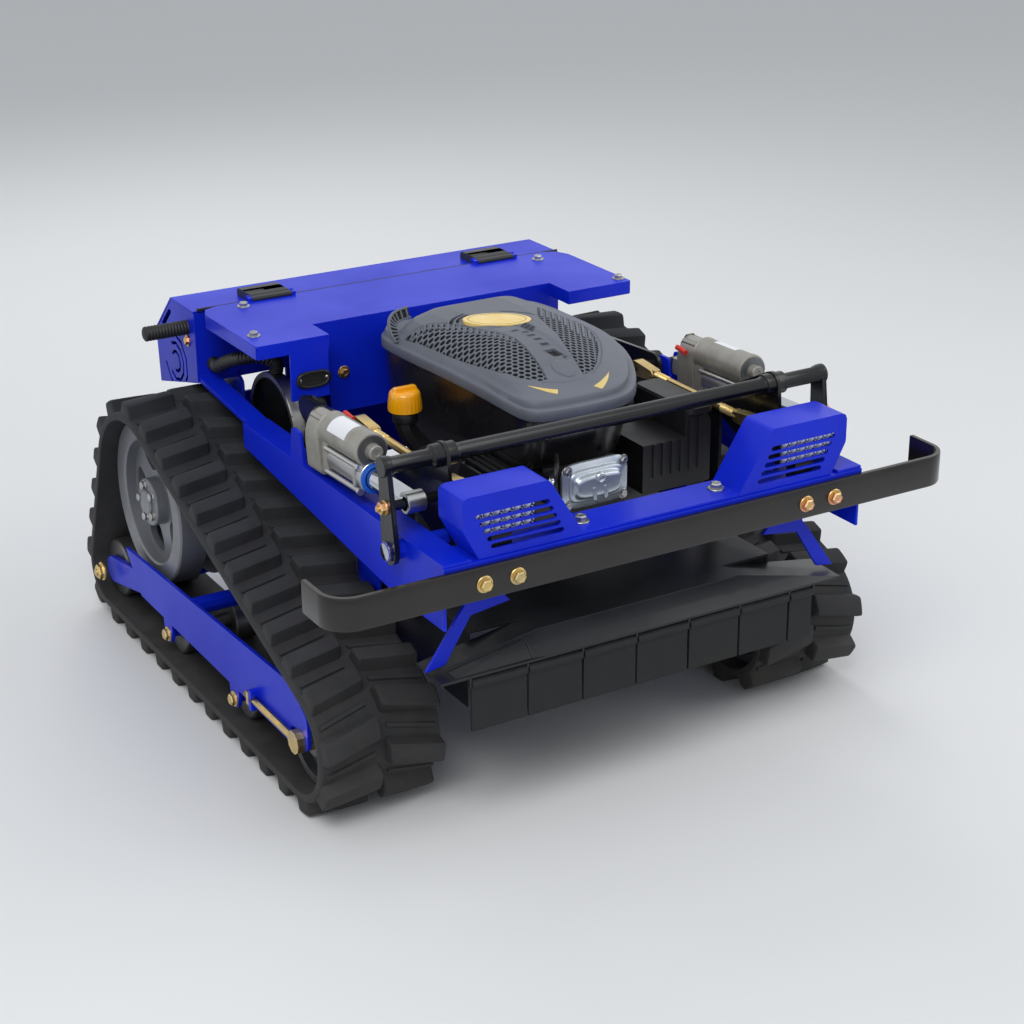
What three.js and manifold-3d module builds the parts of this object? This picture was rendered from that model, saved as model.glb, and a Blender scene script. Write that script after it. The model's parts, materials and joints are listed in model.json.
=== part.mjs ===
// Remote control slope mower on two rubber tracks, in millimetres, +Z up.
// The machine faces -Y. Left and right are its own, so left is +X and right is -X.
// The origin is on the ground, under the middle of the whole machine.
// A lift lever named theta turns about X: the cross tube swings back as the deck and the engine go down.

import * as THREE from 'three';
import { mergeVertices } from 'three/addons/utils/BufferGeometryUtils.js';
import Module from 'manifold-3d';

const wasm = await Module();
wasm.setup();

// Driving dimensions

const seatGap = 0.3;
const overrun = 2;
const weldDistance = 0.001;
const fuse = 1;
const facets = { hidden: 8, pin: 12, drum: 14, bore: 16 };

const sheet = {
  frame: 4,
  plate: 6,
  side: 5,
  box: 3,
};

const belt = {
  inner: 300,
  width: 200,
  carcass: 14,
  lugHeight: 22,
  lugPitch: 72,
  lugRoot: 3,
  laneGap: 12,
  laneEdge: 2,
  slant: 18,
  coreHeight: 5,
  guideHeight: 20,
  guideWidth: 32,
  guideTaper: 4,
  guideFoot: 30,
  guideTip: 18,
};
const beltMiddle = belt.inner + belt.width / 2;
const beltOuter = belt.inner + belt.width;
const beltRise = belt.carcass + belt.lugHeight;

const wheel = {
  inner: 330,
  outer: 470,
  grooveWidth: 44,
  running: 0.4,
  boreGap: 0.5,
  groovePlay: 6,
};
const driveSpot = { y: 307, z: 280, seat: 148 };
const rollerSpot = { y: 485, seat: 54 };
const idlerSpot = { y: -325, seat: 81 };
rollerSpot.z = rollerSpot.seat + beltRise;
idlerSpot.z = idlerSpot.seat + beltRise;
const roadSpots = [{ y: -75, seat: 40 }, { y: 205, seat: 40 }];

const pivot = { y: -440, z: 447, radius: 8, bossRadius: 15, headRadius: 15, headLength: 6 };
const rearPivot = { y: -110, z: pivot.z };
const liftPin = { y: 4, z: 66, radius: 8 };
const tubeSpot = { y: 11, z: 125 };
const arm = { y: 139, z: 57.5 };
const crank = { inner: 290, outer: 296, eye: 20 };
const lever = { inner: 381, outer: 389, half: 14, eye: 21 };
const liftTube = { radius: 12, end: 392, collar: 17, collarLength: 16, capRadius: 15, capLength: 8 };

const rail = { inner: 323, outer: 368, top: 465, lip: 430, front: -563, rear: 112, frontSkirt: 365, rearSkirt: 425 };
const beam = { front: -565.7, rear: -500, bottom: 402, half: 368 };

// Geometry helpers

const axes = {
  x: new THREE.Vector3(1, 0, 0),
  y: new THREE.Vector3(0, 1, 0),
  z: new THREE.Vector3(0, 0, 1),
};
const backY = axes.y.clone().negate();
const prismFrames = {
  x: new THREE.Matrix4().makeBasis(axes.y, axes.z, axes.x),
  y: new THREE.Matrix4().makeBasis(axes.x, axes.z, backY),
  z: new THREE.Matrix4(),
};
const latheFrames = {
  x: new THREE.Matrix4().makeBasis(axes.z, axes.x, axes.y),
  y: new THREE.Matrix4(),
  z: new THREE.Matrix4().makeBasis(axes.y, axes.z, axes.x),
};
const planeOf = { x: ['y', 'z'], y: ['x', 'z'], z: ['x', 'y'] };

// Six times the volume that the triangles enclose, below zero where they face inwards.
function signedVolume(points, faces) {
  let sum = 0;
  const [a, b, c] = [new THREE.Vector3(), new THREE.Vector3(), new THREE.Vector3()];
  for (let i = 0; i < faces.length; i += 3) {
    a.fromArray(points, 3 * faces[i]);
    b.fromArray(points, 3 * faces[i + 1]);
    c.fromArray(points, 3 * faces[i + 2]);
    sum += a.dot(b.cross(c));
  }
  return sum;
}

// A solid from a closed geometry, with its shared corners merged and its faces outwards.
function solidOf(geometry) {
  geometry.deleteAttribute('normal');
  geometry.deleteAttribute('uv');
  const merged = mergeVertices(geometry, weldDistance);
  const points = new Float32Array(merged.getAttribute('position').array);
  const faces = [];
  const index = merged.index.array;
  for (let i = 0; i < index.length; i += 3) {
    const [a, b, c] = [index[i], index[i + 1], index[i + 2]];
    if (a !== b && b !== c && c !== a) faces.push(a, b, c);
  }
  if (signedVolume(points, faces) < 0) faces.reverse();
  const triVerts = new Uint32Array(faces);
  return new wasm.Manifold(new wasm.Mesh({ numProp: 3, vertProperties: points, triVerts }));
}

function join(solids) {
  return solids.reduce((whole, solid) => whole.add(solid));
}

function cut(solid, tools) {
  return tools.reduce((left, tool) => left.subtract(tool), solid);
}

// An outline through its corners [u, v, radius]: a corner with a radius is an arc.
function outline(corners, arcSteps = 2) {
  const points = [];
  corners.forEach(([u, v, radius = 0], i) => {
    const corner = new THREE.Vector2(u, v);
    if (!radius) {
      points.push(corner);
      return;
    }
    const [pu, pv] = corners[(i + corners.length - 1) % corners.length];
    const [nu, nv] = corners[(i + 1) % corners.length];
    const back = new THREE.Vector2(pu - u, pv - v).normalize();
    const ahead = new THREE.Vector2(nu - u, nv - v).normalize();
    const half = Math.acos(THREE.MathUtils.clamp(back.dot(ahead), -1, 1)) / 2;
    const inward = back.clone().add(ahead).normalize();
    const centre = corner.clone().addScaledVector(inward, radius / Math.sin(half));
    const start = back.multiplyScalar(radius / Math.tan(half)).add(corner).sub(centre);
    const end = ahead.multiplyScalar(radius / Math.tan(half)).add(corner).sub(centre);
    const turn = Math.atan2(start.cross(end), start.dot(end));
    for (let step = 0; step <= arcSteps; step += 1) {
      const spoke = start.clone().rotateAround(new THREE.Vector2(), turn * step / arcSteps);
      points.push(spoke.add(centre));
    }
  });
  return new THREE.Shape(points);
}

function circle(u, v, radius, sides = 16) {
  const points = [];
  for (let i = 0; i < sides; i += 1) {
    const angle = 2 * Math.PI * i / sides;
    points.push(new THREE.Vector2(u + radius * Math.cos(angle), v + radius * Math.sin(angle)));
  }
  return new THREE.Shape(points);
}

// A shape of the other two coordinates, extruded along an axis between two places.
function prism(axis, shape, from, to) {
  const [low, high] = [Math.min(from, to), Math.max(from, to)];
  const geometry = new THREE.ExtrudeGeometry(shape, { depth: high - low, bevelEnabled: false });
  geometry.translate(0, 0, axis === 'y' ? -high : low);
  geometry.applyMatrix4(prismFrames[axis]);
  return solidOf(geometry);
}

function rod(axis, [u, v], radius, from, to, sides) {
  return prism(axis, circle(u, v, radius, sides), from, to);
}

// A profile of [radius, place] points turned about an axis.
function turned(axis, [u, v], profile, sides = 16) {
  const points = profile.map(([radius, place]) => new THREE.Vector2(radius, place));
  const geometry = new THREE.LatheGeometry(points, sides);
  geometry.applyMatrix4(latheFrames[axis]);
  const [first, second] = planeOf[axis];
  const shift = new THREE.Vector3();
  shift[first] = u;
  shift[second] = v;
  geometry.translate(shift.x, shift.y, shift.z);
  return solidOf(geometry);
}

function block([x0, x1], [y0, y1], [z0, z1]) {
  const geometry = new THREE.BoxGeometry(Math.abs(x1 - x0), Math.abs(y1 - y0), Math.abs(z1 - z0));
  geometry.translate((x0 + x1) / 2, (y0 + y1) / 2, (z0 + z1) / 2);
  return solidOf(geometry);
}

// The triangles of a nearly flat loop, turning the same way as the loop does.
function capFaces(loop) {
  const size = new THREE.Box3().setFromPoints(loop).getSize(new THREE.Vector3());
  const thin = ['x', 'y', 'z'].reduce((least, axis) => (size[axis] < size[least] ? axis : least));
  const [first, second] = planeOf[thin];
  const flat = loop.map((point) => new THREE.Vector2(point[first], point[second]));
  const way = THREE.ShapeUtils.area(flat);
  return THREE.ShapeUtils.triangulateShape(flat, []).map(([a, b, c]) => (
    THREE.ShapeUtils.area([flat[a], flat[b], flat[c]]) * way < 0 ? [a, c, b] : [a, b, c]));
}

// The quads between loops of equal length. A ring of loops closes on itself, a stack gets two caps.
function skin(loops, closed) {
  const count = loops[0].length;
  const points = loops.flat();
  const faces = [];
  const bands = closed ? loops.length : loops.length - 1;
  for (let k = 0; k < bands; k += 1) {
    for (let i = 0; i < count; i += 1) {
      const next = (i + 1) % count;
      const [a, b] = [k * count + i, k * count + next];
      const above = ((k + 1) % loops.length) * count;
      faces.push(a, b, above + next, a, above + next, above + i);
    }
  }
  if (!closed) {
    const last = (loops.length - 1) * count;
    for (const [a, b, c] of capFaces(loops[0])) faces.push(a, c, b);
    for (const [a, b, c] of capFaces(loops[loops.length - 1])) faces.push(last + a, last + b, last + c);
  }
  const geometry = new THREE.BufferGeometry().setFromPoints(points);
  geometry.setIndex(faces);
  return solidOf(geometry);
}

// A bar with round ends between two places, in the plane across an axis.
function link(axis, [u0, v0], [u1, v1], radius0, radius1, from, to, sides = 16) {
  const points = [];
  const lean = Math.atan2(v1 - v0, u1 - u0);
  const reach = Math.hypot(u1 - u0, v1 - v0);
  const flare = Math.asin((radius0 - radius1) / reach);
  const ends = [
    { u: u1, v: v1, radius: radius1, start: lean - Math.PI / 2 + flare, sweep: Math.PI - 2 * flare },
    { u: u0, v: v0, radius: radius0, start: lean + Math.PI / 2 - flare, sweep: Math.PI + 2 * flare },
  ];
  for (const end of ends) {
    const steps = Math.ceil(sides * end.sweep / (2 * Math.PI));
    for (let step = 0; step <= steps; step += 1) {
      const angle = end.start + end.sweep * step / steps;
      const [du, dv] = [end.radius * Math.cos(angle), end.radius * Math.sin(angle)];
      points.push(new THREE.Vector2(end.u + du, end.v + dv));
    }
  }
  return prism(axis, new THREE.Shape(points), from, to);
}

// A flat plate whose rounded corners are centred on its pins, listed counter-clockwise or clockwise.
function pinPlate(axis, pins, radius, from, to) {
  const corners = pins.map((pin, i) => {
    const here = new THREE.Vector2(...pin);
    const back = new THREE.Vector2(...pins[(i + pins.length - 1) % pins.length]).sub(here).normalize();
    const ahead = new THREE.Vector2(...pins[(i + 1) % pins.length]).sub(here).normalize();
    const half = Math.acos(back.dot(ahead)) / 2;
    const out = back.add(ahead).normalize();
    here.addScaledVector(out, -radius / Math.sin(half));
    return [here.x, here.y, radius];
  });
  return prism(axis, outline(corners, 4), from, to);
}

// Materials

function finish(color, roughness, metalness) {
  return new THREE.MeshStandardMaterial({ color, roughness, metalness });
}

const finishes = {
  blue: finish(0x1a24b4, 0.3, 0.2),
  black: finish(0x121214, 0.3, 0.3),
  rubber: finish(0x232327, 0.85, 0),
  shroud: finish(0x3d3f43, 0.55, 0),
  plastic: finish(0x151516, 0.5, 0),
  orange: finish(0xf0980f, 0.4, 0),
  cast: finish(0x8f8b86, 0.5, 0.7),
  chrome: finish(0xc9d2dc, 0.12, 1),
  zinc: finish(0xb49a54, 0.35, 0.9),
  steel: finish(0x7d8086, 0.35, 0.9),
  lens: finish(0xe8ebf0, 0.15, 0.1),
  battery: finish(0x2a2d33, 0.6, 0),
};

const mower = new THREE.Group();

function addPiece(name, solid, material) {
  const mesh = solid.asOriginal().getMesh();
  const stride = mesh.numProp;
  const points = [];
  for (let i = 0; i < mesh.vertProperties.length; i += stride) {
    points.push(...mesh.vertProperties.slice(i, i + 3));
  }
  const geometry = new THREE.BufferGeometry();
  geometry.setAttribute('position', new THREE.Float32BufferAttribute(points, 3));
  geometry.setIndex([...mesh.triVerts]);
  geometry.computeVertexNormals();
  const piece = new THREE.Mesh(geometry, material);
  piece.name = name;
  mower.add(piece);
}

// The belt's route: arcs on the three wheels, joined by straight runs

const routeWheels = [idlerSpot, rollerSpot, driveSpot];
const routeHalf = belt.carcass / 2;

function tangentNormal(from, to) {
  const reach = new THREE.Vector2(to.y - from.y, to.z - from.z);
  const lean = Math.acos((from.seat - to.seat) / reach.length());
  return reach.angle() - lean;
}

function beltRoute() {
  const normals = routeWheels.map((spot, i) => tangentNormal(spot, routeWheels[(i + 1) % 3]));
  const parts = [];
  let start = 0;
  routeWheels.forEach((spot, i) => {
    const arrive = normals[(i + 2) % 3];
    const sweep = THREE.MathUtils.euclideanModulo(normals[i] - arrive, 2 * Math.PI);
    const radius = spot.seat + routeHalf;
    const arcLength = sweep * radius;
    parts.push({ spot, from: arrive, sweep, start, length: arcLength, bent: true });
    start += arcLength;
    const next = routeWheels[(i + 1) % 3];
    const span = Math.hypot(next.y - spot.y, next.z - spot.z);
    const runLength = Math.sqrt(span ** 2 - (next.seat - spot.seat) ** 2);
    parts.push({ spot, next, from: normals[i], start, length: runLength, bent: false });
    start += runLength;
  });
  return { parts, length: start };
}

const route = beltRoute();

// The place [y, z] at a length along the belt and a height over its inner face.
function onBelt(along, height) {
  const place = THREE.MathUtils.euclideanModulo(along, route.length);
  const part = route.parts.find((each) => place < each.start + each.length) ?? route.parts[0];
  const share = (place - part.start) / part.length;
  const angle = part.bent ? part.from + part.sweep * share : part.from;
  const normal = new THREE.Vector2(Math.cos(angle), Math.sin(angle));
  const near = new THREE.Vector2(part.spot.y, part.spot.z).addScaledVector(normal, part.spot.seat + height);
  if (part.bent) return near;
  const far = new THREE.Vector2(part.next.y, part.next.z).addScaledVector(normal, part.next.seat + height);
  return near.lerp(far, share);
}

function beltLoop(stations, heights, x) {
  return stations.map((along, i) => {
    const place = onBelt(along, heights[i % heights.length]);
    return new THREE.Vector3(x, place.x, place.y);
  });
}

const arcStep = Math.PI / 8;

function beltStations() {
  return route.parts.flatMap((part) => {
    if (!part.bent) return [];
    const steps = Math.ceil(part.sweep / arcStep);
    const stations = [];
    for (let step = 0; step <= steps; step += 1) {
      stations.push(part.start + part.length * Math.min(step / steps, 1 - 1e-9));
    }
    return stations;
  });
}

// A ring between two heights and two places across, with its stations shifted along at the second.
function beltRing(stations, outerHeights, innerHeight, x0, x1, shift) {
  const shifted = stations.map((along) => along + shift);
  return skin([
    beltLoop(stations, outerHeights, x0),
    beltLoop(shifted, outerHeights, x1),
    beltLoop(shifted, [innerHeight], x1),
    beltLoop(stations, [innerHeight], x0),
  ], true);
}

const lugCount = Math.round(route.length / belt.lugPitch);
const lugPitch = route.length / lugCount;
const lugShares = [0, 0.11, 0.46, 0.57];
const laneStepShare = 0.5;
const guideStep = 2;

function lugLane(x0, x1, start, shift) {
  const stations = [];
  for (let k = 0; k < lugCount; k += 1) {
    for (const lugShare of lugShares) stations.push(start + (k + lugShare) * lugPitch);
  }
  const foot = belt.carcass - belt.lugRoot;
  const crown = belt.carcass + belt.lugHeight;
  return beltRing(stations, [foot, crown, crown, foot], belt.coreHeight, x0, x1, shift);
}

function guideLug(side, k) {
  const along = (k + laneStepShare / 2) * lugPitch;
  const half = belt.guideWidth / 2;
  const rings = [
    { height: routeHalf, reach: belt.guideFoot / 2, across: half },
    { height: -belt.guideHeight, reach: belt.guideTip / 2, across: half - belt.guideTaper },
  ];
  return skin(rings.map(({ height, reach, across }) => {
    const corners = [[-reach, -across], [reach, -across], [reach, across], [-reach, across]];
    return corners.map(([step, over]) => {
      const place = onBelt(along + step, height);
      return new THREE.Vector3(side * (beltMiddle + over), place.x, place.y);
    });
  }), false);
}

function trackBelt(side) {
  const carcass = beltRing(beltStations(), [belt.carcass], 0, side * belt.inner, side * beltOuter, 0);
  const laneInner = beltMiddle - belt.laneGap / 2;
  const laneOuter = beltMiddle + belt.laneGap / 2;
  const lanes = [
    lugLane(side * (belt.inner + belt.laneEdge), side * laneInner, 0, belt.slant),
    lugLane(side * laneOuter, side * (beltOuter - belt.laneEdge), laneStepShare * lugPitch + belt.slant, -belt.slant),
  ];
  const guides = [];
  for (let k = 0; k < lugCount; k += guideStep) guides.push(guideLug(side, k));
  return join([carcass, ...lanes, ...guides]);
}

// Wheels

function wheelRadius(seat) {
  return seat * Math.cos(arcStep / 2) - wheel.running;
}

const driveWheel = {
  rimInner: 108,
  grooveFloor: 120,
  hubRadius: 42,
  webInner: 436,
  webOuter: 448,
  windowInner: 54,
  windowOuter: 98,
  windowCount: 5,
  shaftRadius: 18,
  shaftInner: 262,
  hubInner: 327,
  capRadius: 24,
  capLength: 6,
};
const windowShare = 0.66;

function windowShape(spot, index) {
  const step = 2 * Math.PI / driveWheel.windowCount;
  const start = index * step;
  const sweep = step * windowShare;
  const points = [];
  const steps = 4;
  for (let i = 0; i <= steps; i += 1) {
    const angle = start + sweep * i / steps;
    points.push([driveWheel.windowOuter, angle]);
  }
  points.push([driveWheel.windowInner, start + sweep / 2]);
  return new THREE.Shape(points.map(([radius, angle]) => {
    const [du, dv] = [radius * Math.cos(angle), radius * Math.sin(angle)];
    return new THREE.Vector2(spot.y + du, spot.z + dv);
  }));
}

function driveWheelSolid(side) {
  const spot = [driveSpot.y, driveSpot.z];
  const radius = wheelRadius(driveSpot.seat);
  const grooveInner = beltMiddle - wheel.grooveWidth / 2;
  const grooveOuter = beltMiddle + wheel.grooveWidth / 2;
  const rim = turned('x', spot, [
    [driveWheel.rimInner, side * wheel.inner],
    [radius, side * wheel.inner],
    [radius, side * grooveInner],
    [driveWheel.grooveFloor, side * grooveInner],
    [driveWheel.grooveFloor, side * grooveOuter],
    [radius, side * grooveOuter],
    [radius, side * wheel.outer],
    [driveWheel.rimInner, side * wheel.outer],
    [driveWheel.rimInner, side * wheel.inner],
  ], facets.bore);
  const webRadius = (driveWheel.rimInner + driveWheel.grooveFloor) / 2;
  const web = rod('x', spot, webRadius, side * driveWheel.webInner, side * driveWheel.webOuter, facets.bore);
  const windows = [];
  for (let i = 0; i < driveWheel.windowCount; i += 1) {
    const from = side * (driveWheel.webInner - overrun);
    windows.push(prism('x', windowShape(driveSpot, i), from, side * (driveWheel.webOuter + overrun)));
  }
  const hub = rod('x', spot, driveWheel.hubRadius, side * driveWheel.hubInner, side * wheel.outer, facets.pin);
  const cap = rod('x', spot, driveWheel.capRadius, side * wheel.outer, side * (wheel.outer + driveWheel.capLength), 6);
  const shaft = rod('x', spot, driveWheel.shaftRadius, side * driveWheel.shaftInner, side * wheel.outer);
  return join([rim, cut(web, windows), hub, cap, shaft]);
}

const idler = { axleRadius: 12, hubRadius: 30, dish: 16, rimWall: 15 };
const roller = { axleRadius: 10 };

// A spool with two treads, a groove between them and dished faces, bored for its axle.
function spool(side, spot, sizes, sides) {
  const radius = wheelRadius(spot.seat);
  const floor = spot.seat - belt.guideHeight - wheel.groovePlay;
  const bore = sizes.axleRadius + wheel.boreGap;
  const dished = sizes.dish ? [
    [sizes.hubRadius, side * wheel.inner],
    [sizes.hubRadius, side * (wheel.inner + sizes.dish)],
    [radius - sizes.rimWall, side * (wheel.inner + sizes.dish)],
    [radius - sizes.rimWall, side * wheel.inner],
  ] : [];
  const half = [
    [bore, side * wheel.inner],
    ...dished,
    [radius, side * wheel.inner],
    [radius, side * (beltMiddle - wheel.grooveWidth / 2)],
    [floor, side * (beltMiddle - wheel.grooveWidth / 2)],
  ];
  const mirrored = half.map(([r, x]) => [r, 2 * side * beltMiddle - x]).reverse();
  return turned('x', [spot.y, spot.z], [...half, ...mirrored, half[0]], sides);
}

for (const spot of roadSpots) spot.z = spot.seat + beltRise;
const road = { axleRadius: 8 };

// Track side frames

const trackFrame = {
  outerInner: 482,
  innerInner: 312,
  rearTopY: 387,
  rearTopZ: 169,
  rearLowY: 327,
  bottom: 100,
  frontY: -350,
  frontKneeZ: 164,
  frontTopY: -290,
  frontTopZ: 200,
  frontLowZ: 96,
  cornerRadius: 14,
  slotBack: 22,
  slotPlay: 0.8,
  spacerRadius: 15,
  spacerZ: 152,
  spacerYs: [-215, 130],
  armInner: 474,
  armRadius: 24,
  armRootRadius: 20,
  armRootY: 345,
  armRootZ: 117,
  bossInner: 294.3,
  hangerRoot: 128,
  hangerRadius: 15,
  tabY: -172,
  tabThickness: 10,
  tabHeight: 34,
};
const idlerSlide = 15;
const tension = { radius: 5.5, eyeRadius: 19, eyeLength: 13, nutRadius: 11, nutLength: 9, holePlay: 1 };

function trackFrameOutline(reach) {
  const { rearTopY, rearTopZ, rearLowY, bottom, frontY, cornerRadius } = trackFrame;
  const { frontKneeZ, frontTopY, frontTopZ, frontLowZ } = trackFrame;
  return outline([
    [rearTopY + reach, rearTopZ],
    [rearLowY + reach, bottom],
    [frontY + 2 * cornerRadius, frontLowZ, cornerRadius],
    [frontY, frontLowZ + cornerRadius, cornerRadius],
    [frontY, frontKneeZ, cornerRadius],
    [frontTopY, frontTopZ],
  ]);
}

function axleSlot(side, from, to) {
  const radius = idler.axleRadius + trackFrame.slotPlay;
  const start = [idlerSpot.y, idlerSpot.z];
  const end = [idlerSpot.y + trackFrame.slotBack, idlerSpot.z];
  return link('x', start, end, radius, radius, side * from, side * to, facets.pin);
}

function trackFrameSolid(side) {
  const thickness = sheet.plate;
  const outer = [trackFrame.outerInner, trackFrame.outerInner + thickness];
  const inner = [trackFrame.innerInner, trackFrame.innerInner + thickness];
  const plates = [outer, inner].map(([from, to]) => {
    const plate = prism('x', trackFrameOutline(0), side * from, side * to);
    return cut(plate, [axleSlot(side, from - overrun, to + overrun)]);
  });
  const cross = [side * (inner[0] + fuse), side * (outer[1] - fuse)];
  const spacers = trackFrame.spacerYs.map((y) => (
    rod('x', [y, trackFrame.spacerZ], trackFrame.spacerRadius, side * trackFrame.bossInner, cross[1], 10)));
  const axles = roadSpots.map((spot) => rod('x', [spot.y, spot.z], road.axleRadius, ...cross, facets.hidden));
  const hangers = roadSpots.flatMap((spot) => [outer, inner].map(([from, to]) => (
    link('x', [spot.y, trackFrame.hangerRoot], [spot.y, spot.z], trackFrame.armRadius, trackFrame.hangerRadius, side * from, side * to, facets.pin))));
  const rollerPlace = [rollerSpot.y, rollerSpot.z];
  const root = [trackFrame.armRootY, trackFrame.armRootZ];
  const radii = [trackFrame.armRootRadius, trackFrame.armRadius];
  const armSpans = [[trackFrame.armInner, outer[0] + fuse], [inner[0], 2 * beltMiddle - trackFrame.armInner]];
  const arms = armSpans.map(([from, to]) => link('x', root, rollerPlace, ...radii, side * from, side * to, facets.pin));
  const armCross = [side * (inner[0] + fuse), side * (outer[0])];
  const armAxle = rod('x', rollerPlace, roller.axleRadius, ...armCross, facets.hidden);
  const armTie = rod('x', root, roller.axleRadius, ...armCross, facets.hidden);
  const tabSpan = [side * (outer[1] - fuse), side * (outer[1] + tension.eyeLength)];
  const tabLow = idlerSpot.z - trackFrame.tabHeight / 2;
  const tab = block(
    tabSpan,
    [trackFrame.tabY, trackFrame.tabY + trackFrame.tabThickness],
    [tabLow, tabLow + trackFrame.tabHeight],
  );
  const rodPlace = [side * (outer[1] + tension.eyeLength / 2 + seatGap), idlerSpot.z];
  const tabHole = rod(
    'y', rodPlace, tension.radius + tension.holePlay,
    trackFrame.tabY - overrun, trackFrame.tabY + trackFrame.tabThickness + overrun, 8,
  );
  return join([...plates, ...spacers, ...axles, ...hangers, ...arms, armAxle, armTie, cut(tab, [tabHole])]);
}

// Idler axle with its tension screw
function idlerAxle(side) {
  const outerFace = trackFrame.outerInner + sheet.plate;
  const place = [idlerSpot.y, idlerSpot.z];
  const eyeInner = outerFace + seatGap;
  const eyeOuter = eyeInner + tension.eyeLength;
  const axle = rod('x', place, idler.axleRadius, side * (trackFrame.innerInner - overrun), side * eyeOuter, 10);
  const eye = rod('x', place, tension.eyeRadius, side * eyeInner, side * eyeOuter, 10);
  const collars = [[trackFrame.innerInner + sheet.plate + fuse, wheel.inner - fuse], [wheel.outer + fuse, trackFrame.outerInner - fuse]];
  const spacers = collars.map(([from, to]) => rod('x', place, tension.eyeRadius, side * from, side * to, 8));
  const rodPlace = [side * (eyeInner + tension.eyeLength / 2), idlerSpot.z];
  const tail = trackFrame.tabY + trackFrame.tabThickness + seatGap;
  const screw = rod('y', rodPlace, tension.radius, idlerSpot.y, tail + 2 * tension.nutLength, 8);
  const nutHalf = tension.eyeLength / 2;
  const nut = block(
    [rodPlace[0] - nutHalf, rodPlace[0] + nutHalf],
    [tail, tail + tension.nutLength],
    [idlerSpot.z - tension.nutRadius, idlerSpot.z + tension.nutRadius],
  );
  return join([axle, eye, ...spacers, screw, nut]);
}

// Drive unit: motor, chain case and axle tube

const drum = {
  y: 185,
  z: 424,
  radius: 90,
  outer: 284,
  inner: 258,
  rimInner: 80,
  rimRise: 4,
  faceDrop: 6,
  motorRadius: 68,
  motorInner: 206,
};
const chainCase = { inner: 262, outer: 284, radius: 46, flangeRadius: 58, flange: 6 };
const axleTube = { radius: 32, outer: 325, gap: 0.5 };

function driveUnit(side) {
  const place = [drum.y, drum.z];
  const shell = turned('x', place, [
    [0, side * drum.motorInner],
    [drum.motorRadius, side * drum.motorInner],
    [drum.motorRadius, side * drum.inner],
    [drum.radius - drum.faceDrop, side * drum.inner],
    [drum.radius, side * (drum.inner + drum.faceDrop)],
    [drum.radius, side * drum.outer],
    [drum.rimInner, side * drum.outer],
    [drum.rimInner, side * (drum.outer - drum.faceDrop)],
    [0, side * (drum.outer - drum.faceDrop)],
  ], facets.drum);
  const axle = [driveSpot.y, driveSpot.z];
  const chain = link('x', place, axle, drum.motorRadius, chainCase.radius, side * chainCase.inner, side * (chainCase.outer - drum.faceDrop), facets.drum);
  const tube = rod('x', axle, axleTube.radius, side * chainCase.inner, side * axleTube.outer, facets.drum);
  const flange = rod('x', axle, chainCase.flangeRadius, side * (frameSide.inner - seatGap - chainCase.flange), side * (frameSide.inner - seatGap), facets.drum);
  const from = side * (driveWheel.shaftInner - overrun);
  const bore = rod('x', axle, driveWheel.shaftRadius + axleTube.gap, from, side * (axleTube.outer + overrun), facets.bore);
  return cut(join([shell, chain, tube, flange]), [bore]);
}

// Main frame

const frameSide = { inner: 289, frontY: 112, lowY: 140, low: 118, frontZ: 320, notchY: 282, rearY: 470, rearLowY: 405, cornerRadius: 12 };
const rearBox = { frontY: 311, topZ: 601, topRearY: 415, rearY: 493, rearZ: 528, lowRearY: 486, lowRearZ: 429, lowFrontZ: 475, half: 362 };
const strap = { drop: 8, rearZ: 484, plateTop: 490, plateInner: 289 };
const post = { frontY: -215, rearY: -145, low: 120, tieZ: 424, tieHeight: 6 };
const rearCross = { y: 432, thickness: 6, low: 230, high: 400 };
const lowerCross = { y: 330, depth: 40, low: 128, height: 34 };
const gussetDrop = { y: -507, thickness: 5, neckInner: 236, neckOuter: 304, neckZ: 367, tipX: 369, tipZ: 277, elbowX: 316, elbowZ: 352, lowX: 337, lowZ: 282, backX: 294, backZ: 350, innerX: 228, innerZ: 359 };
const actuatorMount = { y: -85, z: 500, x: 345, pinRadius: 7, earInner: 326, earOuter: 364, earThickness: 5, earHalf: 15, earFoot: 24 };

function boxFloorZ(y) {
  const share = (y - rearBox.frontY) / (rearBox.lowRearY - rearBox.frontY);
  return THREE.MathUtils.lerp(rearBox.lowFrontZ, rearBox.lowRearZ, share);
}

function sideRail(side) {
  const { inner, outer, top, lip, front, rear, frontSkirt, rearSkirt } = rail;
  const t = sheet.frame;
  const channel = prism('y', outline([
    [side * inner, lip],
    [side * (inner + t), lip],
    [side * (inner + t), top - t],
    [side * (outer - t), top - t],
    [side * (outer - t), frontSkirt],
    [side * outer, frontSkirt],
    [side * outer, top],
    [side * inner, top],
  ]), front, rear);
  const taper = prism('x', outline([
    [pivot.y, frontSkirt - overrun],
    [rear + overrun, frontSkirt - overrun],
    [rear + overrun, rearSkirt],
  ]), side * (outer - t - overrun), side * (outer + overrun));
  const strapPlate = prism('x', outline([
    [rear - overrun, top - fuse],
    [rear - overrun, top - strap.drop],
    [rearBox.frontY - seatGap, strap.rearZ - strap.drop],
    [rearBox.frontY - seatGap, strap.rearZ],
  ]), side * (inner + fuse), side * (rearBox.half - sheet.box));
  const endPlate = block(
    [side * strap.plateInner, side * (rearBox.half - sheet.box)],
    [rearBox.frontY - seatGap - sheet.side, rearBox.frontY - seatGap],
    [strap.rearZ - strap.drop, strap.plateTop],
  );
  return join([cut(channel, [taper]), strapPlate, endPlate]);
}

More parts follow.
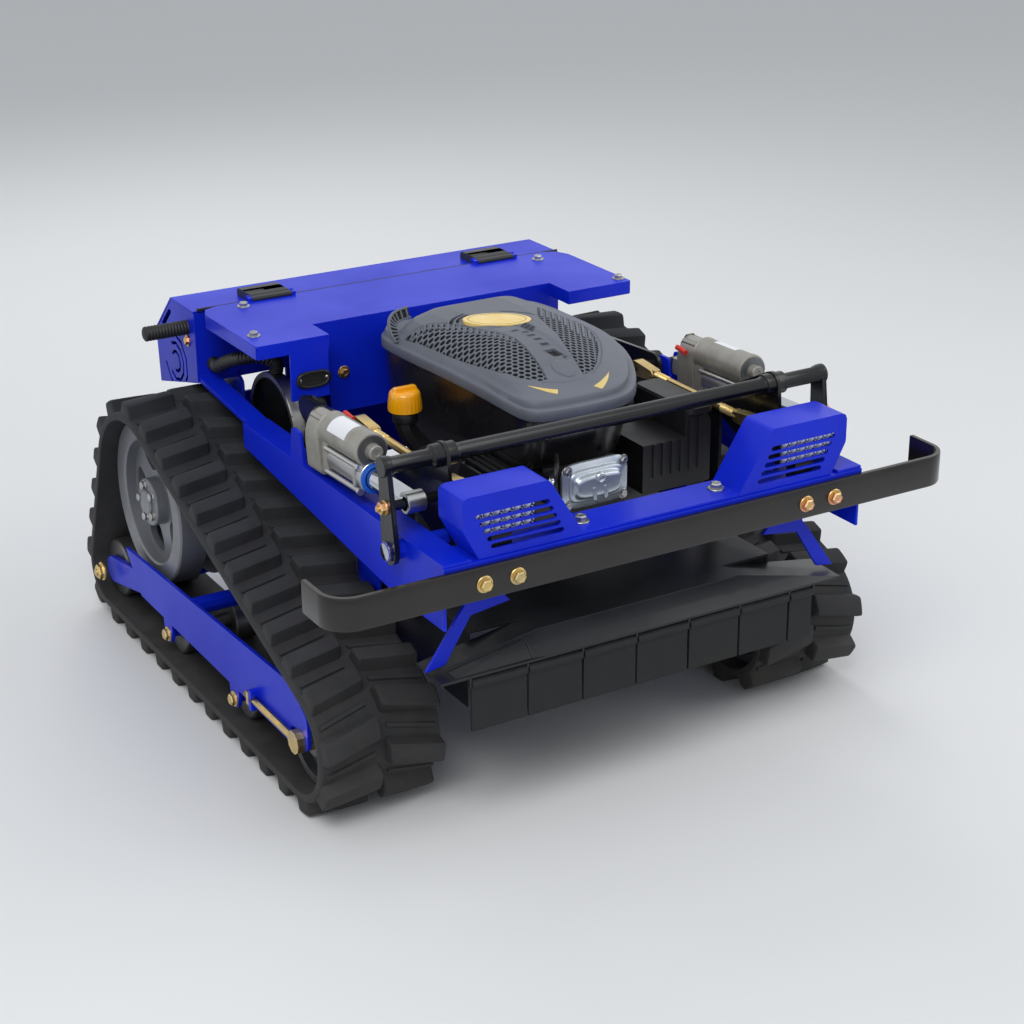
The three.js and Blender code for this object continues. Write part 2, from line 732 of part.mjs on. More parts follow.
function framePins(side) {
  const places = [[pivot.y, pivot.z], [rearPivot.y, rearPivot.z]];
  const inward = places.flatMap((place) => [
    rod('x', place, pivot.bossRadius, side * (crank.outer + seatGap), side * (rail.inner + fuse), facets.hidden),
    rod('x', place, pivot.radius, side * (crank.inner - overrun), side * (rail.inner + fuse), facets.hidden),
    rod('x', place, pivot.headRadius, side * (crank.inner - overrun - pivot.headLength), side * (crank.inner - overrun), 6),
  ]);
  const outerPlace = places[0];
  const outward = [
    rod('x', outerPlace, pivot.bossRadius, side * (rail.outer - fuse), side * (lever.inner - seatGap), facets.hidden),
    rod('x', outerPlace, pivot.radius, side * (rail.outer - fuse), side * (lever.outer + seatGap), facets.hidden),
    rod('x', outerPlace, pivot.headRadius, side * (lever.outer + seatGap), side * (lever.outer + seatGap + pivot.headLength), facets.pin),
  ];
  return join([...inward, ...outward]);
}

function actuatorEars(side) {
  const { y, z, earInner, earOuter, earThickness, earHalf, earFoot, pinRadius } = actuatorMount;
  const shape = outline([
    [y - earFoot, rail.top - fuse],
    [y - earHalf, z + earHalf, earHalf / 2],
    [y + earHalf, z + earHalf, earHalf / 2],
    [y + earFoot, rail.top - fuse],
  ]);
  const ears = [[earInner, earInner + earThickness], [earOuter - earThickness, earOuter]];
  const plates = ears.map(([from, to]) => prism('x', shape, side * from, side * to));
  const pin = rod('x', [y, z], pinRadius, side * (earInner + fuse), side * (earOuter - fuse), facets.hidden);
  return join([...plates, pin]);
}

function rearSidePlate(side) {
  const { inner, frontY, lowY, low, frontZ, notchY, rearY, rearLowY, cornerRadius } = frameSide;
  const topGap = seatGap + 1 / Math.cos(Math.atan(1 / 4));
  const plate = prism('x', outline([
    [frontY, frontZ, cornerRadius],
    [lowY, low, cornerRadius],
    [rearLowY, low, cornerRadius],
    [rearY, rearCross.low, cornerRadius],
    [rearY, boxFloorZ(rearY) - topGap],
    [rearBox.frontY, boxFloorZ(rearBox.frontY) - topGap],
    [rearBox.frontY - sheet.side - seatGap, strap.rearZ],
    [notchY, strap.rearZ - strap.drop, cornerRadius],
    [notchY, frontZ, cornerRadius],
  ]), side * inner, side * (inner + sheet.side));
  const hole = rod('x', [driveSpot.y, driveSpot.z], axleTube.radius + fuse, side * (inner - overrun), side * (inner + sheet.side + overrun), facets.bore);
  const outerEdge = side * (rail.inner);
  const neck = block(
    [side * inner, outerEdge],
    [rearBox.frontY - seatGap - sheet.side, rearBox.frontY - seatGap],
    [strap.rearZ - strap.drop, strap.rearZ + strap.drop],
  );
  return join([cut(plate, [hole]), neck]);
}

function frontPost(side) {
  const { frontY, rearY, low, tieZ, tieHeight } = post;
  const plate = block([side * frameSide.inner, side * (frameSide.inner + sheet.side)], [frontY, rearY], [low, tieZ + tieHeight]);
  const tie = block([side * frameSide.inner, side * (rail.inner + sheet.frame)], [frontY, rearY], [tieZ, tieZ + tieHeight + fuse]);
  return join([plate, tie]);
}

function cornerGusset(side) {
  const g = gussetDrop;
  return prism('y', outline([
    [side * g.neckInner, beam.bottom + fuse],
    [side * g.neckInner, g.neckZ],
    [side * g.innerX, g.innerZ],
    [side * g.backX, g.backZ],
    [side * g.lowX, g.lowZ],
    [side * g.tipX, g.tipZ],
    [side * (g.elbowX + (g.tipX - g.elbowX) / 2), (g.elbowZ + g.tipZ) / 2],
    [side * g.elbowX, g.elbowZ],
    [side * g.neckOuter, g.neckZ],
    [side * g.neckOuter, beam.bottom + fuse],
  ]), g.y, g.y + g.thickness);
}

function mainFrame() {
  const t = sheet.frame;
  const beamTop = rail.top - t - seatGap;
  const shape = outline([
    [beam.front, beam.bottom],
    [beam.front + t, beam.bottom],
    [beam.front + t, beamTop - t],
    [beam.rear - t, beamTop - t],
    [beam.rear - t, beam.bottom],
    [beam.rear, beam.bottom],
    [beam.rear, beamTop],
    [beam.front, beamTop],
  ]);
  const frontBeam = prism('x', shape, -beam.half, beam.half);
  const between = [-(frameSide.inner + 1), frameSide.inner + 1];
  const rearPlate = block(between, [rearCross.y, rearCross.y + rearCross.thickness], [rearCross.low, rearCross.high]);
  const lowerTop = lowerCross.low + lowerCross.height;
  const lowerBeam = prism('x', outline([
    [lowerCross.y, lowerCross.low],
    [lowerCross.y + lowerCross.depth, lowerCross.low],
    [lowerCross.y + lowerCross.depth, lowerTop],
    [lowerCross.y + lowerCross.depth - t, lowerTop],
    [lowerCross.y + lowerCross.depth - t, lowerCross.low + t],
    [lowerCross.y + t, lowerCross.low + t],
    [lowerCross.y + t, lowerTop],
    [lowerCross.y, lowerTop],
  ]), ...between);
  const halves = [1, -1].flatMap((side) => [
    sideRail(side), framePins(side), actuatorEars(side), rearSidePlate(side), frontPost(side), cornerGusset(side),
  ]);
  return join([frontBeam, rearPlate, lowerBeam, ...halves]);
}

// Front panel with its two lamp housings

const panel = {
  front: -562,
  rear: -494,
  stripHalf: 135,
  innerTop: 195,
  outerTop: 336,
  top: 557,
  outerKneeZ: 510,
  outerLow: 310,
  cornerRadius: 10,
};
const vent = { count: 5, firstInner: 194, firstOuter: 315, firstZ: 525, pitch: 12, height: 8, stepIn: 6 };

function housingOutline(side, inset) {
  const { stripHalf, innerTop, outerTop, top, outerKneeZ, outerLow, cornerRadius } = panel;
  const low = rail.top - sheet.frame;
  return outline([
    [side * (stripHalf + inset), low - (inset ? overrun : 0)],
    [side * (innerTop + inset), top - inset, cornerRadius],
    [side * (outerTop - inset), top - inset, cornerRadius],
    [side * (outerTop - inset), outerKneeZ, cornerRadius],
    [side * (outerLow - inset), low - (inset ? overrun : 0)],
  ]);
}

function ventSlots(side) {
  const slots = [];
  for (let row = 0; row < vent.count; row += 1) {
    const z = vent.firstZ - row * vent.pitch;
    const radius = vent.height / 2;
    const from = [side * (vent.firstInner - row * vent.stepIn + radius), z];
    const to = [side * (vent.firstOuter - row * vent.stepIn - radius), z];
    slots.push(link('y', from, to, radius, radius, panel.front - overrun, panel.front + sheet.frame + overrun, 6));
  }
  return slots;
}

function frontPanel() {
  const t = sheet.frame;
  const strip = block([-(panel.stripHalf + 2 * t), panel.stripHalf + 2 * t], [panel.front, panel.rear], [rail.top - t, rail.top]);
  const housings = [1, -1].map((side) => {
    const outer = prism('y', housingOutline(side, 0), panel.front, panel.rear);
    const hollow = prism('y', housingOutline(side, t), panel.front + t, panel.rear + overrun);
    return cut(outer, [hollow, ...ventSlots(side)]);
  });
  return join([strip, ...housings]);
}

const lamp = { inner: 214, outer: 320, top: 534, bottom: 492, depth: 34, lensRows: 3, lensDepth: 3, rim: 4 };
const lensShare = 0.4;

function workLamp(side) {
  const front = panel.front + sheet.frame + seatGap;
  const body = block([side * lamp.inner, side * lamp.outer], [front + lamp.lensDepth, front + lamp.depth], [lamp.bottom, lamp.top]);
  const foot = block(
    [side * (lamp.inner + lamp.outer) / 2 - lamp.depth / 2, side * (lamp.inner + lamp.outer) / 2 + lamp.depth / 2],
    [front + lamp.lensDepth + lamp.rim, front + lamp.depth - lamp.rim],
    [rail.top - sheet.frame, lamp.bottom + fuse],
  );
  const lenses = [];
  const upStep = (lamp.top - lamp.bottom) / lamp.lensRows;
  const radius = upStep * lensShare;
  for (let row = 0; row < lamp.lensRows; row += 1) {
    const z = lamp.bottom + (row + 1 / 2) * upStep;
    const from = [side * (lamp.inner + upStep / 2), z];
    const to = [side * (lamp.outer - upStep / 2), z];
    lenses.push(link('y', from, to, radius, radius, front, front + lamp.lensDepth + fuse, 8));
  }
  return join([body, foot, ...lenses]);
}

// Bumper: a flat bar whose ends curl back

const bumper = { front: -574, thickness: 8, low: 405, height: 50, reach: 545, tipY: -481, radius: 45 };

function bumperBar() {
  const { front, thickness, low, height, reach, tipY, radius } = bumper;
  const inner = radius - thickness;
  const shape = outline([
    [-reach, front, radius],
    [reach, front, radius],
    [reach, tipY],
    [reach - thickness, tipY],
    [reach - thickness, front + thickness, inner],
    [-(reach - thickness), front + thickness, inner],
    [-(reach - thickness), tipY],
    [-reach, tipY],
  ], 6);
  return prism('z', shape, low, low + height);
}

// Rear control box, lid, hinges and cover plate

const endSlot = { frontY: 410, rearY: 468, topZ: 578, lowZ: 540, lean: 16 };
const endVent = { y: 406, z: 488, radii: [18, 34, 50], width: 6 };
const ventStartShare = 0.08;
const ventSweepShare = 0.72;
const lid = { hingeY: 311, hingeZ: 611, frontGap: 3 };
const hinge = { inner: 186, outer: 257, rear: 368, knuckle: 4, earLength: 8 };

function boxOutline(inset) {
  const { frontY, topZ, topRearY, rearY, rearZ, lowRearY, lowRearZ, lowFrontZ } = rearBox;
  return [
    [frontY + inset, topZ],
    [topRearY - inset / 2, topZ],
    [rearY - inset, rearZ],
    [lowRearY - inset, lowRearZ + inset],
    [frontY + inset, lowFrontZ + inset],
  ];
}

function arcBand(axisPlace, radius, width, startAngle, sweep, steps) {
  const points = [];
  for (let i = 0; i <= steps; i += 1) points.push([radius + width / 2, startAngle + sweep * i / steps]);
  for (let i = steps; i >= 0; i -= 1) points.push([radius - width / 2, startAngle + sweep * i / steps]);
  return new THREE.Shape(points.map(([r, angle]) => (
    new THREE.Vector2(axisPlace[0] + r * Math.cos(angle), axisPlace[1] + r * Math.sin(angle)))));
}

function rearBoxSolid() {
  const t = sheet.box;
  const outer = prism('x', outline(boxOutline(0)), -rearBox.half, rearBox.half);
  const inner = prism('x', outline(boxOutline(t)), -(rearBox.half - t), rearBox.half - t);
  const lidSpace = prism('x', outline([
    [rearBox.frontY - overrun, rearBox.topZ + overrun],
    [rearBox.rearY + 2 * overrun, rearBox.topZ + overrun],
    [rearBox.rearY + 2 * overrun, rearBox.rearZ - overrun],
    [rearBox.rearY - t - overrun, rearBox.rearZ - overrun],
    [rearBox.topRearY - t, rearBox.topZ - t - seatGap],
    [rearBox.frontY - overrun, rearBox.topZ - t - seatGap],
  ]), -(rearBox.half + overrun), rearBox.half + overrun);
  const ends = [1, -1].flatMap((side) => {
    const span = [side * (rearBox.half - t - overrun), side * (rearBox.half + overrun)];
    const { frontY, rearY, topZ, lowZ, lean } = endSlot;
    const slot = outline([
      [frontY, topZ, t],
      [frontY + lean, topZ, t],
      [rearY, lowZ, t],
      [rearY - lean, lowZ, t],
    ], 2);
    const vents = endVent.radii.map((radius, i) => {
      const start = 2 * Math.PI * (ventStartShare + i * ventStartShare);
      const sweep = 2 * Math.PI * ventSweepShare;
      return prism('x', arcBand([endVent.y, endVent.z], radius, endVent.width, start, sweep, 7), ...span);
    });
    return [prism('x', slot, ...span), ...vents];
  });
  return cut(outer, [inner, lidSpace, ...ends]);
}

function lidSolid() {
  const t = sheet.box;
  const { frontY, topZ, topRearY, rearY, rearZ } = rearBox;
  return prism('x', outline([
    [frontY + lid.frontGap, topZ - t],
    [topRearY - t / 2, topZ - t],
    [rearY - t, rearZ],
    [rearY, rearZ],
    [topRearY, topZ],
    [frontY + lid.frontGap, topZ],
  ]), -rearBox.half, rearBox.half);
}

function lidHinge(side) {
  const { inner, outer, rear, knuckle } = hinge;
  const low = rearBox.topZ + seatGap;
  const pad = prism('x', outline([
    [lid.hingeY + fuse, low],
    [rear, low],
    [rear, lid.hingeZ, knuckle],
    [rear - 2 * knuckle, lid.hingeZ + knuckle],
    [lid.hingeY, lid.hingeZ + knuckle],
    [lid.hingeY, lid.hingeZ],
  ]), side * inner, side * outer);
  const barrel = rod('x', [lid.hingeY, lid.hingeZ], knuckle, side * inner, side * outer, 8);
  return join([pad, barrel]);
}

const cover = {
  frontY: 63,
  middleY: 127,
  rearY: 306,
  half: 358,
  wingInner: 229,
  top: 607,
  flangeZ: 584,
  cornerRadius: 36,
  panelHalf: 200,
  panelLow: 446,
  panelWaist: 522,
  trayRear: 305,
};
const socketTab = { inner: 232, outer: 300, low: 504, centreX: -261, centreZ: 537, holeHalf: 15, holeRadius: 9 };

function coverPlate() {
  const t = sheet.frame;
  const c = cover;
  const z0 = c.top - t;
  const top = prism('z', outline([
    [-c.half, c.frontY, t],
    [-c.wingInner, c.frontY, t],
    [-c.wingInner, c.middleY],
    [c.wingInner, c.middleY],
    [c.wingInner, c.frontY, t],
    [c.half, c.frontY, t],
    [c.half, c.rearY, c.cornerRadius],
    [-c.half, c.rearY, c.cornerRadius],
  ]), z0, c.top);
  const folds = [1, -1].flatMap((side) => [
    block([side * (c.wingInner), side * (c.half - t + fuse)], [c.frontY, c.frontY + t], [c.flangeZ, c.top - fuse]),
    block([side * (c.half - t), side * c.half], [c.frontY + t - fuse, c.rearY - c.cornerRadius], [c.flangeZ, c.top - fuse]),
    block([side * c.wingInner, side * (c.wingInner + t)], [c.frontY, c.middleY + t], [c.flangeZ, c.top - fuse]),
    ...[hinge.inner - hinge.earLength - seatGap, hinge.outer + seatGap].flatMap((start) => {
      const span = [side * start, side * (start + hinge.earLength)];
      return [
        rod('x', [lid.hingeY, lid.hingeZ], hinge.knuckle, ...span, 8),
        block(span, [c.rearY - 2 * t, lid.hingeY], [c.top - fuse, lid.hingeZ + hinge.knuckle / 2]),
      ];
    }),
  ]);
  const panelShape = outline([
    [-c.wingInner, c.top - fuse],
    [-c.wingInner, c.panelWaist],
    [-c.panelHalf, c.panelWaist],
    [-c.panelHalf, c.panelLow],
    [c.panelHalf, c.panelLow],
    [c.panelHalf, c.panelWaist],
    [c.wingInner, c.panelWaist],
    [c.wingInner, c.top - fuse],
  ]);
  const centre = prism('y', panelShape, c.middleY, c.middleY + t);
  const tray = block([-c.panelHalf, c.panelHalf], [c.middleY, c.trayRear], [c.panelLow, c.panelLow + t]);
  const trayBack = block([-c.panelHalf, c.panelHalf], [c.trayRear, rearBox.frontY - seatGap], [c.panelLow, c.top - fuse]);
  const tab = block([-socketTab.outer, -socketTab.inner], [c.frontY, c.frontY + t], [socketTab.low, c.flangeZ + fuse]);
  const socketHole = link(
    'y',
    [socketTab.centreX - socketTab.holeHalf, socketTab.centreZ],
    [socketTab.centreX + socketTab.holeHalf, socketTab.centreZ],
    socketTab.holeRadius, socketTab.holeRadius, c.frontY - overrun, c.frontY + t + overrun, 12,
  );
  return cut(join([top, ...folds, centre, tray, trayBack, tab]), [socketHole]);
}

const socket = { flangeHalf: 17, flangeRadius: 14, flange: 3, depth: 18, well: 12, wellRadius: 5, wallGap: 0.3 };

function chargeSocket() {
  const { centreX, centreZ, holeHalf, holeRadius } = socketTab;
  const front = cover.frontY - seatGap;
  const ends = (half) => [[centreX - half, centreZ], [centreX + half, centreZ]];
  const flange = link('y', ...ends(socket.flangeHalf), socket.flangeRadius, socket.flangeRadius, front - socket.flange, front, facets.pin);
  const neckRadius = holeRadius - socket.wallGap;
  const neck = link('y', ...ends(holeHalf), neckRadius, neckRadius, front - fuse, front + socket.depth, facets.pin);
  const well = link('y', ...ends(holeHalf / 2), socket.wellRadius, socket.wellRadius, front - socket.flange - overrun, front - socket.flange + socket.well, 8);
  return cut(join([flange, neck]), [well]);
}

// What the covers hold

const floorFront = new THREE.Vector2(rearBox.frontY + sheet.box, rearBox.lowFrontZ + sheet.box);
const floorRear = new THREE.Vector2(rearBox.lowRearY - sheet.box, rearBox.lowRearZ + sheet.box);

// A rectangle that stands on the box's sloping floor, from its place along it and its height.
function onFloor(along0, along1, height) {
  const ahead = floorRear.clone().sub(floorFront).normalize();
  const up = new THREE.Vector2(-ahead.y, ahead.x);
  const at = (along, over) => floorFront.clone().addScaledVector(ahead, along).addScaledVector(up, over);
  return new THREE.Shape([
    at(along0, seatGap), at(along1, seatGap), at(along1, seatGap + height), at(along0, seatGap + height),
  ]);
}

const battery = { from: 30, to: 150, height: 88, x0: -250, x1: -60, post: 7, postHeight: 8 };
const controller = { from: 24, to: 160, height: 40, x0: 20, x1: 230, finCount: 6, finDepth: 14 };
const finShare = 0.45;

function batterySolid() {
  const body = prism('x', onFloor(battery.from, battery.to, battery.height), battery.x0, battery.x1);
  const posts = [battery.x0 + 2 * battery.post, battery.x1 - 4 * battery.post].map((x) => (
    prism('x', onFloor(battery.from + battery.post, battery.from + 3 * battery.post, battery.height + battery.postHeight), x, x + 2 * battery.post)));
  return join([body, ...posts]);
}

function controllerSolid() {
  const body = prism('x', onFloor(controller.from, controller.to, controller.height), controller.x0, controller.x1);
  const pitch = (controller.x1 - controller.x0) / controller.finCount;
  const fins = [];
  for (let i = 0; i < controller.finCount; i += 1) {
    const x = controller.x0 + (i + (1 - finShare) / 2) * pitch;
    fins.push(prism('x', onFloor(controller.from, controller.to, controller.height + controller.finDepth), x, x + finShare * pitch));
  }
  return join([body, ...fins]);
}

const tank = { x0: -150, x1: 150, y0: 140, y1: 298, height: 118, corner: 22, neck: 20, neckHeight: 14 };

function fuelTank() {
  const low = cover.panelLow + sheet.frame + seatGap;
  const shape = outline([
    [tank.x0, tank.y0, tank.corner],
    [tank.x1, tank.y0, tank.corner],
    [tank.x1, tank.y1, tank.corner],
    [tank.x0, tank.y1, tank.corner],
  ]);
  const body = prism('z', shape, low, low + tank.height);
  const middle = [(tank.x0 + tank.x1) / 2, (tank.y0 + tank.y1) / 2];
  return join([body, rod('z', middle, tank.neck, low + tank.height - fuse, low + tank.height + tank.neckHeight, facets.hidden)]);
}

const grip = { y: 345, z: 566, radius: 13, reach: 441, ribCount: 3, ribDepth: 1.5 };
const ribShare = 0.6;

function carryGrip() {
  const from = -(rearBox.half + seatGap);
  const pitch = (grip.reach + from) / grip.ribCount;
  const profile = [[0, from]];
  for (let i = 0; i < grip.ribCount; i += 1) {
    const start = from - i * pitch;
    profile.push([grip.radius, start], [grip.radius, start - pitch * ribShare]);
    profile.push([grip.radius - grip.ribDepth, start - pitch * ribShare], [grip.radius - grip.ribDepth, start - pitch]);
  }
  profile.push([0, -grip.reach]);
  return turned('x', [grip.y, grip.z], profile, 10);
}

// Corrugated conduit from the box to the right motor

const conduit = { radius: 12, root: 10, bore: 7, ribCount: 17 };
const conduitRoute = [
  [-332, 310.7, 506],
  [-332, 292, 506],
  [-331, 250, 526],
  [-322, 214, 540],
  [-300, 193, 545],
  [-273, 185, 533],
  [-272, 185, 515.3],
];

function conduitHose() {
  const curve = new THREE.CatmullRomCurve3(conduitRoute.map((place) => new THREE.Vector3(...place)));
  const frames = curve.computeFrenetFrames(4 * conduit.ribCount, false);
  const ring = (step, radius) => {
    const centre = curve.getPointAt(step / (4 * conduit.ribCount));
    const points = [];
    for (let i = 0; i < 8; i += 1) {
      const angle = 2 * Math.PI * i / 8;
      points.push(centre.clone()
        .addScaledVector(frames.normals[step], radius * Math.cos(angle))
        .addScaledVector(frames.binormals[step], radius * Math.sin(angle)));
    }
    return points;
  };
  const rings = [ring(0, conduit.root)];
  for (let rib = 1; rib < conduit.ribCount - 1; rib += 1) {
    rings.push(ring(4 * rib, conduit.root), ring(4 * rib + 2, conduit.radius));
  }
  rings.push(ring(4 * conduit.ribCount, conduit.root));
  for (let rib = conduit.ribCount; rib >= 0; rib -= 1) {
    rings.push(ring(4 * rib, conduit.bore));
  }
  return skin(rings, true);
}

// Lift frame: cross tube, outer levers and inner cranks that carry the deck

const pinPlay = 0.5;
const deckPin = { radius: 8, inner: 272 };
const tieRod = { x: 262, radius: 7, forkHalf: 9, forkLength: 46, forkEye: 13, pinInner: 250 };

function place(base, offset) {
  return [base.y + offset.y, base.z + offset.z];
}

function liftFrame() {
  const root = [pivot.y, pivot.z];
  const tube = rod('x', place(pivot, tubeSpot), liftTube.radius, -liftTube.end, liftTube.end, facets.hidden);
  const halves = [1, -1].flatMap((side) => {
    const span = [side * crank.inner, side * crank.outer];
    const levers = link('x', root, place(pivot, tubeSpot), lever.eye, lever.half, side * lever.inner, side * lever.outer, facets.pin);
    const plate = pinPlate('x', [root, place(pivot, arm), place(pivot, tubeSpot)], crank.eye, ...span);
    const collar = rod('x', place(pivot, tubeSpot), liftTube.collar, side * (crank.inner - liftTube.collarLength), side * (crank.outer + liftTube.collarLength), facets.hidden);
    const cap = rod('x', place(pivot, tubeSpot), liftTube.capRadius, side * liftTube.end, side * (liftTube.end - liftTube.capLength), facets.hidden);
    const bore = pivot.radius + pinPlay;
    const holes = [
      rod('x', root, bore, side * (lever.inner - overrun), side * (lever.outer + overrun), facets.pin),
      rod('x', root, bore, side * (crank.inner - overrun), side * (crank.outer + overrun), facets.pin),
    ];
    const rodPin = rod('x', place(pivot, liftPin), liftPin.radius, side * tieRod.pinInner, side * (lever.inner + fuse), facets.hidden);
    const hangPin = rod('x', place(pivot, arm), deckPin.radius, side * deckPin.inner, side * (crank.inner + fuse), facets.hidden);
    return [cut(join([levers, plate, collar, cap]), holes), rodPin, hangPin];
  });
  return join([tube, ...halves]);
}

function rearCrank(side) {
  const root = [rearPivot.y, rearPivot.z];
  const span = [side * crank.inner, side * crank.outer];
  const plate = pinPlate('x', [root, place(rearPivot, arm), place(rearPivot, liftPin)], crank.eye, ...span);
  const bore = rod('x', root, pivot.radius + pinPlay, side * (crank.inner - overrun), side * (crank.outer + overrun), facets.pin);
  const rodPin = rod('x', place(rearPivot, liftPin), liftPin.radius, side * tieRod.pinInner, side * (crank.inner + fuse), facets.hidden);
  const hangPin = rod('x', place(rearPivot, arm), deckPin.radius, side * deckPin.inner, side * (crank.inner + fuse), facets.hidden);
  return join([cut(plate, [bore]), rodPin, hangPin]);
}

function tieRodSolid(side) {
  const front = place(pivot, liftPin);
  const rear = place(rearPivot, liftPin);
  const height = front[1];
  const bar = rod('y', [side * tieRod.x, height], tieRod.radius, front[0] + tieRod.forkLength - fuse, rear[0] - tieRod.forkLength + fuse, 8);
  const ends = [[front, 1], [rear, -1]].map(([spot, way]) => {
    const from = side * (tieRod.x - tieRod.forkHalf);
    const to = side * (tieRod.x + tieRod.forkHalf);
    const eye = link('x', spot, [spot[0] + way * tieRod.forkLength, height], tieRod.forkEye, tieRod.forkEye / 2 + 2, from, to, facets.pin);
    const hole = rod('x', spot, liftPin.radius + pinPlay, from - side * overrun, to + side * overrun, facets.pin);
    return cut(eye, [hole]);
  });
  return join([bar, ...ends]);
}

// Electric actuators

const actuator = {
  x: 345,
  bodyRadius: 23,
  bodyFront: -317,
  gearRear: -135,
  gearFront: -186,
  gearLow: 469,
  gearTop: 566,
  gearHalf: 24,
  canRadius: 27,
  canRise: 41,
  canFront: -314,
  canBoss: 11,
  canBossLength: 14,
  rodRadius: 16.5,
  rodBore: 12,
  rodEnd: -433,
  rodTail: -300,
  eyeRadius: 17,
  eyeHalf: 8,
  eyePlay: 3.4,
  rodGap: 0.4,
  clevisHalf: 9,
  clevisRadius: 14,
  clevisPlay: 0.5,
};
const rodAxis = new THREE.Vector2(pivot.y + liftPin.y - actuatorMount.y, pivot.z + liftPin.z - actuatorMount.z);
const rodLean = Math.atan2(rodAxis.y, -rodAxis.x);

// The actuator is drawn level through its rear pin and then turned to aim at the lever's pin.
function aimed(solid) {
  const geometry = new THREE.BufferGeometry();
  const mesh = solid.getMesh();
  geometry.setAttribute('position', new THREE.BufferAttribute(mesh.vertProperties.slice(), 3));
  geometry.setIndex([...mesh.triVerts]);
  geometry.translate(0, -actuatorMount.y, -actuatorMount.z);
  geometry.rotateX(-rodLean);
  geometry.translate(0, actuatorMount.y, actuatorMount.z);
  return solidOf(geometry);
}

function actuatorBody(side) {
  const a = actuator;
  const centre = [side * a.x, actuatorMount.z];
  const gear = prism('y', outline([
    [side * a.x - a.gearHalf, a.gearLow, sheet.side],
    [side * a.x + a.gearHalf, a.gearLow, sheet.side],
    [side * a.x + a.gearHalf, a.gearTop, sheet.side],
    [side * a.x - a.gearHalf, a.gearTop, sheet.side],
  ]), a.gearFront, a.gearRear);
  const tube = rod('y', centre, a.bodyRadius, a.bodyFront, a.gearFront + fuse, facets.pin);
  const can = rod('y', [side * a.x, actuatorMount.z + a.canRise], a.canRadius, a.canFront, a.gearFront + fuse, facets.bore);
  const boss = rod('y', [side * a.x, actuatorMount.z + a.canRise], a.canBoss, a.canFront - a.canBossLength, a.canFront + fuse, 8);
  const stay = block([side * a.x - a.canBoss, side * a.x + a.canBoss], [a.bodyFront + a.canBoss, a.gearFront], [actuatorMount.z, actuatorMount.z + a.canRise]);
  const tail = block([side * a.x - a.clevisHalf, side * a.x + a.clevisHalf], [a.gearRear - fuse, actuatorMount.y - a.clevisRadius / 2], [actuatorMount.z - a.clevisRadius / 2, actuatorMount.z + a.clevisRadius / 2]);
  const eye = rod('x', [actuatorMount.y, actuatorMount.z], a.clevisRadius, side * (a.x - a.clevisHalf), side * (a.x + a.clevisHalf), facets.pin);
  const hole = rod('x', [actuatorMount.y, actuatorMount.z], actuatorMount.pinRadius + a.clevisPlay, side * (a.x - a.clevisHalf - overrun), side * (a.x + a.clevisHalf + overrun), facets.pin);
  const rodHole = rod('y', centre, a.rodRadius + a.rodGap, a.bodyFront - overrun, a.gearFront - overrun, facets.pin);
  return aimed(cut(join([gear, tube, can, boss, stay, tail, eye]), [hole, rodHole]));
}

function actuatorRod(side) {
  const a = actuator;
  const centre = [side * a.x, actuatorMount.z];
  const reach = rodAxis.length();
  const eyeY = actuatorMount.y - reach;
  const tube = rod('y', centre, a.rodRadius, a.rodEnd, a.rodTail, facets.pin);
  const bore = rod('y', centre, a.rodBore, a.rodEnd - overrun, a.rodTail + overrun, facets.pin);
  const eye = rod('x', [eyeY, actuatorMount.z], a.rodRadius, side * (a.x - a.rodRadius + fuse), side * (a.x + a.rodRadius - fuse), facets.pin);
  const hole = rod('x', [eyeY, actuatorMount.z], liftPin.radius + a.eyePlay, side * (a.x - 2 * a.rodRadius), side * (a.x + 2 * a.rodRadius), facets.pin);
  return aimed(cut(join([cut(tube, [bore]), eye]), [hole]));
}

// Mowing deck

const deck = {
  half: 275,
  top: 300,
  low: 175,
  rear: 215,
  rearRadius: 150,
  noseRear: -462,
  noseFront: -505,
  noseHalf: 361,
  ridgeHalf: 182,
  noseLow: 271,
  slopeFront: -538,
  slopeLow: 270,
  lugHalf: 18,
  lugInner: 276.5,
  lugOuter: 281.5,
  lugFoot: 40,
  hangerDrop: 22,
};
const engineSpot = { x: 10, y: -70 };
const shaft = { radius: 12.5, gap: 0.5, top: 326, low: 186, deckHole: 40 };

// The nose's section across the machine: ridged at its rear, flat where it ends in front.
function noseLoop(y, flatness) {
  const { noseHalf, ridgeHalf, noseLow, top, slopeLow } = deck;
  const t = sheet.frame;
  const tops = [[-noseHalf, noseLow], [-ridgeHalf, top], [ridgeHalf, top], [noseHalf, noseLow]];
  const bent = tops.map(([x, z]) => [x, THREE.MathUtils.lerp(z, slopeLow, flatness)]);
  const lows = bent.map(([x, z]) => [x, z - t]).reverse();
  return [...bent, ...lows].map(([x, z]) => new THREE.Vector3(x, y, z));
}

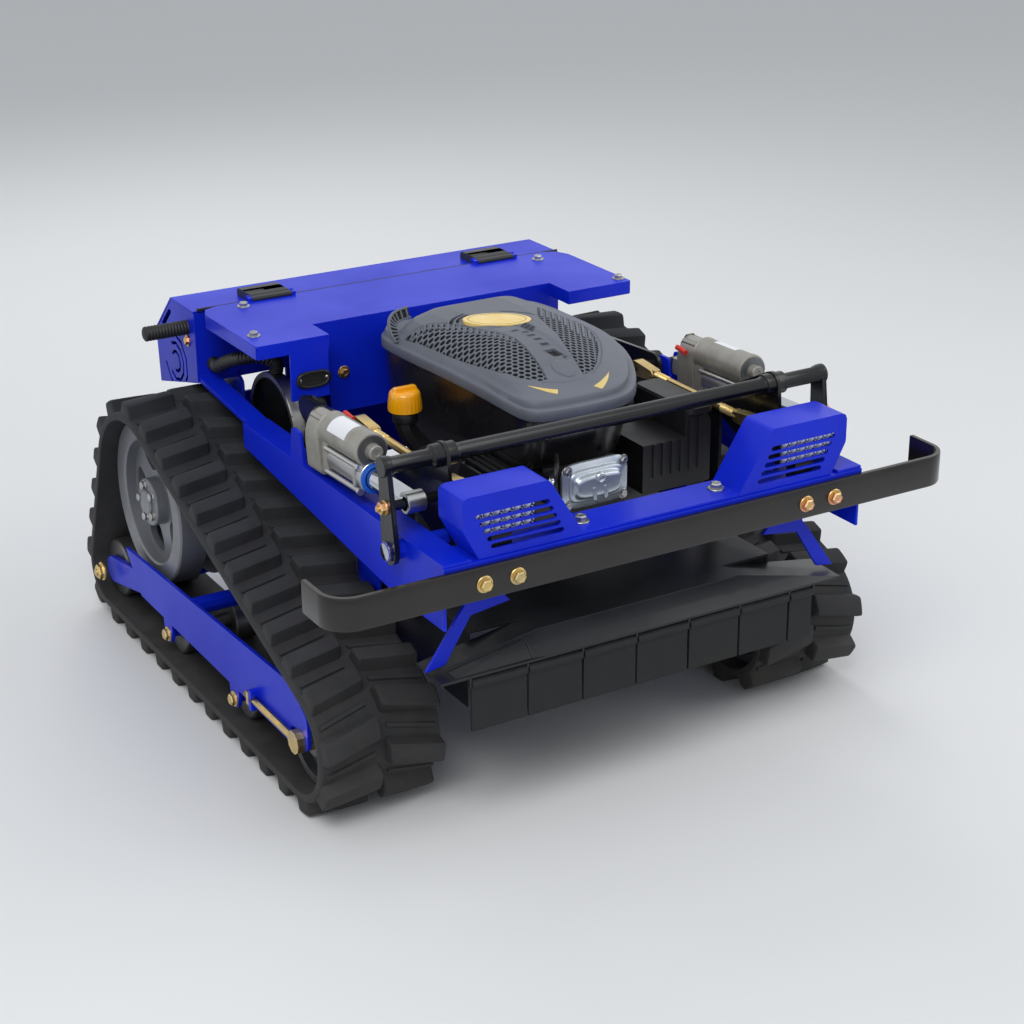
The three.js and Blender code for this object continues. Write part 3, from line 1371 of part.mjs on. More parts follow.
function deckShell() {
  const t = sheet.frame;
  const d = deck;
  const planOutline = (inset) => outline([
    [-d.half + inset, d.noseRear - (inset ? overrun : 0)],
    [d.half - inset, d.noseRear - (inset ? overrun : 0)],
    [d.half - inset, d.rear - inset, d.rearRadius - inset],
    [-d.half + inset, d.rear - inset, d.rearRadius - inset],
  ], 5);
  const pan = cut(prism('z', planOutline(0), d.low, d.top), [
    prism('z', planOutline(t), d.low - overrun, d.top - t),
    rod('z', [engineSpot.x, engineSpot.y], shaft.deckHole, d.low, d.top + overrun, facets.pin),
  ]);
  const nose = prism('y', outline([
    [-d.noseHalf, d.noseLow], [-d.ridgeHalf, d.top], [d.ridgeHalf, d.top], [d.noseHalf, d.noseLow],
    [d.noseHalf, d.noseLow - t], [d.ridgeHalf, d.top - t], [-d.ridgeHalf, d.top - t], [-d.noseHalf, d.noseLow - t],
  ]), d.noseFront, d.noseRear + fuse);
  const front = skin([noseLoop(d.noseFront + fuse, 0), noseLoop(d.slopeFront, 1)], false);
  const lugs = [1, -1].flatMap((side) => [pivot, rearPivot].flatMap((base) => {
    const [y, z] = place(base, arm);
    const bar = link('x', [y, d.top - d.hangerDrop], [y, z], d.lugHalf, d.lugHalf, side * d.lugInner, side * d.lugOuter, 8);
    const foot = block(
      [side * (d.half - t), side * d.lugOuter],
      [y - d.lugHalf, y + d.lugHalf],
      [d.top - d.hangerDrop - t, d.top - d.hangerDrop + t],
    );
    const bore = rod('x', [y, z], deckPin.radius + pinPlay, side * (d.lugInner - overrun), side * (d.lugOuter + overrun), facets.pin);
    return [cut(bar, [bore]), foot];
  }));
  return join([pan, nose, front, ...lugs, ...flapEyes()]);
}

const flap = { count: 7, left: 313, pitch: 95.5, gap: 2, rodZ: 256, y: -535, rodRadius: 4, low: 180, thickness: 5, knuckle: 7.5, play: 0.6, earThickness: 3 };
const halfFlapShare = 0.5;

// The widths of the flaps, from the right end: six full ones and a half one.
function flapSpans() {
  const spans = [];
  let start = -flap.left;
  for (let i = 0; i < flap.count; i += 1) {
    const width = i === flap.count - 1 ? flap.pitch * halfFlapShare : flap.pitch;
    spans.push([start + flap.gap, start + width - flap.gap]);
    start += width;
  }
  return spans;
}

function flapEyes() {
  const spans = flapSpans();
  const edges = [spans[0][0] - flap.gap, ...spans.map(([, to]) => to + flap.gap)];
  const ears = edges.map((x) => block(
    [x - flap.earThickness / 2, x + flap.earThickness / 2],
    [flap.y - flap.knuckle / 2, flap.y + flap.knuckle / 2],
    [flap.rodZ - flap.rodRadius - fuse, deck.slopeLow - fuse],
  ));
  const bar = rod('x', [flap.y, flap.rodZ], flap.rodRadius, edges[0], edges[edges.length - 1], 8);
  return [...ears, bar];
}

function flapSolid([from, to]) {
  const knuckle = rod('x', [flap.y, flap.rodZ], flap.knuckle, from, to, 8);
  const leaf = block([from, to], [flap.y - flap.thickness / 2, flap.y + flap.thickness / 2], [flap.low, flap.rodZ]);
  const bore = rod('x', [flap.y, flap.rodZ], flap.rodRadius + flap.play, from - overrun, to + overrun, 8);
  return cut(join([knuckle, leaf]), [bore]);
}

// Blade on the crankshaft

const blade = { length: 510, width: 56, thickness: 5, z: 180, hubRadius: 30, hubHeight: 30, liftLength: 70, lift: 14 };
const bladeTurn = Math.PI / 7;

function bladeSpindle() {
  const half = blade.length / 2;
  const t = blade.thickness;
  const profile = outline([
    [-half, blade.z + blade.lift],
    [-half + blade.liftLength, blade.z],
    [half - blade.liftLength, blade.z],
    [half, blade.z + blade.lift],
    [half, blade.z + blade.lift + t],
    [half - blade.liftLength, blade.z + t],
    [-half + blade.liftLength, blade.z + t],
    [-half, blade.z + blade.lift + t],
  ]);
  const bar = prism('y', profile, -blade.width / 2, blade.width / 2);
  const hub = rod('z', [0, 0], blade.hubRadius, blade.z - t, blade.z + blade.hubHeight, facets.hidden);
  const stem = rod('z', [0, 0], shaft.radius, blade.z, shaft.top, facets.hidden);
  const nut = rod('z', [0, 0], shaft.radius, shaft.low - t, blade.z, 6);
  return turnedInPlace(join([bar, hub, stem, nut]), bladeTurn, engineSpot);
}

function turnedInPlace(solid, angle, spot) {
  const mesh = solid.getMesh();
  const geometry = new THREE.BufferGeometry();
  geometry.setAttribute('position', new THREE.BufferAttribute(mesh.vertProperties.slice(), 3));
  geometry.setIndex([...mesh.triVerts]);
  geometry.rotateZ(angle);
  geometry.translate(spot.x, spot.y, 0);
  return solidOf(geometry);
}

// Engine

const engine = {
  flangeRadius: 118,
  flange: 12,
  sumpRadius: 104,
  sumpTop: 400,
  blockX0: -104,
  blockX1: 124,
  blockFront: -190,
  blockRear: 36,
  cylinderX: -14,
  cylinderHalf: 44,
  cylinderFront: -395,
  cylinderLow: 418,
  finHalf: 64,
  finLow: 398,
  finCount: 8,
  finStart: -384,
  finEnd: -215,
  topCorner: 20,
};
const shroudBottom = 480;

function crankcase() {
  const e = engine;
  const base = deck.top + seatGap;
  const top = shroudBottom - seatGap;
  const spot = [engineSpot.x, engineSpot.y];
  const sump = turned('z', spot, [
    [0, base],
    [e.flangeRadius, base],
    [e.flangeRadius, base + e.flange],
    [e.sumpRadius, base + 2 * e.flange],
    [e.sumpRadius, e.sumpTop],
    [0, e.sumpTop],
  ], facets.bore);
  const body = prism('z', outline([
    [e.blockX0, e.blockFront, e.topCorner],
    [e.blockX1, e.blockFront, e.topCorner],
    [e.blockX1, e.blockRear, e.topCorner],
    [e.blockX0, e.blockRear, e.topCorner],
  ]), e.sumpTop - fuse, top);
  const barrel = block(
    [e.cylinderX - e.cylinderHalf, e.cylinderX + e.cylinderHalf],
    [e.cylinderFront, e.blockFront + fuse],
    [e.cylinderLow, top],
  );
  const fins = [];
  const pitch = (e.finEnd - e.finStart) / (e.finCount - 1);
  for (let i = 0; i < e.finCount; i += 1) {
    const y = e.finStart + i * pitch;
    fins.push(prism('y', outline([
      [e.cylinderX - e.finHalf, e.finLow, e.topCorner / 2],
      [e.cylinderX + e.finHalf, e.finLow, e.topCorner / 2],
      [e.cylinderX + e.finHalf, top],
      [e.cylinderX - e.finHalf, top],
    ], 2), y, y + pitch * finShare));
  }
  const bore = rod('z', spot, shaft.radius + shaft.gap, base - overrun, shaft.top + overrun, facets.pin);
  return cut(join([sump, body, barrel, ...fins]), [bore]);
}

// A loop of points round a rectangle whose sides bulge: the power sets how square it is.
function bulged(x0, x1, y0, y1, power, count, z) {
  const points = [];
  for (let i = 0; i < count; i += 1) {
    const angle = 2 * Math.PI * (i + 1 / 2) / count;
    const [c, s] = [Math.cos(angle), Math.sin(angle)];
    const x = Math.sign(c) * Math.abs(c) ** (2 / power);
    const y = Math.sign(s) * Math.abs(s) ** (2 / power);
    points.push(new THREE.Vector3((x0 + x1) / 2 + x * (x1 - x0) / 2, (y0 + y1) / 2 + y * (y1 - y0) / 2, z));
  }
  return points;
}

const shroud = {
  levels: [
    { z: 480, left: -126, right: 172, front: -362, rear: 92 },
    { z: 566, left: -132, right: 184, front: -374, rear: 102 },
    { z: 572, left: -140, right: 192, front: -384, rear: 107 },
    { z: 588, left: -138, right: 190, front: -382, rear: 106 },
    { z: 596, left: -126, right: 178, front: -364, rear: 102 },
    { z: 618, left: -92, right: 140, front: -290, rear: 94 },
    { z: 633, left: -56, right: 96, front: -236, rear: 84 },
    { z: 640, left: -26, right: 52, front: -196, rear: 66 },
  ],
};
const shroudPower = 3.6;

function engineShroud() {
  const loops = shroud.levels.map((level) => (
    bulged(level.left, level.right, level.front, level.rear, shroudPower, 28, level.z)));
  return skin(loops, false);
}

const valve = { x0: -73, x1: 45, z0: 424, z1: 498, rear: -395.3, flange: 5, front: -415, step: 8, draft: 7, power: 5, domeDepth: 4 };

function valveCover() {
  const v = valve;
  const loop = (inset, y) => (
    bulged(v.x0 + inset, v.x1 - inset, v.z0 + inset, v.z1 - inset, v.power, 18, 0)
      .map((point) => new THREE.Vector3(point.x, y, point.y)));
  return skin([
    loop(0, v.rear),
    loop(0, v.rear - v.flange),
    loop(v.step, v.rear - v.flange),
    loop(v.step + 1, v.front + v.domeDepth),
    loop(v.step + v.draft, v.front),
  ], false);
}

const airBox = { x0: 106, x1: 235, front: -355, rear: -205, low: 398, top: 524, corner: 26, ribCount: 6, ribDepth: 3 };
const airRibShare = 0.3;

function airFilterBox() {
  const a = airBox;
  const shape = outline([
    [a.x0, a.low, a.ribDepth],
    [a.x1, a.low, a.ribDepth],
    [a.x1, a.top, a.corner],
    [a.x0, a.top, a.corner],
  ]);
  const body = prism('y', shape, a.front + a.ribDepth, a.rear);
  const pitch = (a.x1 - a.x0 - a.corner) / a.ribCount;
  const ribs = [];
  for (let i = 0; i < a.ribCount; i += 1) {
    const x = a.x0 + a.corner / 2 + (i + airRibShare) * pitch;
    ribs.push(block([x, x + airRibShare * pitch], [a.front, a.front + a.ribDepth + fuse], [a.low + a.corner, a.top - a.corner / 2]));
  }
  const underShroud = block(
    [a.x0 - overrun, shroud.levels[1].right + overrun],
    [a.front - overrun, a.rear + overrun],
    [shroudBottom - seatGap, a.top + overrun],
  );
  return cut(join([body, ...ribs]), [underShroud]);
}

const muffler = { x0: -158, x1: -78.3, front: -392, rear: -232, low: 396, top: 472, corner: 20, slotCount: 5, slotDepth: 6 };
const slotShare = 0.5;

function mufflerSolid() {
  const m = muffler;
  const shape = outline([
    [m.x0, m.low, m.corner],
    [m.x1, m.low, m.corner],
    [m.x1, m.top, m.corner / 2],
    [m.x0, m.top, m.corner],
  ]);
  const pitch = (m.x1 - m.x0 - m.corner) / m.slotCount;
  const slots = [];
  for (let i = 0; i < m.slotCount; i += 1) {
    const x = m.x0 + m.corner / 2 + (i + slotShare / 2) * pitch;
    slots.push(block([x, x + slotShare * pitch], [m.front + m.corner, m.rear - m.corner], [m.top - m.slotDepth, m.top + overrun]));
  }
  return cut(prism('y', shape, m.front, m.rear), slots);
}

const filler = { x: -168, y: -78, z: 508, radius: 17, capRadius: 28, capHeight: 40, capGap: 0.3, bendRise: 24, keyHalf: 4, keyRise: 6, flare: 2 };

function fillerTube() {
  const curve = new THREE.CatmullRomCurve3([
    new THREE.Vector3(engine.blockX0 - 2 * seatGap, filler.y, engine.sumpTop + filler.bendRise),
    new THREE.Vector3(engine.blockX0 - filler.radius, filler.y, engine.sumpTop + filler.bendRise),
    new THREE.Vector3(filler.x, filler.y, filler.z - filler.capRadius),
    new THREE.Vector3(filler.x, filler.y, filler.z),
  ]);
  const geometry = new THREE.ExtrudeGeometry(circle(0, 0, filler.radius, 8), { steps: 10, bevelEnabled: false, extrudePath: curve });
  return solidOf(geometry);
}

function fillerCap() {
  const low = filler.z + filler.capGap;
  const cap = turned('z', [filler.x, filler.y], [
    [0, low],
    [filler.capRadius - filler.flare, low],
    [filler.capRadius, low + filler.flare],
    [filler.capRadius - filler.flare, low + filler.capHeight - filler.keyRise],
    [filler.capRadius - 2 * filler.flare, low + filler.capHeight - filler.keyRise + filler.flare],
    [0, low + filler.capHeight - filler.keyRise + filler.flare],
  ], facets.pin);
  const key = block(
    [filler.x - filler.capRadius + 2 * filler.flare, filler.x + filler.capRadius - 2 * filler.flare],
    [filler.y - filler.keyHalf, filler.y + filler.keyHalf],
    [low + filler.capHeight - filler.keyRise, low + filler.capHeight],
  );
  return join([cap, key]);
}

// The machine

addPiece('main_frame', mainFrame(), finishes.blue);
addPiece('front_panel', frontPanel(), finishes.blue);
addPiece('bumper', bumperBar(), finishes.black);
addPiece('rear_box', rearBoxSolid(), finishes.blue);
addPiece('rear_box_lid', lidSolid(), finishes.blue);
addPiece('cover_plate', coverPlate(), finishes.blue);
addPiece('charge_socket', chargeSocket(), finishes.plastic);
addPiece('battery', batterySolid(), finishes.battery);
addPiece('motor_controller', controllerSolid(), finishes.cast);
addPiece('fuel_tank', fuelTank(), finishes.plastic);
addPiece('carry_grip', carryGrip(), finishes.rubber);
addPiece('motor_conduit', conduitHose(), finishes.plastic);

for (const [hand, side] of [['left', 1], ['right', -1]]) {
  addPiece(`${hand}_work_lamp`, workLamp(side), finishes.lens);
  addPiece(`${hand}_lid_hinge`, lidHinge(side), finishes.plastic);
  addPiece(`${hand}_drive_unit`, driveUnit(side), finishes.black);
  addPiece(`${hand}_track_frame`, trackFrameSolid(side), finishes.blue);
  addPiece(`${hand}_track_belt`, trackBelt(side), finishes.rubber);
  addPiece(`${hand}_drive_wheel`, driveWheelSolid(side), finishes.steel);
  addPiece(`${hand}_idler_axle`, idlerAxle(side), finishes.zinc);
  addPiece(`${hand}_front_idler`, spool(side, idlerSpot, idler, 14), finishes.steel);
  addPiece(`${hand}_rear_roller`, spool(side, rollerSpot, roller, 14), finishes.steel);
  roadSpots.forEach((spot, i) => {
    addPiece(`${hand}_road_roller_${i + 1}`, spool(side, spot, road, facets.pin), finishes.steel);
  });
  addPiece(`${hand}_rear_crank`, rearCrank(side), finishes.black);
  addPiece(`${hand}_tie_rod`, tieRodSolid(side), finishes.zinc);
  addPiece(`${hand}_actuator_body`, actuatorBody(side), finishes.cast);
  addPiece(`${hand}_actuator_rod`, actuatorRod(side), finishes.chrome);
}

addPiece('lift_frame', liftFrame(), finishes.black);
addPiece('deck_shell', deckShell(), finishes.black);
addPiece('crankcase', crankcase(), finishes.cast);
addPiece('engine_shroud', engineShroud(), finishes.shroud);
addPiece('valve_cover', valveCover(), finishes.chrome);
addPiece('air_filter_box', airFilterBox(), finishes.plastic);
addPiece('muffler', mufflerSolid(), finishes.black);
addPiece('oil_filler_tube', fillerTube(), finishes.plastic);
addPiece('oil_filler_cap', fillerCap(), finishes.orange);
addPiece('blade_spindle', bladeSpindle(), finishes.steel);
flapSpans().forEach((span, i) => addPiece(`flap_${i + 1}`, flapSolid(span), finishes.plastic));

export default mower;
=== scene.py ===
"""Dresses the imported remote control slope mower: finishes, rubber tracks, engine shroud, lamps and fittings.

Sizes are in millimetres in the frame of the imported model: the machine faces -Y, +X is its own left, +Z is up.
"""

from __future__ import annotations

import json
import logging
import math
from collections.abc import Callable
from dataclasses import dataclass, field
from enum import Enum

import bmesh
import bpy
import numpy as np
from mathutils import Matrix

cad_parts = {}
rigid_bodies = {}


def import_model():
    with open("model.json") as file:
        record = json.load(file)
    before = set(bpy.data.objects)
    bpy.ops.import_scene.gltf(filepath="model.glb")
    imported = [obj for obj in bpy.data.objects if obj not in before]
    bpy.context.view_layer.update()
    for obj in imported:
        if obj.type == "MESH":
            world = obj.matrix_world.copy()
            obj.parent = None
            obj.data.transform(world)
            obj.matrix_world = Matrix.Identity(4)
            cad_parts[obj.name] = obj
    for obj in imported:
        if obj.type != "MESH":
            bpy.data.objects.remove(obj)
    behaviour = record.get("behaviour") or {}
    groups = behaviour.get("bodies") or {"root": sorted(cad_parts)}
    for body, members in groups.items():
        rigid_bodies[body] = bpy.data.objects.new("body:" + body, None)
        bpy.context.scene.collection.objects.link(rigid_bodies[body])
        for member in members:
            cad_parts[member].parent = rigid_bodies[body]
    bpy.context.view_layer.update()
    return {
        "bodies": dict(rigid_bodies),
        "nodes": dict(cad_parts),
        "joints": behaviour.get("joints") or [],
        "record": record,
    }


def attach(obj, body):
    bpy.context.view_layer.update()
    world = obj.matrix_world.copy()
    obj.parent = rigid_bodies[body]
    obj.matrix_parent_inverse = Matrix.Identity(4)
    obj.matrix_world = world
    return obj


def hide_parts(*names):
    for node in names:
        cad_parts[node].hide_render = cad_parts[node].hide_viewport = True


LOG = logging.getLogger("mower")
MM = 0.001
DUST_COLOUR = (124, 117, 92)
Array = np.ndarray
Pair = tuple[float, float]
Point = tuple[float, float, float]


class Side(Enum):
    """The machine's own left and right."""

    LEFT = 1
    RIGHT = -1

    @property
    def hand(self) -> str:
        """The side's name as the model's nodes write it."""
        return self.name.lower()


class Axis(Enum):
    """A direction of the frame, by its column number."""

    X = 0
    Y = 1
    Z = 2

    @property
    def plane(self) -> tuple[int, int]:
        """The two other columns, in rising order."""
        first, second = (column for column in range(3) if column != self.value)
        return first, second


# Curves and outlines


def on_plane(axis: Axis, u: Array | float, v: Array | float, along: Array | float) -> Array:
    """Puts plane coordinates and a place along an axis together as points.

    Args:
        axis: The direction that the plane is square to.
        u: First coordinate in the plane.
        v: Second coordinate in the plane.
        along: Place along the axis.

    Returns:
        Points with the broadcast shape and three columns.
    """
    u, v, along = np.broadcast_arrays(u, v, along)
    points = np.empty(u.shape + (3,))
    first, second = axis.plane
    points[..., first] = u
    points[..., second] = v
    points[..., axis.value] = along
    return points


def circle(radius: float, sides: int) -> Array:
    """A closed ring of points, radius times the cosine and sine of equal angle steps."""
    angle = 2 * np.pi * np.arange(sides) / sides
    return radius * np.stack([np.cos(angle), np.sin(angle)], -1)


def rounded(corners: list[Point], steps: int = 5) -> Array:
    """A closed outline whose corners are quadratic curves tangent to both edges.

    Args:
        corners: Place and cut-back length of each corner.
        steps: Points per corner.

    Returns:
        Outline points, two columns.
    """
    places = np.array([corner[:2] for corner in corners], float)
    reach = np.array([corner[2] for corner in corners], float)[:, None]
    before = np.roll(places, 1, axis=0) - places
    after = np.roll(places, -1, axis=0) - places
    start = places + before / np.linalg.norm(before, axis=1, keepdims=True) * reach
    end = places + after / np.linalg.norm(after, axis=1, keepdims=True) * reach
    share = np.linspace(0, 1, steps)[None, :, None]
    curve = (1 - share) ** 2 * start[:, None] + 2 * share * (1 - share) * places[:, None] + share**2 * end[:, None]
    return curve.reshape(-1, 2)


def soft_box(x0: float, y0: float, x1: float, y1: float, reach: float, steps: int) -> Array:
    """A rectangle with equal rounded corners.

    Args:
        x0: First side.
        y0: Second side.
        x1: Third side.
        y1: Fourth side.
        reach: Cut-back length of each corner.
        steps: Points per corner.

    Returns:
        Outline points, two columns.
    """
    return rounded([(x0, y0, reach), (x1, y0, reach), (x1, y1, reach), (x0, y1, reach)], steps)


def bulged(x0: float, x1: float, y0: float, y1: float, power: float, count: int) -> Array:
    """A rectangle with bulging sides: |x/a|^power + |y/b|^power = 1, by equal angle steps.

    Args:
        x0: First side across.
        x1: Second side across.
        y0: First side along.
        y1: Second side along.
        power: 2 gives an ellipse, more a squarer outline.
        count: Points round.

    Returns:
        Outline points, two columns.
    """
    angle = 2 * np.pi * (np.arange(count) + 0.5) / count
    c, s = np.cos(angle), np.sin(angle)
    x = (x0 + x1) / 2 + (x1 - x0) / 2 * np.sign(c) * np.abs(c) ** (2 / power)
    y = (y0 + y1) / 2 + (y1 - y0) / 2 * np.sign(s) * np.abs(s) ** (2 / power)
    return np.stack([x, y], -1)


def closed_curve(points: Array, count: int) -> Array:
    """A closed smooth line through points: Catmull-Rom cubics, sampled evenly over all spans.

    Args:
        points: Places in order, one a row.
        count: Samples on the whole line.

    Returns:
        The samples.
    """
    t = np.arange(count) / count * len(points)
    i, f = t.astype(int), (t % 1)[:, None]
    a, b, c, d = (points[(i + shift) % len(points)] for shift in (-1, 0, 1, 2))
    return 0.5 * (2 * b + (c - a) * f + (2 * a - 5 * b + 4 * c - d) * f**2 + (3 * b - a - 3 * c + d) * f**3)


def catmull_rom(points: list[Point], count: int) -> Array:
    """An open smooth line through points: Catmull-Rom cubics, sampled evenly over all spans.

    Args:
        points: Places in order.
        count: Samples on the whole line.

    Returns:
        The samples, three columns.
    """
    ends = np.array([points[0], *points, points[-1]], float)
    t = np.linspace(0, len(points) - 1 - 1e-9, count)
    i, f = t.astype(int), (t % 1)[:, None]
    a, b, c, d = ends[i], ends[i + 1], ends[i + 2], ends[i + 3]
    return 0.5 * (2 * b + (c - a) * f + (2 * a - 5 * b + 4 * c - d) * f**2 + (3 * b - a - 3 * c + d) * f**3)


def smoothstep(value: Array) -> Array:
    """Rises from 0 to 1 as 3t^2 - 2t^3 while the value goes from 0 to 1."""
    t = np.clip(value, 0, 1)
    return t * t * (3 - 2 * t)


def edge_distance(points: Array, outline: Array) -> Array:
    """Signed distance of points from a closed outline, negative inside.

    The distance is the least one to any edge, each edge being a segment, and the sign comes from how many
    edges a line to the right of the point crosses.

    Args:
        points: Places, two columns in the last axis.
        outline: The outline's corners in order.

    Returns:
        One distance for each point.
    """
    flat = points.reshape(-1, 2)
    start, end = outline, np.roll(outline, -1, axis=0)
    run = end - start
    offset = flat[:, None] - start[None]
    share = np.clip((offset * run).sum(-1) / np.maximum((run**2).sum(-1), 1e-9), 0, 1)
    near = np.linalg.norm(offset - share[..., None] * run, axis=-1).min(1)
    above = (start[None, :, 1] > flat[:, None, 1]) != (end[None, :, 1] > flat[:, None, 1])
    rise = np.where(np.abs(run[:, 1]) < 1e-9, 1e-9, run[:, 1])
    crossing = start[:, 0] + (flat[:, None, 1] - start[None, :, 1]) / rise * run[:, 0]
    inside = (above & (flat[:, None, 0] < crossing)).sum(1) % 2 == 1
    return np.where(inside, -near, near).reshape(points.shape[:-1])


def line_distance(points: Array, line: Array) -> Array:
    """Signed distance of points from an open line, positive on the left of its direction.

    The nearest segment gives the distance, and the cross product of its run and the offset gives the sign.

    Args:
        points: Places, two columns in the last axis.
        line: The line's points in order.

    Returns:
        One distance for each point.
    """
    flat = points.reshape(-1, 2)
    run = line[1:] - line[:-1]
    offset = flat[:, None] - line[None, :-1]
    share = np.clip((offset * run).sum(-1) / (run**2).sum(-1), 0, 1)
    reach = np.linalg.norm(offset - share[..., None] * run, axis=-1)
    nearest = reach.argmin(1)
    near = offset[np.arange(len(flat)), nearest]
    side = run[nearest, 0] * near[:, 1] - run[nearest, 1] * near[:, 0]
    return (np.where(side < 0, -1, 1) * reach.min(1)).reshape(points.shape[:-1])


# Meshes


class Form:
    """A mesh in the making: point blocks and faces, in millimetres."""

    def __init__(self) -> None:
        """Starts empty."""
        self._blocks: list[Array] = []
        self._faces: list[list[int]] = []
        self._count = 0

    def _take(self, points: Array) -> int:
        """Keeps a block of points and returns the number of its first one.

        Args:
            points: Points, three columns in the last axis.

        Returns:
            The number of the first one.
        """
        flat = np.asarray(points, float).reshape(-1, 3)
        self._blocks.append(flat)
        self._count += len(flat)
        return self._count - len(flat)

    def sheet(self, grid: Array, wrap_rows: bool = False, wrap_columns: bool = False) -> Form:
        """Adds quads over a grid of points, or over each grid of a stack.

        Args:
            grid: Points as (rows, columns, 3) or (stack, rows, columns, 3).
            wrap_rows: Joins the last row to the first.
            wrap_columns: Joins the last column to the first.

        Returns:
            This form.
        """
        grid = np.asarray(grid, float)
        stack = grid if grid.ndim == 4 else grid[None]
        index = self._take(stack) + np.arange(stack[..., 0].size).reshape(stack.shape[:3])
        if wrap_rows:
            index = np.concatenate([index, index[:, :1]], 1)
        if wrap_columns:
            index = np.concatenate([index, index[:, :, :1]], 2)
        corners = [index[:, :-1, :-1], index[:, :-1, 1:], index[:, 1:, 1:], index[:, 1:, :-1]]
        self._faces.extend(np.stack(corners, -1).reshape(-1, 4).tolist())
        return self

    def lids(self, loops: Array) -> Form:
        """Adds one flat face over a loop of points, or over each loop of a stack.

        Args:
            loops: Points as (points, 3) or (stack, points, 3).

        Returns:
            This form.
        """
        loops = np.asarray(loops, float)
        stack = loops if loops.ndim == 3 else loops[None]
        index = self._take(stack) + np.arange(stack[..., 0].size).reshape(stack.shape[:2])
        self._faces.extend(index.tolist())
        return self

    def tower(self, loops: Array) -> Form:
        """Adds a closed body from loops of equal length stacked along the first axis."""
        self.sheet(loops, wrap_columns=True)
        return self.lids(loops[0]).lids(loops[-1])

    def prism(self, axis: Axis, outline: Array, start: float, end: float) -> Form:
        """Adds an outline drawn out along an axis: the outline's plane place, and along from start to end."""
        along = np.array([start, end], float)[:, None]
        return self.tower(on_plane(axis, outline[None, :, 0], outline[None, :, 1], along))

    def block(self, x: Pair, y: Pair, z: Pair) -> Form:
        """Adds a right-angled body between two places on each axis."""
        return self.prism(Axis.Z, np.array([(x[0], y[0]), (x[1], y[0]), (x[1], y[1]), (x[0], y[1])]), *z)

    def lathe(self, axis: Axis, centre: Pair, profile: list[Pair], sides: int = 48) -> Form:
        """Adds a turned body: each profile point (radius, along) goes round the axis as a circle.

        Args:
            axis: The turning axis.
            centre: The axis' place in its plane.
            profile: Radius and place along the axis, from one end to the other.
            sides: Points round.

        Returns:
            This form.
        """
        sizes = np.array(profile, float)
        ring = circle(1, sides)
        u = centre[0] + sizes[:, :1] * ring[None, :, 0]
        v = centre[1] + sizes[:, :1] * ring[None, :, 1]
        closed = np.allclose(sizes[0], sizes[-1])
        grid = on_plane(axis, u, v, sizes[:, 1:])
        self.sheet(grid[:-1] if closed else grid, wrap_rows=closed, wrap_columns=True)
        if not closed:
            for row in (0, -1):
                if sizes[row, 0] > 0:
                    self.lids(grid[row])
        return self

    def tube(
        self, path: Array, radius: Array | list[float] | float, sides: int = 16, reference: Point = (1, 0, 0)
    ) -> Form:
        """Adds a round section carried along a path.

        Each ring stands square to the path: centre + radius (cos a * side + sin a * up), where side is the
        path's direction crossed with the reference and up is the two crossed.

        Args:
            path: Centre points, (n, 3).
            radius: One radius, or one for each point.
            sides: Points round.
            reference: A direction that the path never takes.

        Returns:
            This form.
        """
        path = np.asarray(path, float)
        ahead = np.gradient(path, axis=0)
        ahead /= np.linalg.norm(ahead, axis=1, keepdims=True)
        side = np.cross(ahead, np.array(reference, float))
        side /= np.linalg.norm(side, axis=1, keepdims=True)
        up = np.cross(side, ahead)
        ring = circle(1, sides)
        size = np.broadcast_to(np.asarray(radius, float), (len(path),))[:, None, None]
        loops = path[:, None] + size * (ring[None, :, :1] * side[:, None] + ring[None, :, 1:] * up[:, None])
        return self.tower(loops)

    def moved(self, turn: Array, shift: Array) -> Form:
        """Turns every point by a 3 by 3 matrix, then shifts it."""
        self._blocks = [points @ turn.T + shift for points in self._blocks]
        return self

    def joined(self, other: Form) -> Form:
        """Adds another form's points and faces to this one.

        Args:
            other: The form to add.

        Returns:
            This form.
        """
        start = self._count
        self._blocks.extend(other._blocks)
        self._faces.extend([[start + corner for corner in face] for face in other._faces])
        self._count += other._count
        return self

    def mesh(self, name: str) -> bpy.types.Mesh:
        """Writes the form as a mesh in metres, with doubles merged and faces pointing outwards.

        Args:
            name: The mesh's name.

        Returns:
            The mesh.
        """
        mesh = bpy.data.meshes.new(name)
        mesh.from_pydata(np.concatenate(self._blocks) * MM, [], self._faces)
        draft = bmesh.new()
        draft.from_mesh(mesh)
        bmesh.ops.remove_doubles(draft, verts=draft.verts, dist=2e-6)
        bmesh.ops.dissolve_degenerate(draft, edges=draft.edges, dist=1e-7)
        bmesh.ops.recalc_face_normals(draft, faces=draft.faces)
        draft.to_mesh(mesh)
        draft.free()
        return mesh


# Finishes


def linear(level: float) -> float:
    """An 8-bit sRGB level as linear light: ((c + 0.055) / 1.055)^2.4 over the toe, c / 12.92 in it."""
    share = level / 255
    return share / 12.92 if share <= 0.04045 else ((share + 0.055) / 1.055) ** 2.4


def rgba(colour: tuple[int, int, int]) -> tuple[float, float, float, float]:
    """A painter's 8-bit colour as linear red, green, blue and full alpha."""
    red, green, blue = (linear(level) for level in colour)
    return red, green, blue, 1.0


def wire(tree: bpy.types.NodeTree, *joins: tuple[bpy.types.Node, str | int, bpy.types.Node, str | int]) -> None:
    """Links sockets of a node tree: each join is a node, its output, the next node and its input."""
    for source, leaving, target, entering in joins:
        tree.links.new(source.outputs[leaving], target.inputs[entering])


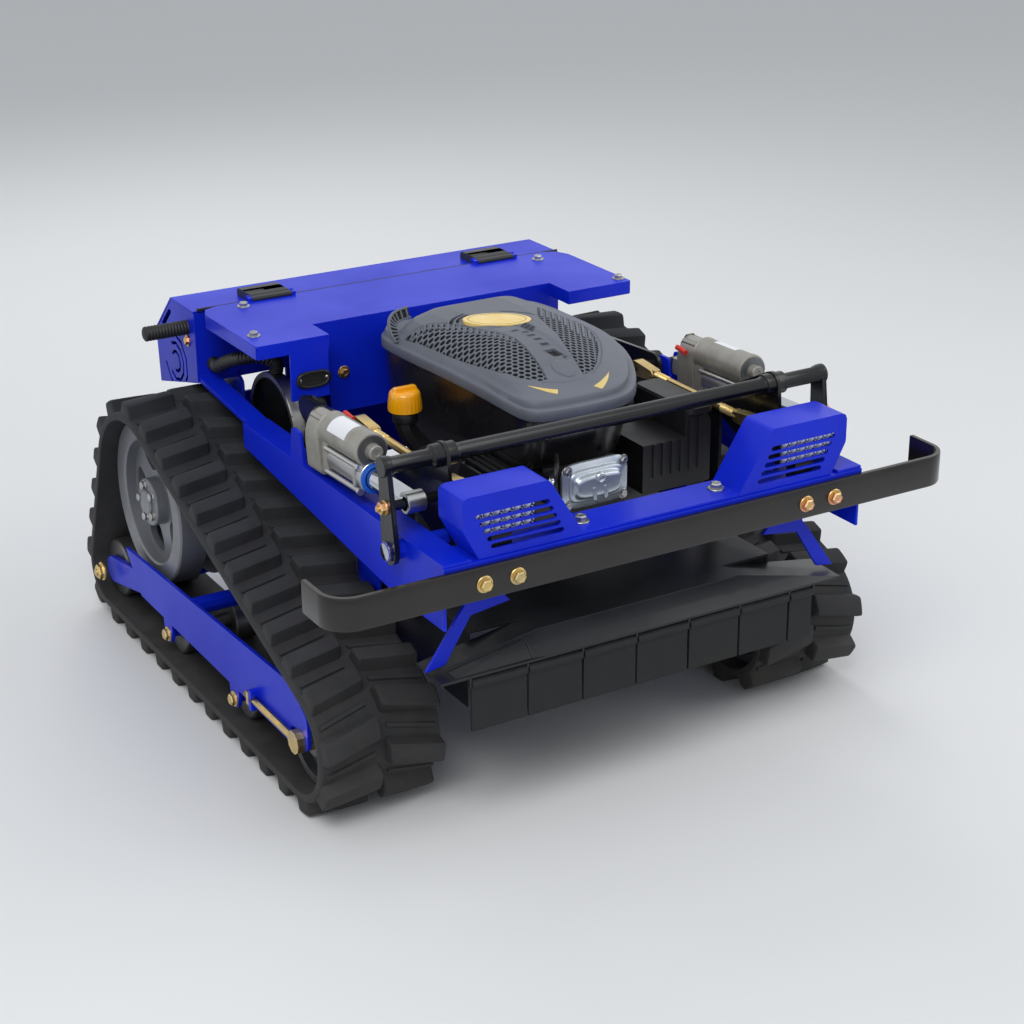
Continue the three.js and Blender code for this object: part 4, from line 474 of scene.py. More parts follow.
class Effects:
    """The shader node groups that the finishes share, each built once."""

    def __init__(self) -> None:
        """Builds every group."""
        self.grain = self._surface_grain()
        self.dust = self._settled_dust()

    @staticmethod
    def _group(name: str, ins: list[tuple[str, str, float]], outs: list[tuple[str, str]]) -> bpy.types.NodeTree:
        """Makes a shader node group with the named sockets.

        Args:
            name: The group's name.
            ins: Name, socket type and default of each input.
            outs: Name and socket type of each output.

        Returns:
            The node tree, with its group input and output nodes in it.
        """
        tree = bpy.data.node_groups.new(name, "ShaderNodeTree")
        for label, kind, default in ins:
            socket = tree.interface.new_socket(label, in_out="INPUT", socket_type=kind)
            if kind == "NodeSocketFloat":
                socket.default_value = default
        for label, kind in outs:
            tree.interface.new_socket(label, in_out="OUTPUT", socket_type=kind)
        tree.nodes.new("NodeGroupInput")
        tree.nodes.new("NodeGroupOutput")
        return tree

    def _surface_grain(self) -> bpy.types.NodeTree:
        """Patches of two colours, roughness that varies with them, and a fine grain's height.

        Returns:
            The node group.
        """
        tree = self._group(
            "surface_grain",
            [
                ("Colour", "NodeSocketColor", 0),
                ("Second Colour", "NodeSocketColor", 0),
                ("Patch Scale", "NodeSocketFloat", 12),
                ("Grain Scale", "NodeSocketFloat", 600),
                ("Smooth", "NodeSocketFloat", 0.3),
                ("Rough", "NodeSocketFloat", 0.5),
                ("Stretch", "NodeSocketVector", 0),
            ],
            [("Colour", "NodeSocketColor"), ("Roughness", "NodeSocketFloat"), ("Height", "NodeSocketFloat")],
        )
        nodes = tree.nodes
        enter, leave = nodes["Group Input"], nodes["Group Output"]
        place = nodes.new("ShaderNodeTexCoord")
        stretch = nodes.new("ShaderNodeVectorMath")
        stretch.operation = "MULTIPLY"
        patch, grain = nodes.new("ShaderNodeTexNoise"), nodes.new("ShaderNodeTexNoise")
        patch.inputs["Detail"].default_value = 4
        grain.inputs["Detail"].default_value = 3
        mix = nodes.new("ShaderNodeMix")
        mix.data_type = "RGBA"
        level = nodes.new("ShaderNodeMapRange")
        blend = nodes.new("ShaderNodeMath")
        blend.operation = "MULTIPLY_ADD"
        blend.inputs[1].default_value = 0.35
        sharpen = nodes.new("ShaderNodeMapRange")
        sharpen.inputs["From Min"].default_value = 0.35
        sharpen.inputs["From Max"].default_value = 0.65
        level.inputs["From Max"].default_value = 1.35
        wire(
            tree,
            (place, "Object", stretch, 0),
            (enter, "Stretch", stretch, 1),
            (stretch, 0, patch, "Vector"),
            (stretch, 0, grain, "Vector"),
            (enter, "Patch Scale", patch, "Scale"),
            (enter, "Grain Scale", grain, "Scale"),
            (patch, "Fac", sharpen, "Value"),
            (sharpen, "Result", mix, "Factor"),
            (enter, "Colour", mix, "A"),
            (enter, "Second Colour", mix, "B"),
            (mix, "Result", leave, "Colour"),
            (grain, "Fac", blend, 0),
            (sharpen, "Result", blend, 2),
            (blend, 0, level, "Value"),
            (enter, "Smooth", level, "To Min"),
            (enter, "Rough", level, "To Max"),
            (level, "Result", leave, "Roughness"),
            (grain, "Fac", leave, "Height"),
        )
        return tree

    def _settled_dust(self) -> bpy.types.NodeTree:
        """A mask that is strongest at the ground and fades out with height, broken up by noise.

        Returns:
            The node group.
        """
        tree = self._group(
            "settled_dust",
            [("Top", "NodeSocketFloat", 0.3), ("Scale", "NodeSocketFloat", 30), ("Amount", "NodeSocketFloat", 0.3)],
            [("Mask", "NodeSocketFloat")],
        )
        nodes = tree.nodes
        enter, leave = nodes["Group Input"], nodes["Group Output"]
        place, parts = nodes.new("ShaderNodeTexCoord"), nodes.new("ShaderNodeSeparateXYZ")
        fade, noise = nodes.new("ShaderNodeMapRange"), nodes.new("ShaderNodeTexNoise")
        noise.inputs["Detail"].default_value = 6
        lift, strength = nodes.new("ShaderNodeMath"), nodes.new("ShaderNodeMath")
        lift.operation = strength.operation = "MULTIPLY"
        fade.inputs["To Min"].default_value = 1
        fade.inputs["To Max"].default_value = 0
        wire(
            tree,
            (place, "Object", parts, 0),
            (place, "Object", noise, "Vector"),
            (enter, "Scale", noise, "Scale"),
            (parts, "Z", fade, "Value"),
            (enter, "Top", fade, "From Max"),
            (fade, "Result", lift, 0),
            (noise, "Fac", lift, 1),
            (lift, 0, strength, 0),
            (enter, "Amount", strength, 1),
            (strength, 0, leave, "Mask"),
        )
        return tree


@dataclass(frozen=True)
class Finish:
    """One surface of the real machine, as a painter or plater would describe it."""

    name: str
    slot: str
    colour: tuple[int, int, int]
    second: tuple[int, int, int]
    smooth: float
    rough: float
    metal: float = 0.0
    coat: float = 0.0
    patch_scale: float = 9.0
    grain_scale: float = 500.0
    bump: float = 0.02
    edge: float = 0.0
    stretch: Point = (1.0, 1.0, 1.0)
    dust: float = 0.0
    dust_top: float = 0.35
    specular: float = 0.5

    def build(self, effects: Effects) -> bpy.types.Material:
        """Makes the material.

        Args:
            effects: The shared node groups.

        Returns:
            A Principled material: grain drives colour, roughness and bump, and dust lies over the colour.
        """
        material = bpy.data.materials.new(self.name)
        material.use_nodes = True
        nodes, links = material.node_tree.nodes, material.node_tree.links
        shader = nodes["Principled BSDF"]
        shader.inputs["Metallic"].default_value = self.metal
        shader.inputs["Coat Weight"].default_value = self.coat
        shader.inputs["Coat Roughness"].default_value = 0.06
        shader.inputs["Specular IOR Level"].default_value = self.specular
        grain = nodes.new("ShaderNodeGroup")
        grain.node_tree = effects.grain
        for label, value in (
            ("Patch Scale", self.patch_scale),
            ("Grain Scale", self.grain_scale),
            ("Smooth", self.smooth),
            ("Rough", self.rough),
        ):
            grain.inputs[label].default_value = value
        grain.inputs["Colour"].default_value = rgba(self.colour)
        grain.inputs["Second Colour"].default_value = rgba(self.second)
        grain.inputs["Stretch"].default_value = self.stretch
        colour = grain.outputs["Colour"]
        if self.dust:
            dust, over = nodes.new("ShaderNodeGroup"), nodes.new("ShaderNodeMix")
            dust.node_tree = effects.dust
            dust.inputs["Amount"].default_value = self.dust
            dust.inputs["Top"].default_value = self.dust_top
            over.data_type = "RGBA"
            over.inputs["B"].default_value = rgba(DUST_COLOUR)
            links.new(dust.outputs["Mask"], over.inputs["Factor"])
            links.new(colour, over.inputs["A"])
            colour = over.outputs["Result"]
        links.new(colour, shader.inputs["Base Color"])
        links.new(grain.outputs["Roughness"], shader.inputs["Roughness"])
        bump = nodes.new("ShaderNodeBump")
        bump.inputs["Distance"].default_value = self.bump * MM
        links.new(grain.outputs["Height"], bump.inputs["Height"])
        if self.edge:
            round_off = nodes.new("ShaderNodeBevel")
            round_off.samples = 6
            round_off.inputs["Radius"].default_value = self.edge * MM
            links.new(round_off.outputs["Normal"], bump.inputs["Normal"])
        links.new(bump.outputs["Normal"], shader.inputs["Normal"])
        return material


@dataclass(frozen=True)
class Palette:
    """Every finish on the machine."""

    blue: Finish = Finish(
        "blue_powder_coat", "blue_paint", (10, 40, 204), (7, 33, 188), 0.32, 0.44, 0, 0.06, 5, 900, 0.012, 1.3,
        specular=0.2
    )
    black: Finish = Finish(
        "black_gloss_paint", "black_paint", (13, 14, 16), (17, 18, 20), 0.2, 0.32, 0, 0.15, 8, 700, 0.015, 0.9,
        specular=0.35
    )
    bumper: Finish = Finish(
        "bumper_paint", "black_paint", (22, 18, 18), (30, 25, 24), 0.2, 0.32, 0, 0.25, 7, 600, 0.02, specular=0.4
    )
    deck: Finish = Finish(
        "deck_paint", "black_paint", (19, 21, 25), (26, 28, 32), 0.3, 0.5, 0, 0.1, 10, 500, 0.03, 1.0, dust=0.12,
        specular=0.35
    )
    rubber: Finish = Finish(
        "track_rubber", "rubber", (33, 34, 38), (46, 47, 52), 0.62, 0.84, 0, 0, 14, 260, 0.25, 0, dust=0.16,
        dust_top=0.5, specular=0.3
    )
    flap: Finish = Finish(
        "flap_rubber", "rubber", (20, 22, 24), (29, 31, 34), 0.5, 0.72, 0, 0, 20, 320, 0.12, 0.8, dust=0.08,
        specular=0.3
    )
    grip: Finish = Finish("grip_rubber", "rubber", (20, 20, 22), (26, 26, 28), 0.5, 0.66, 0, 0, 30, 500, 0.06)
    shroud: Finish = Finish(
        "shroud_plastic", "shroud_grey", (88, 92, 102), (96, 100, 110), 0.42, 0.56, 0, 0, 16, 1500, 0.05
    )
    tub: Finish = Finish(
        "shroud_side_plastic", "shroud_grey", (17, 16, 18), (24, 22, 23), 0.22, 0.34, 0, 0.3, 12, 1500, 0.03
    )
    # Near-black painted shade for the honeycomb holes, the slot floors and the grille's backing, standing in for the
    # shadow inside those openings.
    pit: Finish = Finish("shroud_recess", "shroud_grey", (12, 13, 15), (18, 19, 21), 0.7, 0.85, 0, 0, 30, 900, 0.03)
    plastic: Finish = Finish(
        "black_plastic", "black_plastic", (22, 22, 24), (28, 28, 30), 0.36, 0.5, 0, 0, 18, 1200, 0.03, 0.9
    )
    orange: Finish = Finish(
        "orange_cap", "orange_plastic", (252, 178, 14), (248, 164, 6), 0.2, 0.3, 0, 0.4, 20, 900, 0.01
    )
    badge: Finish = Finish(
        "badge_foil", "orange_plastic", (238, 208, 132), (230, 198, 118), 0.34, 0.46, 0.05, 0.2, 40, 1200, 0.01
    )
    badge_line: Finish = Finish(
        "badge_line", "black_plastic", (52, 44, 26), (60, 50, 30), 0.3, 0.4, 0, 0.3, 40, 1200, 0.01
    )
    stripe: Finish = Finish(
        "stripe_foil", "orange_plastic", (222, 196, 120), (212, 184, 104), 0.34, 0.46, 0.05, 0.2, 60, 1200, 0.01
    )
    cast: Finish = Finish(
        "cast_aluminium", "cast_aluminium", (160, 158, 152), (142, 139, 132), 0.38, 0.54, 0.5, 0, 26, 700, 0.08, 0.8
    )
    tube_alloy: Finish = Finish(
        "drawn_aluminium", "cast_aluminium", (190, 190, 190), (174, 174, 176), 0.24, 0.36, 0.9, 0, 10, 400, 0.02,
        stretch=(6.0, 0.5, 6.0)
    )
    engine: Finish = Finish(
        "engine_black", "cast_aluminium", (38, 38, 41), (52, 52, 55), 0.4, 0.58, 0.4, 0, 22, 600, 0.1, 0.8
    )
    chrome: Finish = Finish(
        "bright_chrome", "chrome", (196, 200, 206), (184, 188, 196), 0.08, 0.16, 1, 0, 8, 300, 0.004
    )
    blue_chrome: Finish = Finish(
        "blue_zinc_pressing", "chrome", (206, 214, 222), (192, 202, 212), 0.22, 0.34, 0.8, 0, 12, 500, 0.02
    )
    yellow_zinc: Finish = Finish(
        "yellow_zinc", "yellow_zinc", (226, 196, 122), (196, 176, 132), 0.24, 0.4, 1, 0, 40, 500, 0.02, 0.6
    )
    copper: Finish = Finish(
        "rainbow_zinc_bolt", "yellow_zinc", (214, 158, 128), (206, 178, 120), 0.24, 0.38, 1, 0, 60, 500, 0.02
    )
    zinc: Finish = Finish("clear_zinc", "steel", (176, 178, 180), (160, 160, 158), 0.26, 0.42, 1, 0, 30, 500, 0.02)
    wheel: Finish = Finish(
        "wheel_grey_paint", "steel", (122, 125, 132), (108, 110, 116), 0.36, 0.5, 0.35, 0.1, 12, 500, 0.04, 0.9,
        dust=0.3
    )
    steel: Finish = Finish(
        "bare_steel", "steel", (120, 122, 126), (98, 98, 100), 0.34, 0.5, 0.9, 0, 20, 400, 0.03, 0.8, dust=0.2
    )
    lens: Finish = Finish("lamp_lens", "lens", (236, 240, 248), (222, 228, 240), 0.06, 0.1, 0, 1.0, 20, 300, 0.004)
    seal: Finish = Finish("blue_seal", "black_plastic", (24, 96, 200), (20, 84, 186), 0.4, 0.5)
    label: Finish = Finish("white_label", "black_plastic", (232, 233, 236), (224, 226, 230), 0.36, 0.46, 0, 0.2)
    red: Finish = Finish("red_sleeve", "orange_plastic", (206, 40, 22), (190, 32, 18), 0.4, 0.5)


class Workshop:
    """Turns forms into finished pieces and gives the model's own nodes their finishes."""

    def __init__(self, frame: dict) -> None:
        """Keeps the frame and builds the shared effects.
        """
        self.frame = frame
        self.effects = Effects()
        self.palette = Palette()
        self._made: dict[str, bpy.types.Material] = {}

    def material(self, finish: Finish) -> bpy.types.Material:
        """The finish's material, built the first time it is asked for.

        Args:
            finish: The surface.

        Returns:
            Its material.
        """
        if finish.name not in self._made:
            self._made[finish.name] = finish.build(self.effects)
        return self._made[finish.name]

    def piece(
        self,
        name: str,
        form: Form,
        finish: Finish,
        body: str,
        round_off: float = 0.0,
        segments: int = 2,
        sharp: float = 32.0,
        stands_for: str = "",
    ) -> bpy.types.Object:
        """Makes an object of a form, on a body, with its finish and softened edges.

        Args:
            name: The piece's name.
            form: Its shape.
            finish: Its surface.
            body: The body that it rides on.
            round_off: Width of the rounding along its edges, 0 for none.
            segments: Steps in that rounding.
            sharp: Edges over this angle in degrees stay crisp.
            stands_for: The model's node that it replaces, if any.

        Returns:
            The new object.
        """
        mesh = form.mesh(name)
        mesh.materials.append(self.material(finish))
        mesh.shade_smooth()
        if round_off == 0:
            mesh.set_sharp_from_angle(angle=math.radians(sharp))
        thing = bpy.data.objects.new(name, mesh)
        bpy.context.scene.collection.objects.link(thing)
        if round_off:
            bevel = thing.modifiers.new("round_off", "BEVEL")
            bevel.width = round_off * MM
            bevel.segments = segments
            bevel.limit_method = "ANGLE"
            bevel.angle_limit = math.radians(sharp)
            bevel.harden_normals = True
        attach(thing, body)
        if stands_for:
            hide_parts(stands_for)
        LOG.info("%s on %s, %d faces", name, body, len(mesh.polygons))
        return thing

    def fasten(
        self,
        name: str,
        kind: Fasteners,
        places: list[Point],
        outward: Point,
        finish: Finish,
        body: str,
        sharp: float = 25.0,
    ) -> None:
        """Makes one piece of a group of fasteners.

        Args:
            name: The piece's name.
            kind: The fastener.
            places: Points under each washer.
            outward: The direction that the heads face.
            finish: Their surface.
            body: The body that they ride on.
            sharp: Edges over this angle in degrees stay crisp.
        """
        self.piece(name, kind.form(places, outward), finish, body, sharp=sharp)

    def dress(self, finish: Finish, *names: str) -> None:
        """Gives the model's own nodes a finish, with round surfaces shaded as round.

        Args:
            finish: Their surface.
            *names: The nodes.
        """
        for name in names:
            node = self.frame["nodes"][name]
            node.data.materials.clear()
            node.data.materials.append(self.material(finish))
            node.data.polygons.foreach_set("use_smooth", np.ones(len(node.data.polygons), bool))
            weld = node.modifiers.new("weld", "WELD")
            weld.merge_threshold = 1e-5
            split = node.modifiers.new("crisp_edges", "EDGE_SPLIT")
            split.split_angle = math.radians(31)
            LOG.info("%s dressed in %s", name, finish.name)


# Small fittings


class Head(Enum):
    """Kinds of fastener head."""

    HEX = "hex"
    PAN = "pan"
    NUT = "nut"


@dataclass
class Fasteners:
    """A group of equal screws or nuts on one body."""

    head: Head
    across: float
    height: float
    washer: float
    stud: float = 0.0

    def form(self, places: list[Point], outward: Point) -> Form:
        """One form with a fastener at each place.

        A head is drawn upright at the origin and turned so that up becomes the outward direction.

        Args:
            places: Points on the surface under each washer.
            outward: The direction that the heads face.

        Returns:
            The form.
        """
        up = np.array(outward, float) / np.linalg.norm(outward)
        helper = np.array([0, 0, 1.0]) if abs(up[2]) < 0.9 else np.array([0, 1.0, 0])
        side = np.cross(helper, up)
        side /= np.linalg.norm(side)
        turn = np.stack([side, np.cross(up, side), up], 1)
        group = Form()
        for place in places:
            group.joined(self._upright().moved(turn, np.array(place, float)))
        return group

    def _upright(self) -> Form:
        """A single fastener standing on the origin.

        Returns:
            The form.
        """
        form = Form()
        thin = 0.16 * self.across
        wide, sunk = self.washer, -0.3
        form.lathe(Axis.Z, (0, 0), [(0, sunk), (wide, sunk), (wide, thin * 0.7), (wide * 0.95, thin), (0, thin)], 24)
        top = thin + self.height
        half = self.across / 2
        if self.head is Head.PAN:
            arc = np.linspace(0, np.pi / 2, 6)
            dome = [(half * math.cos(a), thin + self.height * math.sin(a)) for a in arc]
            recess = top - self.height / 2
            head = [(0, thin - 0.2), *dome[:-1], (half * 0.35, top), (half * 0.3, recess), (0, recess)]
            return form.lathe(Axis.Z, (0, 0), head, 24)
        corner = half / math.cos(math.pi / 6)
        hexagon = circle(1, 6)
        edge = top - 0.12 * self.across
        sizes = np.array([(corner, thin - 0.2), (corner, edge), (half * 0.94, top), (half * 0.62, top)])
        if self.head is Head.HEX:
            sizes = np.vstack([sizes, [(half * 0.55, top - 0.08 * self.height)]])
        rings = sizes[:, :1, None] * hexagon
        form.tower(on_plane(Axis.Z, rings[..., 0], rings[..., 1], sizes[:, 1:]))
        if self.stud:
            r, end = half * 0.55, top + self.stud
            form.lathe(Axis.Z, (0, 0), [(0, thin), (r, thin), (r, end - 1), (r - 1, end), (0, end)], 20)
        return form


# Rubber tracks and running gear


@dataclass
class TrackRoute:
    """The belt's path round its three wheels, seen from the side."""

    drive: Point = (307, 280, 148)
    roller: Point = (485, 90, 54)
    idler: Point = (-325, 117, 81)
    neutral: float = 7.0

    def __post_init__(self) -> None:
        """Works out three arcs and three straight runs.

        A run's outward normal n satisfies n . (B - A) = ra - rb, so it touches both wheels.
        """
        wheels = np.array([self.drive, self.roller, self.idler], float)
        ahead = np.roll(wheels, -1, axis=0)
        step = ahead[:, :2] - wheels[:, :2]
        span = np.linalg.norm(step, axis=1)
        unit = step / span[:, None]
        left = np.stack([-unit[:, 1], unit[:, 0]], -1)
        lean = (wheels[:, 2] - ahead[:, 2]) / span
        normal = lean[:, None] * unit + np.sqrt(1 - lean**2)[:, None] * left
        leaving = np.arctan2(normal[:, 1], normal[:, 0])
        entering = np.roll(leaving, 1)
        sweep = (entering - leaving) % (2 * np.pi)
        lengths = np.stack([(wheels[:, 2] + self.neutral) * sweep, span * np.sqrt(1 - lean**2)], -1).ravel()
        self.starts = np.concatenate([[0], np.cumsum(lengths)])
        self.length = float(self.starts[-1])
        arcs = np.stack([wheels, wheels], 1)
        runs = np.stack([wheels, ahead], 1)
        self._wheels = np.stack([arcs, runs], 1).reshape(6, 2, 3)
        arc_angles = np.stack([entering, entering - sweep], -1)
        run_angles = np.stack([entering - sweep, entering - sweep], -1)
        self._angles = np.stack([arc_angles, run_angles], 1).reshape(6, 2)

    def at(self, along: Array, height: Array) -> tuple[Array, Array]:
        """Places on the belt: between a part's two ends, centre, radius and angle change evenly.

        Args:
            along: Length along the belt.
            height: Height over the belt's inner face.

        Returns:
            The Y and Z of each place.
        """
        along, height = np.broadcast_arrays(np.mod(along, self.length), height)
        part = np.clip(np.searchsorted(self.starts, along, side="right") - 1, 0, 5)
        share = (along - self.starts[part]) / (self.starts[part + 1] - self.starts[part])
        sizes = self._wheels[part, 0] + share[..., None] * (self._wheels[part, 1] - self._wheels[part, 0])
        angle = self._angles[part, 0] + share * (self._angles[part, 1] - self._angles[part, 0])
        reach = sizes[..., 2] + height
        return sizes[..., 0] + reach * np.cos(angle), sizes[..., 1] + reach * np.sin(angle)


@dataclass
class RunningGear:
    """One side's belt and wheels."""

    side: Side
    route: TrackRoute = field(default_factory=TrackRoute)
    inner: float = 300.0
    outer: float = 500.0
    carcass: float = 14.0
    crown: float = 36.0
    lug_pitch: float = 72.0
    lane_gap: float = 12.0
    slant: float = 18.0
    guide_height: float = 20.0
    tread_inner: float = 330.0
    tread_outer: float = 470.0
    groove: float = 22.0
    road_rollers: tuple[Point, ...] = ((-75, 76, 40), (205, 76, 40))
    beam_face: float = 488.0
    rim_radius: float = 144.6
    disc: Pair = (436.0, 448.0)
    screw_x: float = 494.8
    screw_ends: Pair = (-150.0, -141.0)

    @property
    def lugs(self) -> int:
        """Lugs in one lane: as many as come nearest to the wanted pitch."""
        return round(self.route.length / self.lug_pitch)

    def build(self, shop: Workshop) -> None:
        """Makes this side's pieces.

        Args:
            shop: Makes the pieces.
        """
        hand = self.side.hand
        paint = shop.palette
        belt, wheel = f"{hand}_track_belt", f"{hand}_drive_wheel"
        shop.piece(f"{hand}_lugged_belt", self._belt(), paint.rubber, "chassis", sharp=40, stands_for=belt)
        shop.piece(f"{hand}_spoked_wheel", self._drive_wheel(), paint.wheel, wheel, sharp=30, stands_for=wheel)
        hubs = Fasteners(Head.HEX, 13, 6, 9)
        ring = circle(30, 5) + np.array(self.route.drive[:2])
        face = self.tread_outer - 0.5
        places = [(self.side.value * face, y, z) for y, z in ring]
        shop.fasten(f"{hand}_wheel_bolts", hubs, places, (self.side.value, 0, 0), paint.zinc, wheel)
        self._spools(shop)
        shop.dress(paint.blue, f"{hand}_track_frame")
        self._tension(shop)

    def _lane(self, x0: float, x1: float, start: float, shift: float) -> Array:
        """The lugs between two places across: a rounded trapezium at each step across, shifted along as it goes.

        Args:
            x0: Inner end of the lugs.
            x1: Outer end of the lugs.
            start: Where on the belt the first lug begins.
            shift: How far along a lug runs from end to end.

        Returns:
            Loops as (lugs, across, profile, 3).
        """
        pitch = self.route.length / self.lugs
        foot = self.carcass - 3
        shares = np.array([-0.01, 0.03, 0.075, 0.105, 0.145, 0.285, 0.425, 0.465, 0.495, 0.54, 0.58])
        flank = [foot, foot + 4, foot + 17, self.crown - 1.6, self.crown]
        rise = np.array([*flank, self.crown, *reversed(flank)])
        across = np.array([0, 0.02, 0.06, 0.5, 0.94, 0.98, 1])
        pull = np.array([0.86, 0.97, 1, 1, 1, 0.97, 0.86])
        press = np.array([0.9, 0.985, 1, 1, 1, 0.985, 0.9])
        middle = 0.285
        k = np.arange(self.lugs)[:, None, None]
        scaled = middle + (shares - middle)[None, None, :] * pull[None, :, None]
        along = start + (k + scaled) * pitch + (across * shift)[None, :, None]
        height = foot + (rise - foot)[None, None, :] * press[None, :, None]
        y, z = self.route.at(along, height)
        x = self.side.value * (x0 + across * (x1 - x0))
        return on_plane(Axis.X, y, z, x[None, :, None])

    def _belt(self) -> Form:
        """Carcass, two staggered lanes of lugs outside and a row of guide lugs inside.

        Returns:
            The form.
        """
        form = Form()
        along = np.linspace(0, self.route.length, 260, endpoint=False)[:, None]
        top = self.carcass
        edge = rounded([(self.inner, 0, 2), (self.outer, 0, 2), (self.outer, top, 5), (self.inner, top, 5)], 4)
        y, z = self.route.at(along, edge[None, :, 1])
        form.sheet(on_plane(Axis.X, y, z, self.side.value * edge[None, :, 0]), wrap_rows=True, wrap_columns=True)
        centre = (self.inner + self.outer) / 2
        pitch = self.route.length / self.lugs
        lanes = [
            self._lane(self.inner + 2, centre - self.lane_gap / 2, 0, self.slant),
            self._lane(centre + self.lane_gap / 2, self.outer - 2, pitch / 2 + self.slant, -self.slant),
        ]
        for lane in lanes:
            form.sheet(lane, wrap_columns=True).lids(lane[:, 0]).lids(lane[:, -1])
        form.joined(self._ribs(centre, pitch)).joined(self._guides(centre, pitch))
        return form

    def _ribs(self, centre: float, pitch: float) -> Form:
        """Low cross ribs between the lugs, one for each lug and lane.

        Args:
            centre: The belt's middle across.
            pitch: Length from lug to lug.

        Returns:
            The form.
        """
        low, high, inset = self.carcass - 1, self.carcass + 3.4, 8.0
        profile = np.array([(0.70, low), (0.725, high), (0.80, high), (0.825, low)])
        form = Form()
        for start, x0, x1, shift in (
            (0, self.inner + inset, centre - self.lane_gap, self.slant),
            (pitch / 2 + self.slant, centre + self.lane_gap, self.outer - inset, -self.slant),
        ):
            across = np.array([0, 1.0])
            steps = (np.arange(self.lugs)[:, None, None] + profile[None, None, :, 0]) * pitch
            along = start + steps + (across * shift)[None, :, None]
            y, z = self.route.at(along, profile[None, None, :, 1])
            loops = on_plane(Axis.X, y, z, self.side.value * (x0 + across * (x1 - x0))[None, :, None])
            form.sheet(loops, wrap_columns=True).lids(loops[:, 0]).lids(loops[:, -1])
        return form

    def _guides(self, centre: float, pitch: float) -> Form:
        """Tapered lugs on the inner face that keep the belt on its wheels.

        Args:
            centre: The belt's middle across.
            pitch: Length from lug to lug.

        Returns:
            The form.
        """
        tip = -self.guide_height
        levels = np.array([(1.0, 15, 16), (-6, 13.5, 15.5), (tip + 2, 9.5, 12.5), (tip, 7, 10)])
        ring = soft_box(-1, -1, 1, 1, 0.3, 3)
        along = (np.arange(self.lugs)[:, None, None] + 0.25) * pitch + ring[None, None, :, 0] * levels[None, :, 1:2]
        y, z = self.route.at(along, levels[None, :, 0:1])
        x = self.side.value * (centre + ring[None, None, :, 1] * levels[None, :, 2:3])
        loops = on_plane(Axis.X, y, z, x)
        return Form().sheet(loops, wrap_columns=True).lids(loops[:, 0]).lids(loops[:, -1])

    def _drive_wheel(self) -> Form:
        """A rim with a middle groove, a disc with five rounded arches, a hub and its shaft.

        Returns:
            The form.
        """
        s, centre = self.side.value, self.route.drive[:2]
        rim, floor, bore, soft = self.rim_radius, 120.0, 108.0, 3.0
        near, far = self.tread_inner, self.tread_outer
        low, high = (near + far) / 2 - self.groove, (near + far) / 2 + self.groove
        profile = [
            (bore, near), (rim - soft, near), (rim, near + soft), (rim, low), (floor, low), (floor, high), (rim, high),
            (rim, far - soft), (rim - soft, far), (bore + soft, far), (bore, far - soft), (bore, near),
        ]
        form = Form().lathe(Axis.X, centre, [(r, s * x) for r, x in profile], 96)
        form.joined(self._arched_disc(centre, *(s * x for x in self.disc)))
        hub = [(0, near - 3), (40, near - 3), (42, near - 1), (42, far - 2), (40, far), (0, far)]
        cap = [(0, far - 1), (22, far - 1), (22, far + 3), (19, far + 5.5), (0, far + 5.5)]
        shaft = [(0, near - 68), (18, near - 68), (18, near), (0, near)]
        for each, sides in ((hub, 48), (cap, 32), (shaft, 32)):
            form.lathe(Axis.X, centre, [(r, s * x) for r, x in each], sides)
        return form

    @staticmethod
    def _arched_disc(centre: Pair, x0: float, x1: float) -> Form:
        """The disc between hub and rim, with a window between each two spokes.

        A window's half width in angle at radius share t is W (1 - |2t - 1|^2.6)^(1/2.6), so it closes round
        at both ends, and the spoke fills what the windows leave.

        Args:
            centre: The wheel's Y and Z.
            x0: One face.
            x1: The other face.

        Returns:
            The form.
        """
        count, inner, outer, rim, hub = 5, 52.0, 101.0, 110.0, 38.0
        t = (1 - np.cos(np.linspace(0, np.pi, 22))) / 2
        radius = inner + t * (outer - inner)
        step = 2 * np.pi / count
        window = 0.36 * step * np.clip(1 - np.abs(2 * t - 1) ** 2.6, 0, 1) ** (1 / 2.6) * (0.62 + 0.38 * t)
        share = np.linspace(0, 1, 13)[None, None, :]
        first = (np.arange(count) * step)[:, None, None] + window[None, :, None]
        last = ((np.arange(count) + 1) * step)[:, None, None] - window[None, :, None]
        angle = first + share * (last - first)
        r = np.broadcast_to(radius[None, :, None], angle.shape)
        form = Form()
        faces = []
        for x in (x0, x1):
            u, v = centre[0] + r * np.cos(angle), centre[1] + r * np.sin(angle)
            faces.append(on_plane(Axis.X, u, v, x))
            form.sheet(faces[-1])
            for low, high in ((hub, inner), (outer, rim)):
                rings = np.array([low, high])[:, None, None] * circle(1, count * 24) + np.array(centre)
                form.sheet(on_plane(Axis.X, rings[..., 0], rings[..., 1], x), wrap_columns=True)
        for column in (0, -1):
            form.sheet(np.stack([faces[0][:, :, column], faces[1][:, :, column]], 2))
        return form

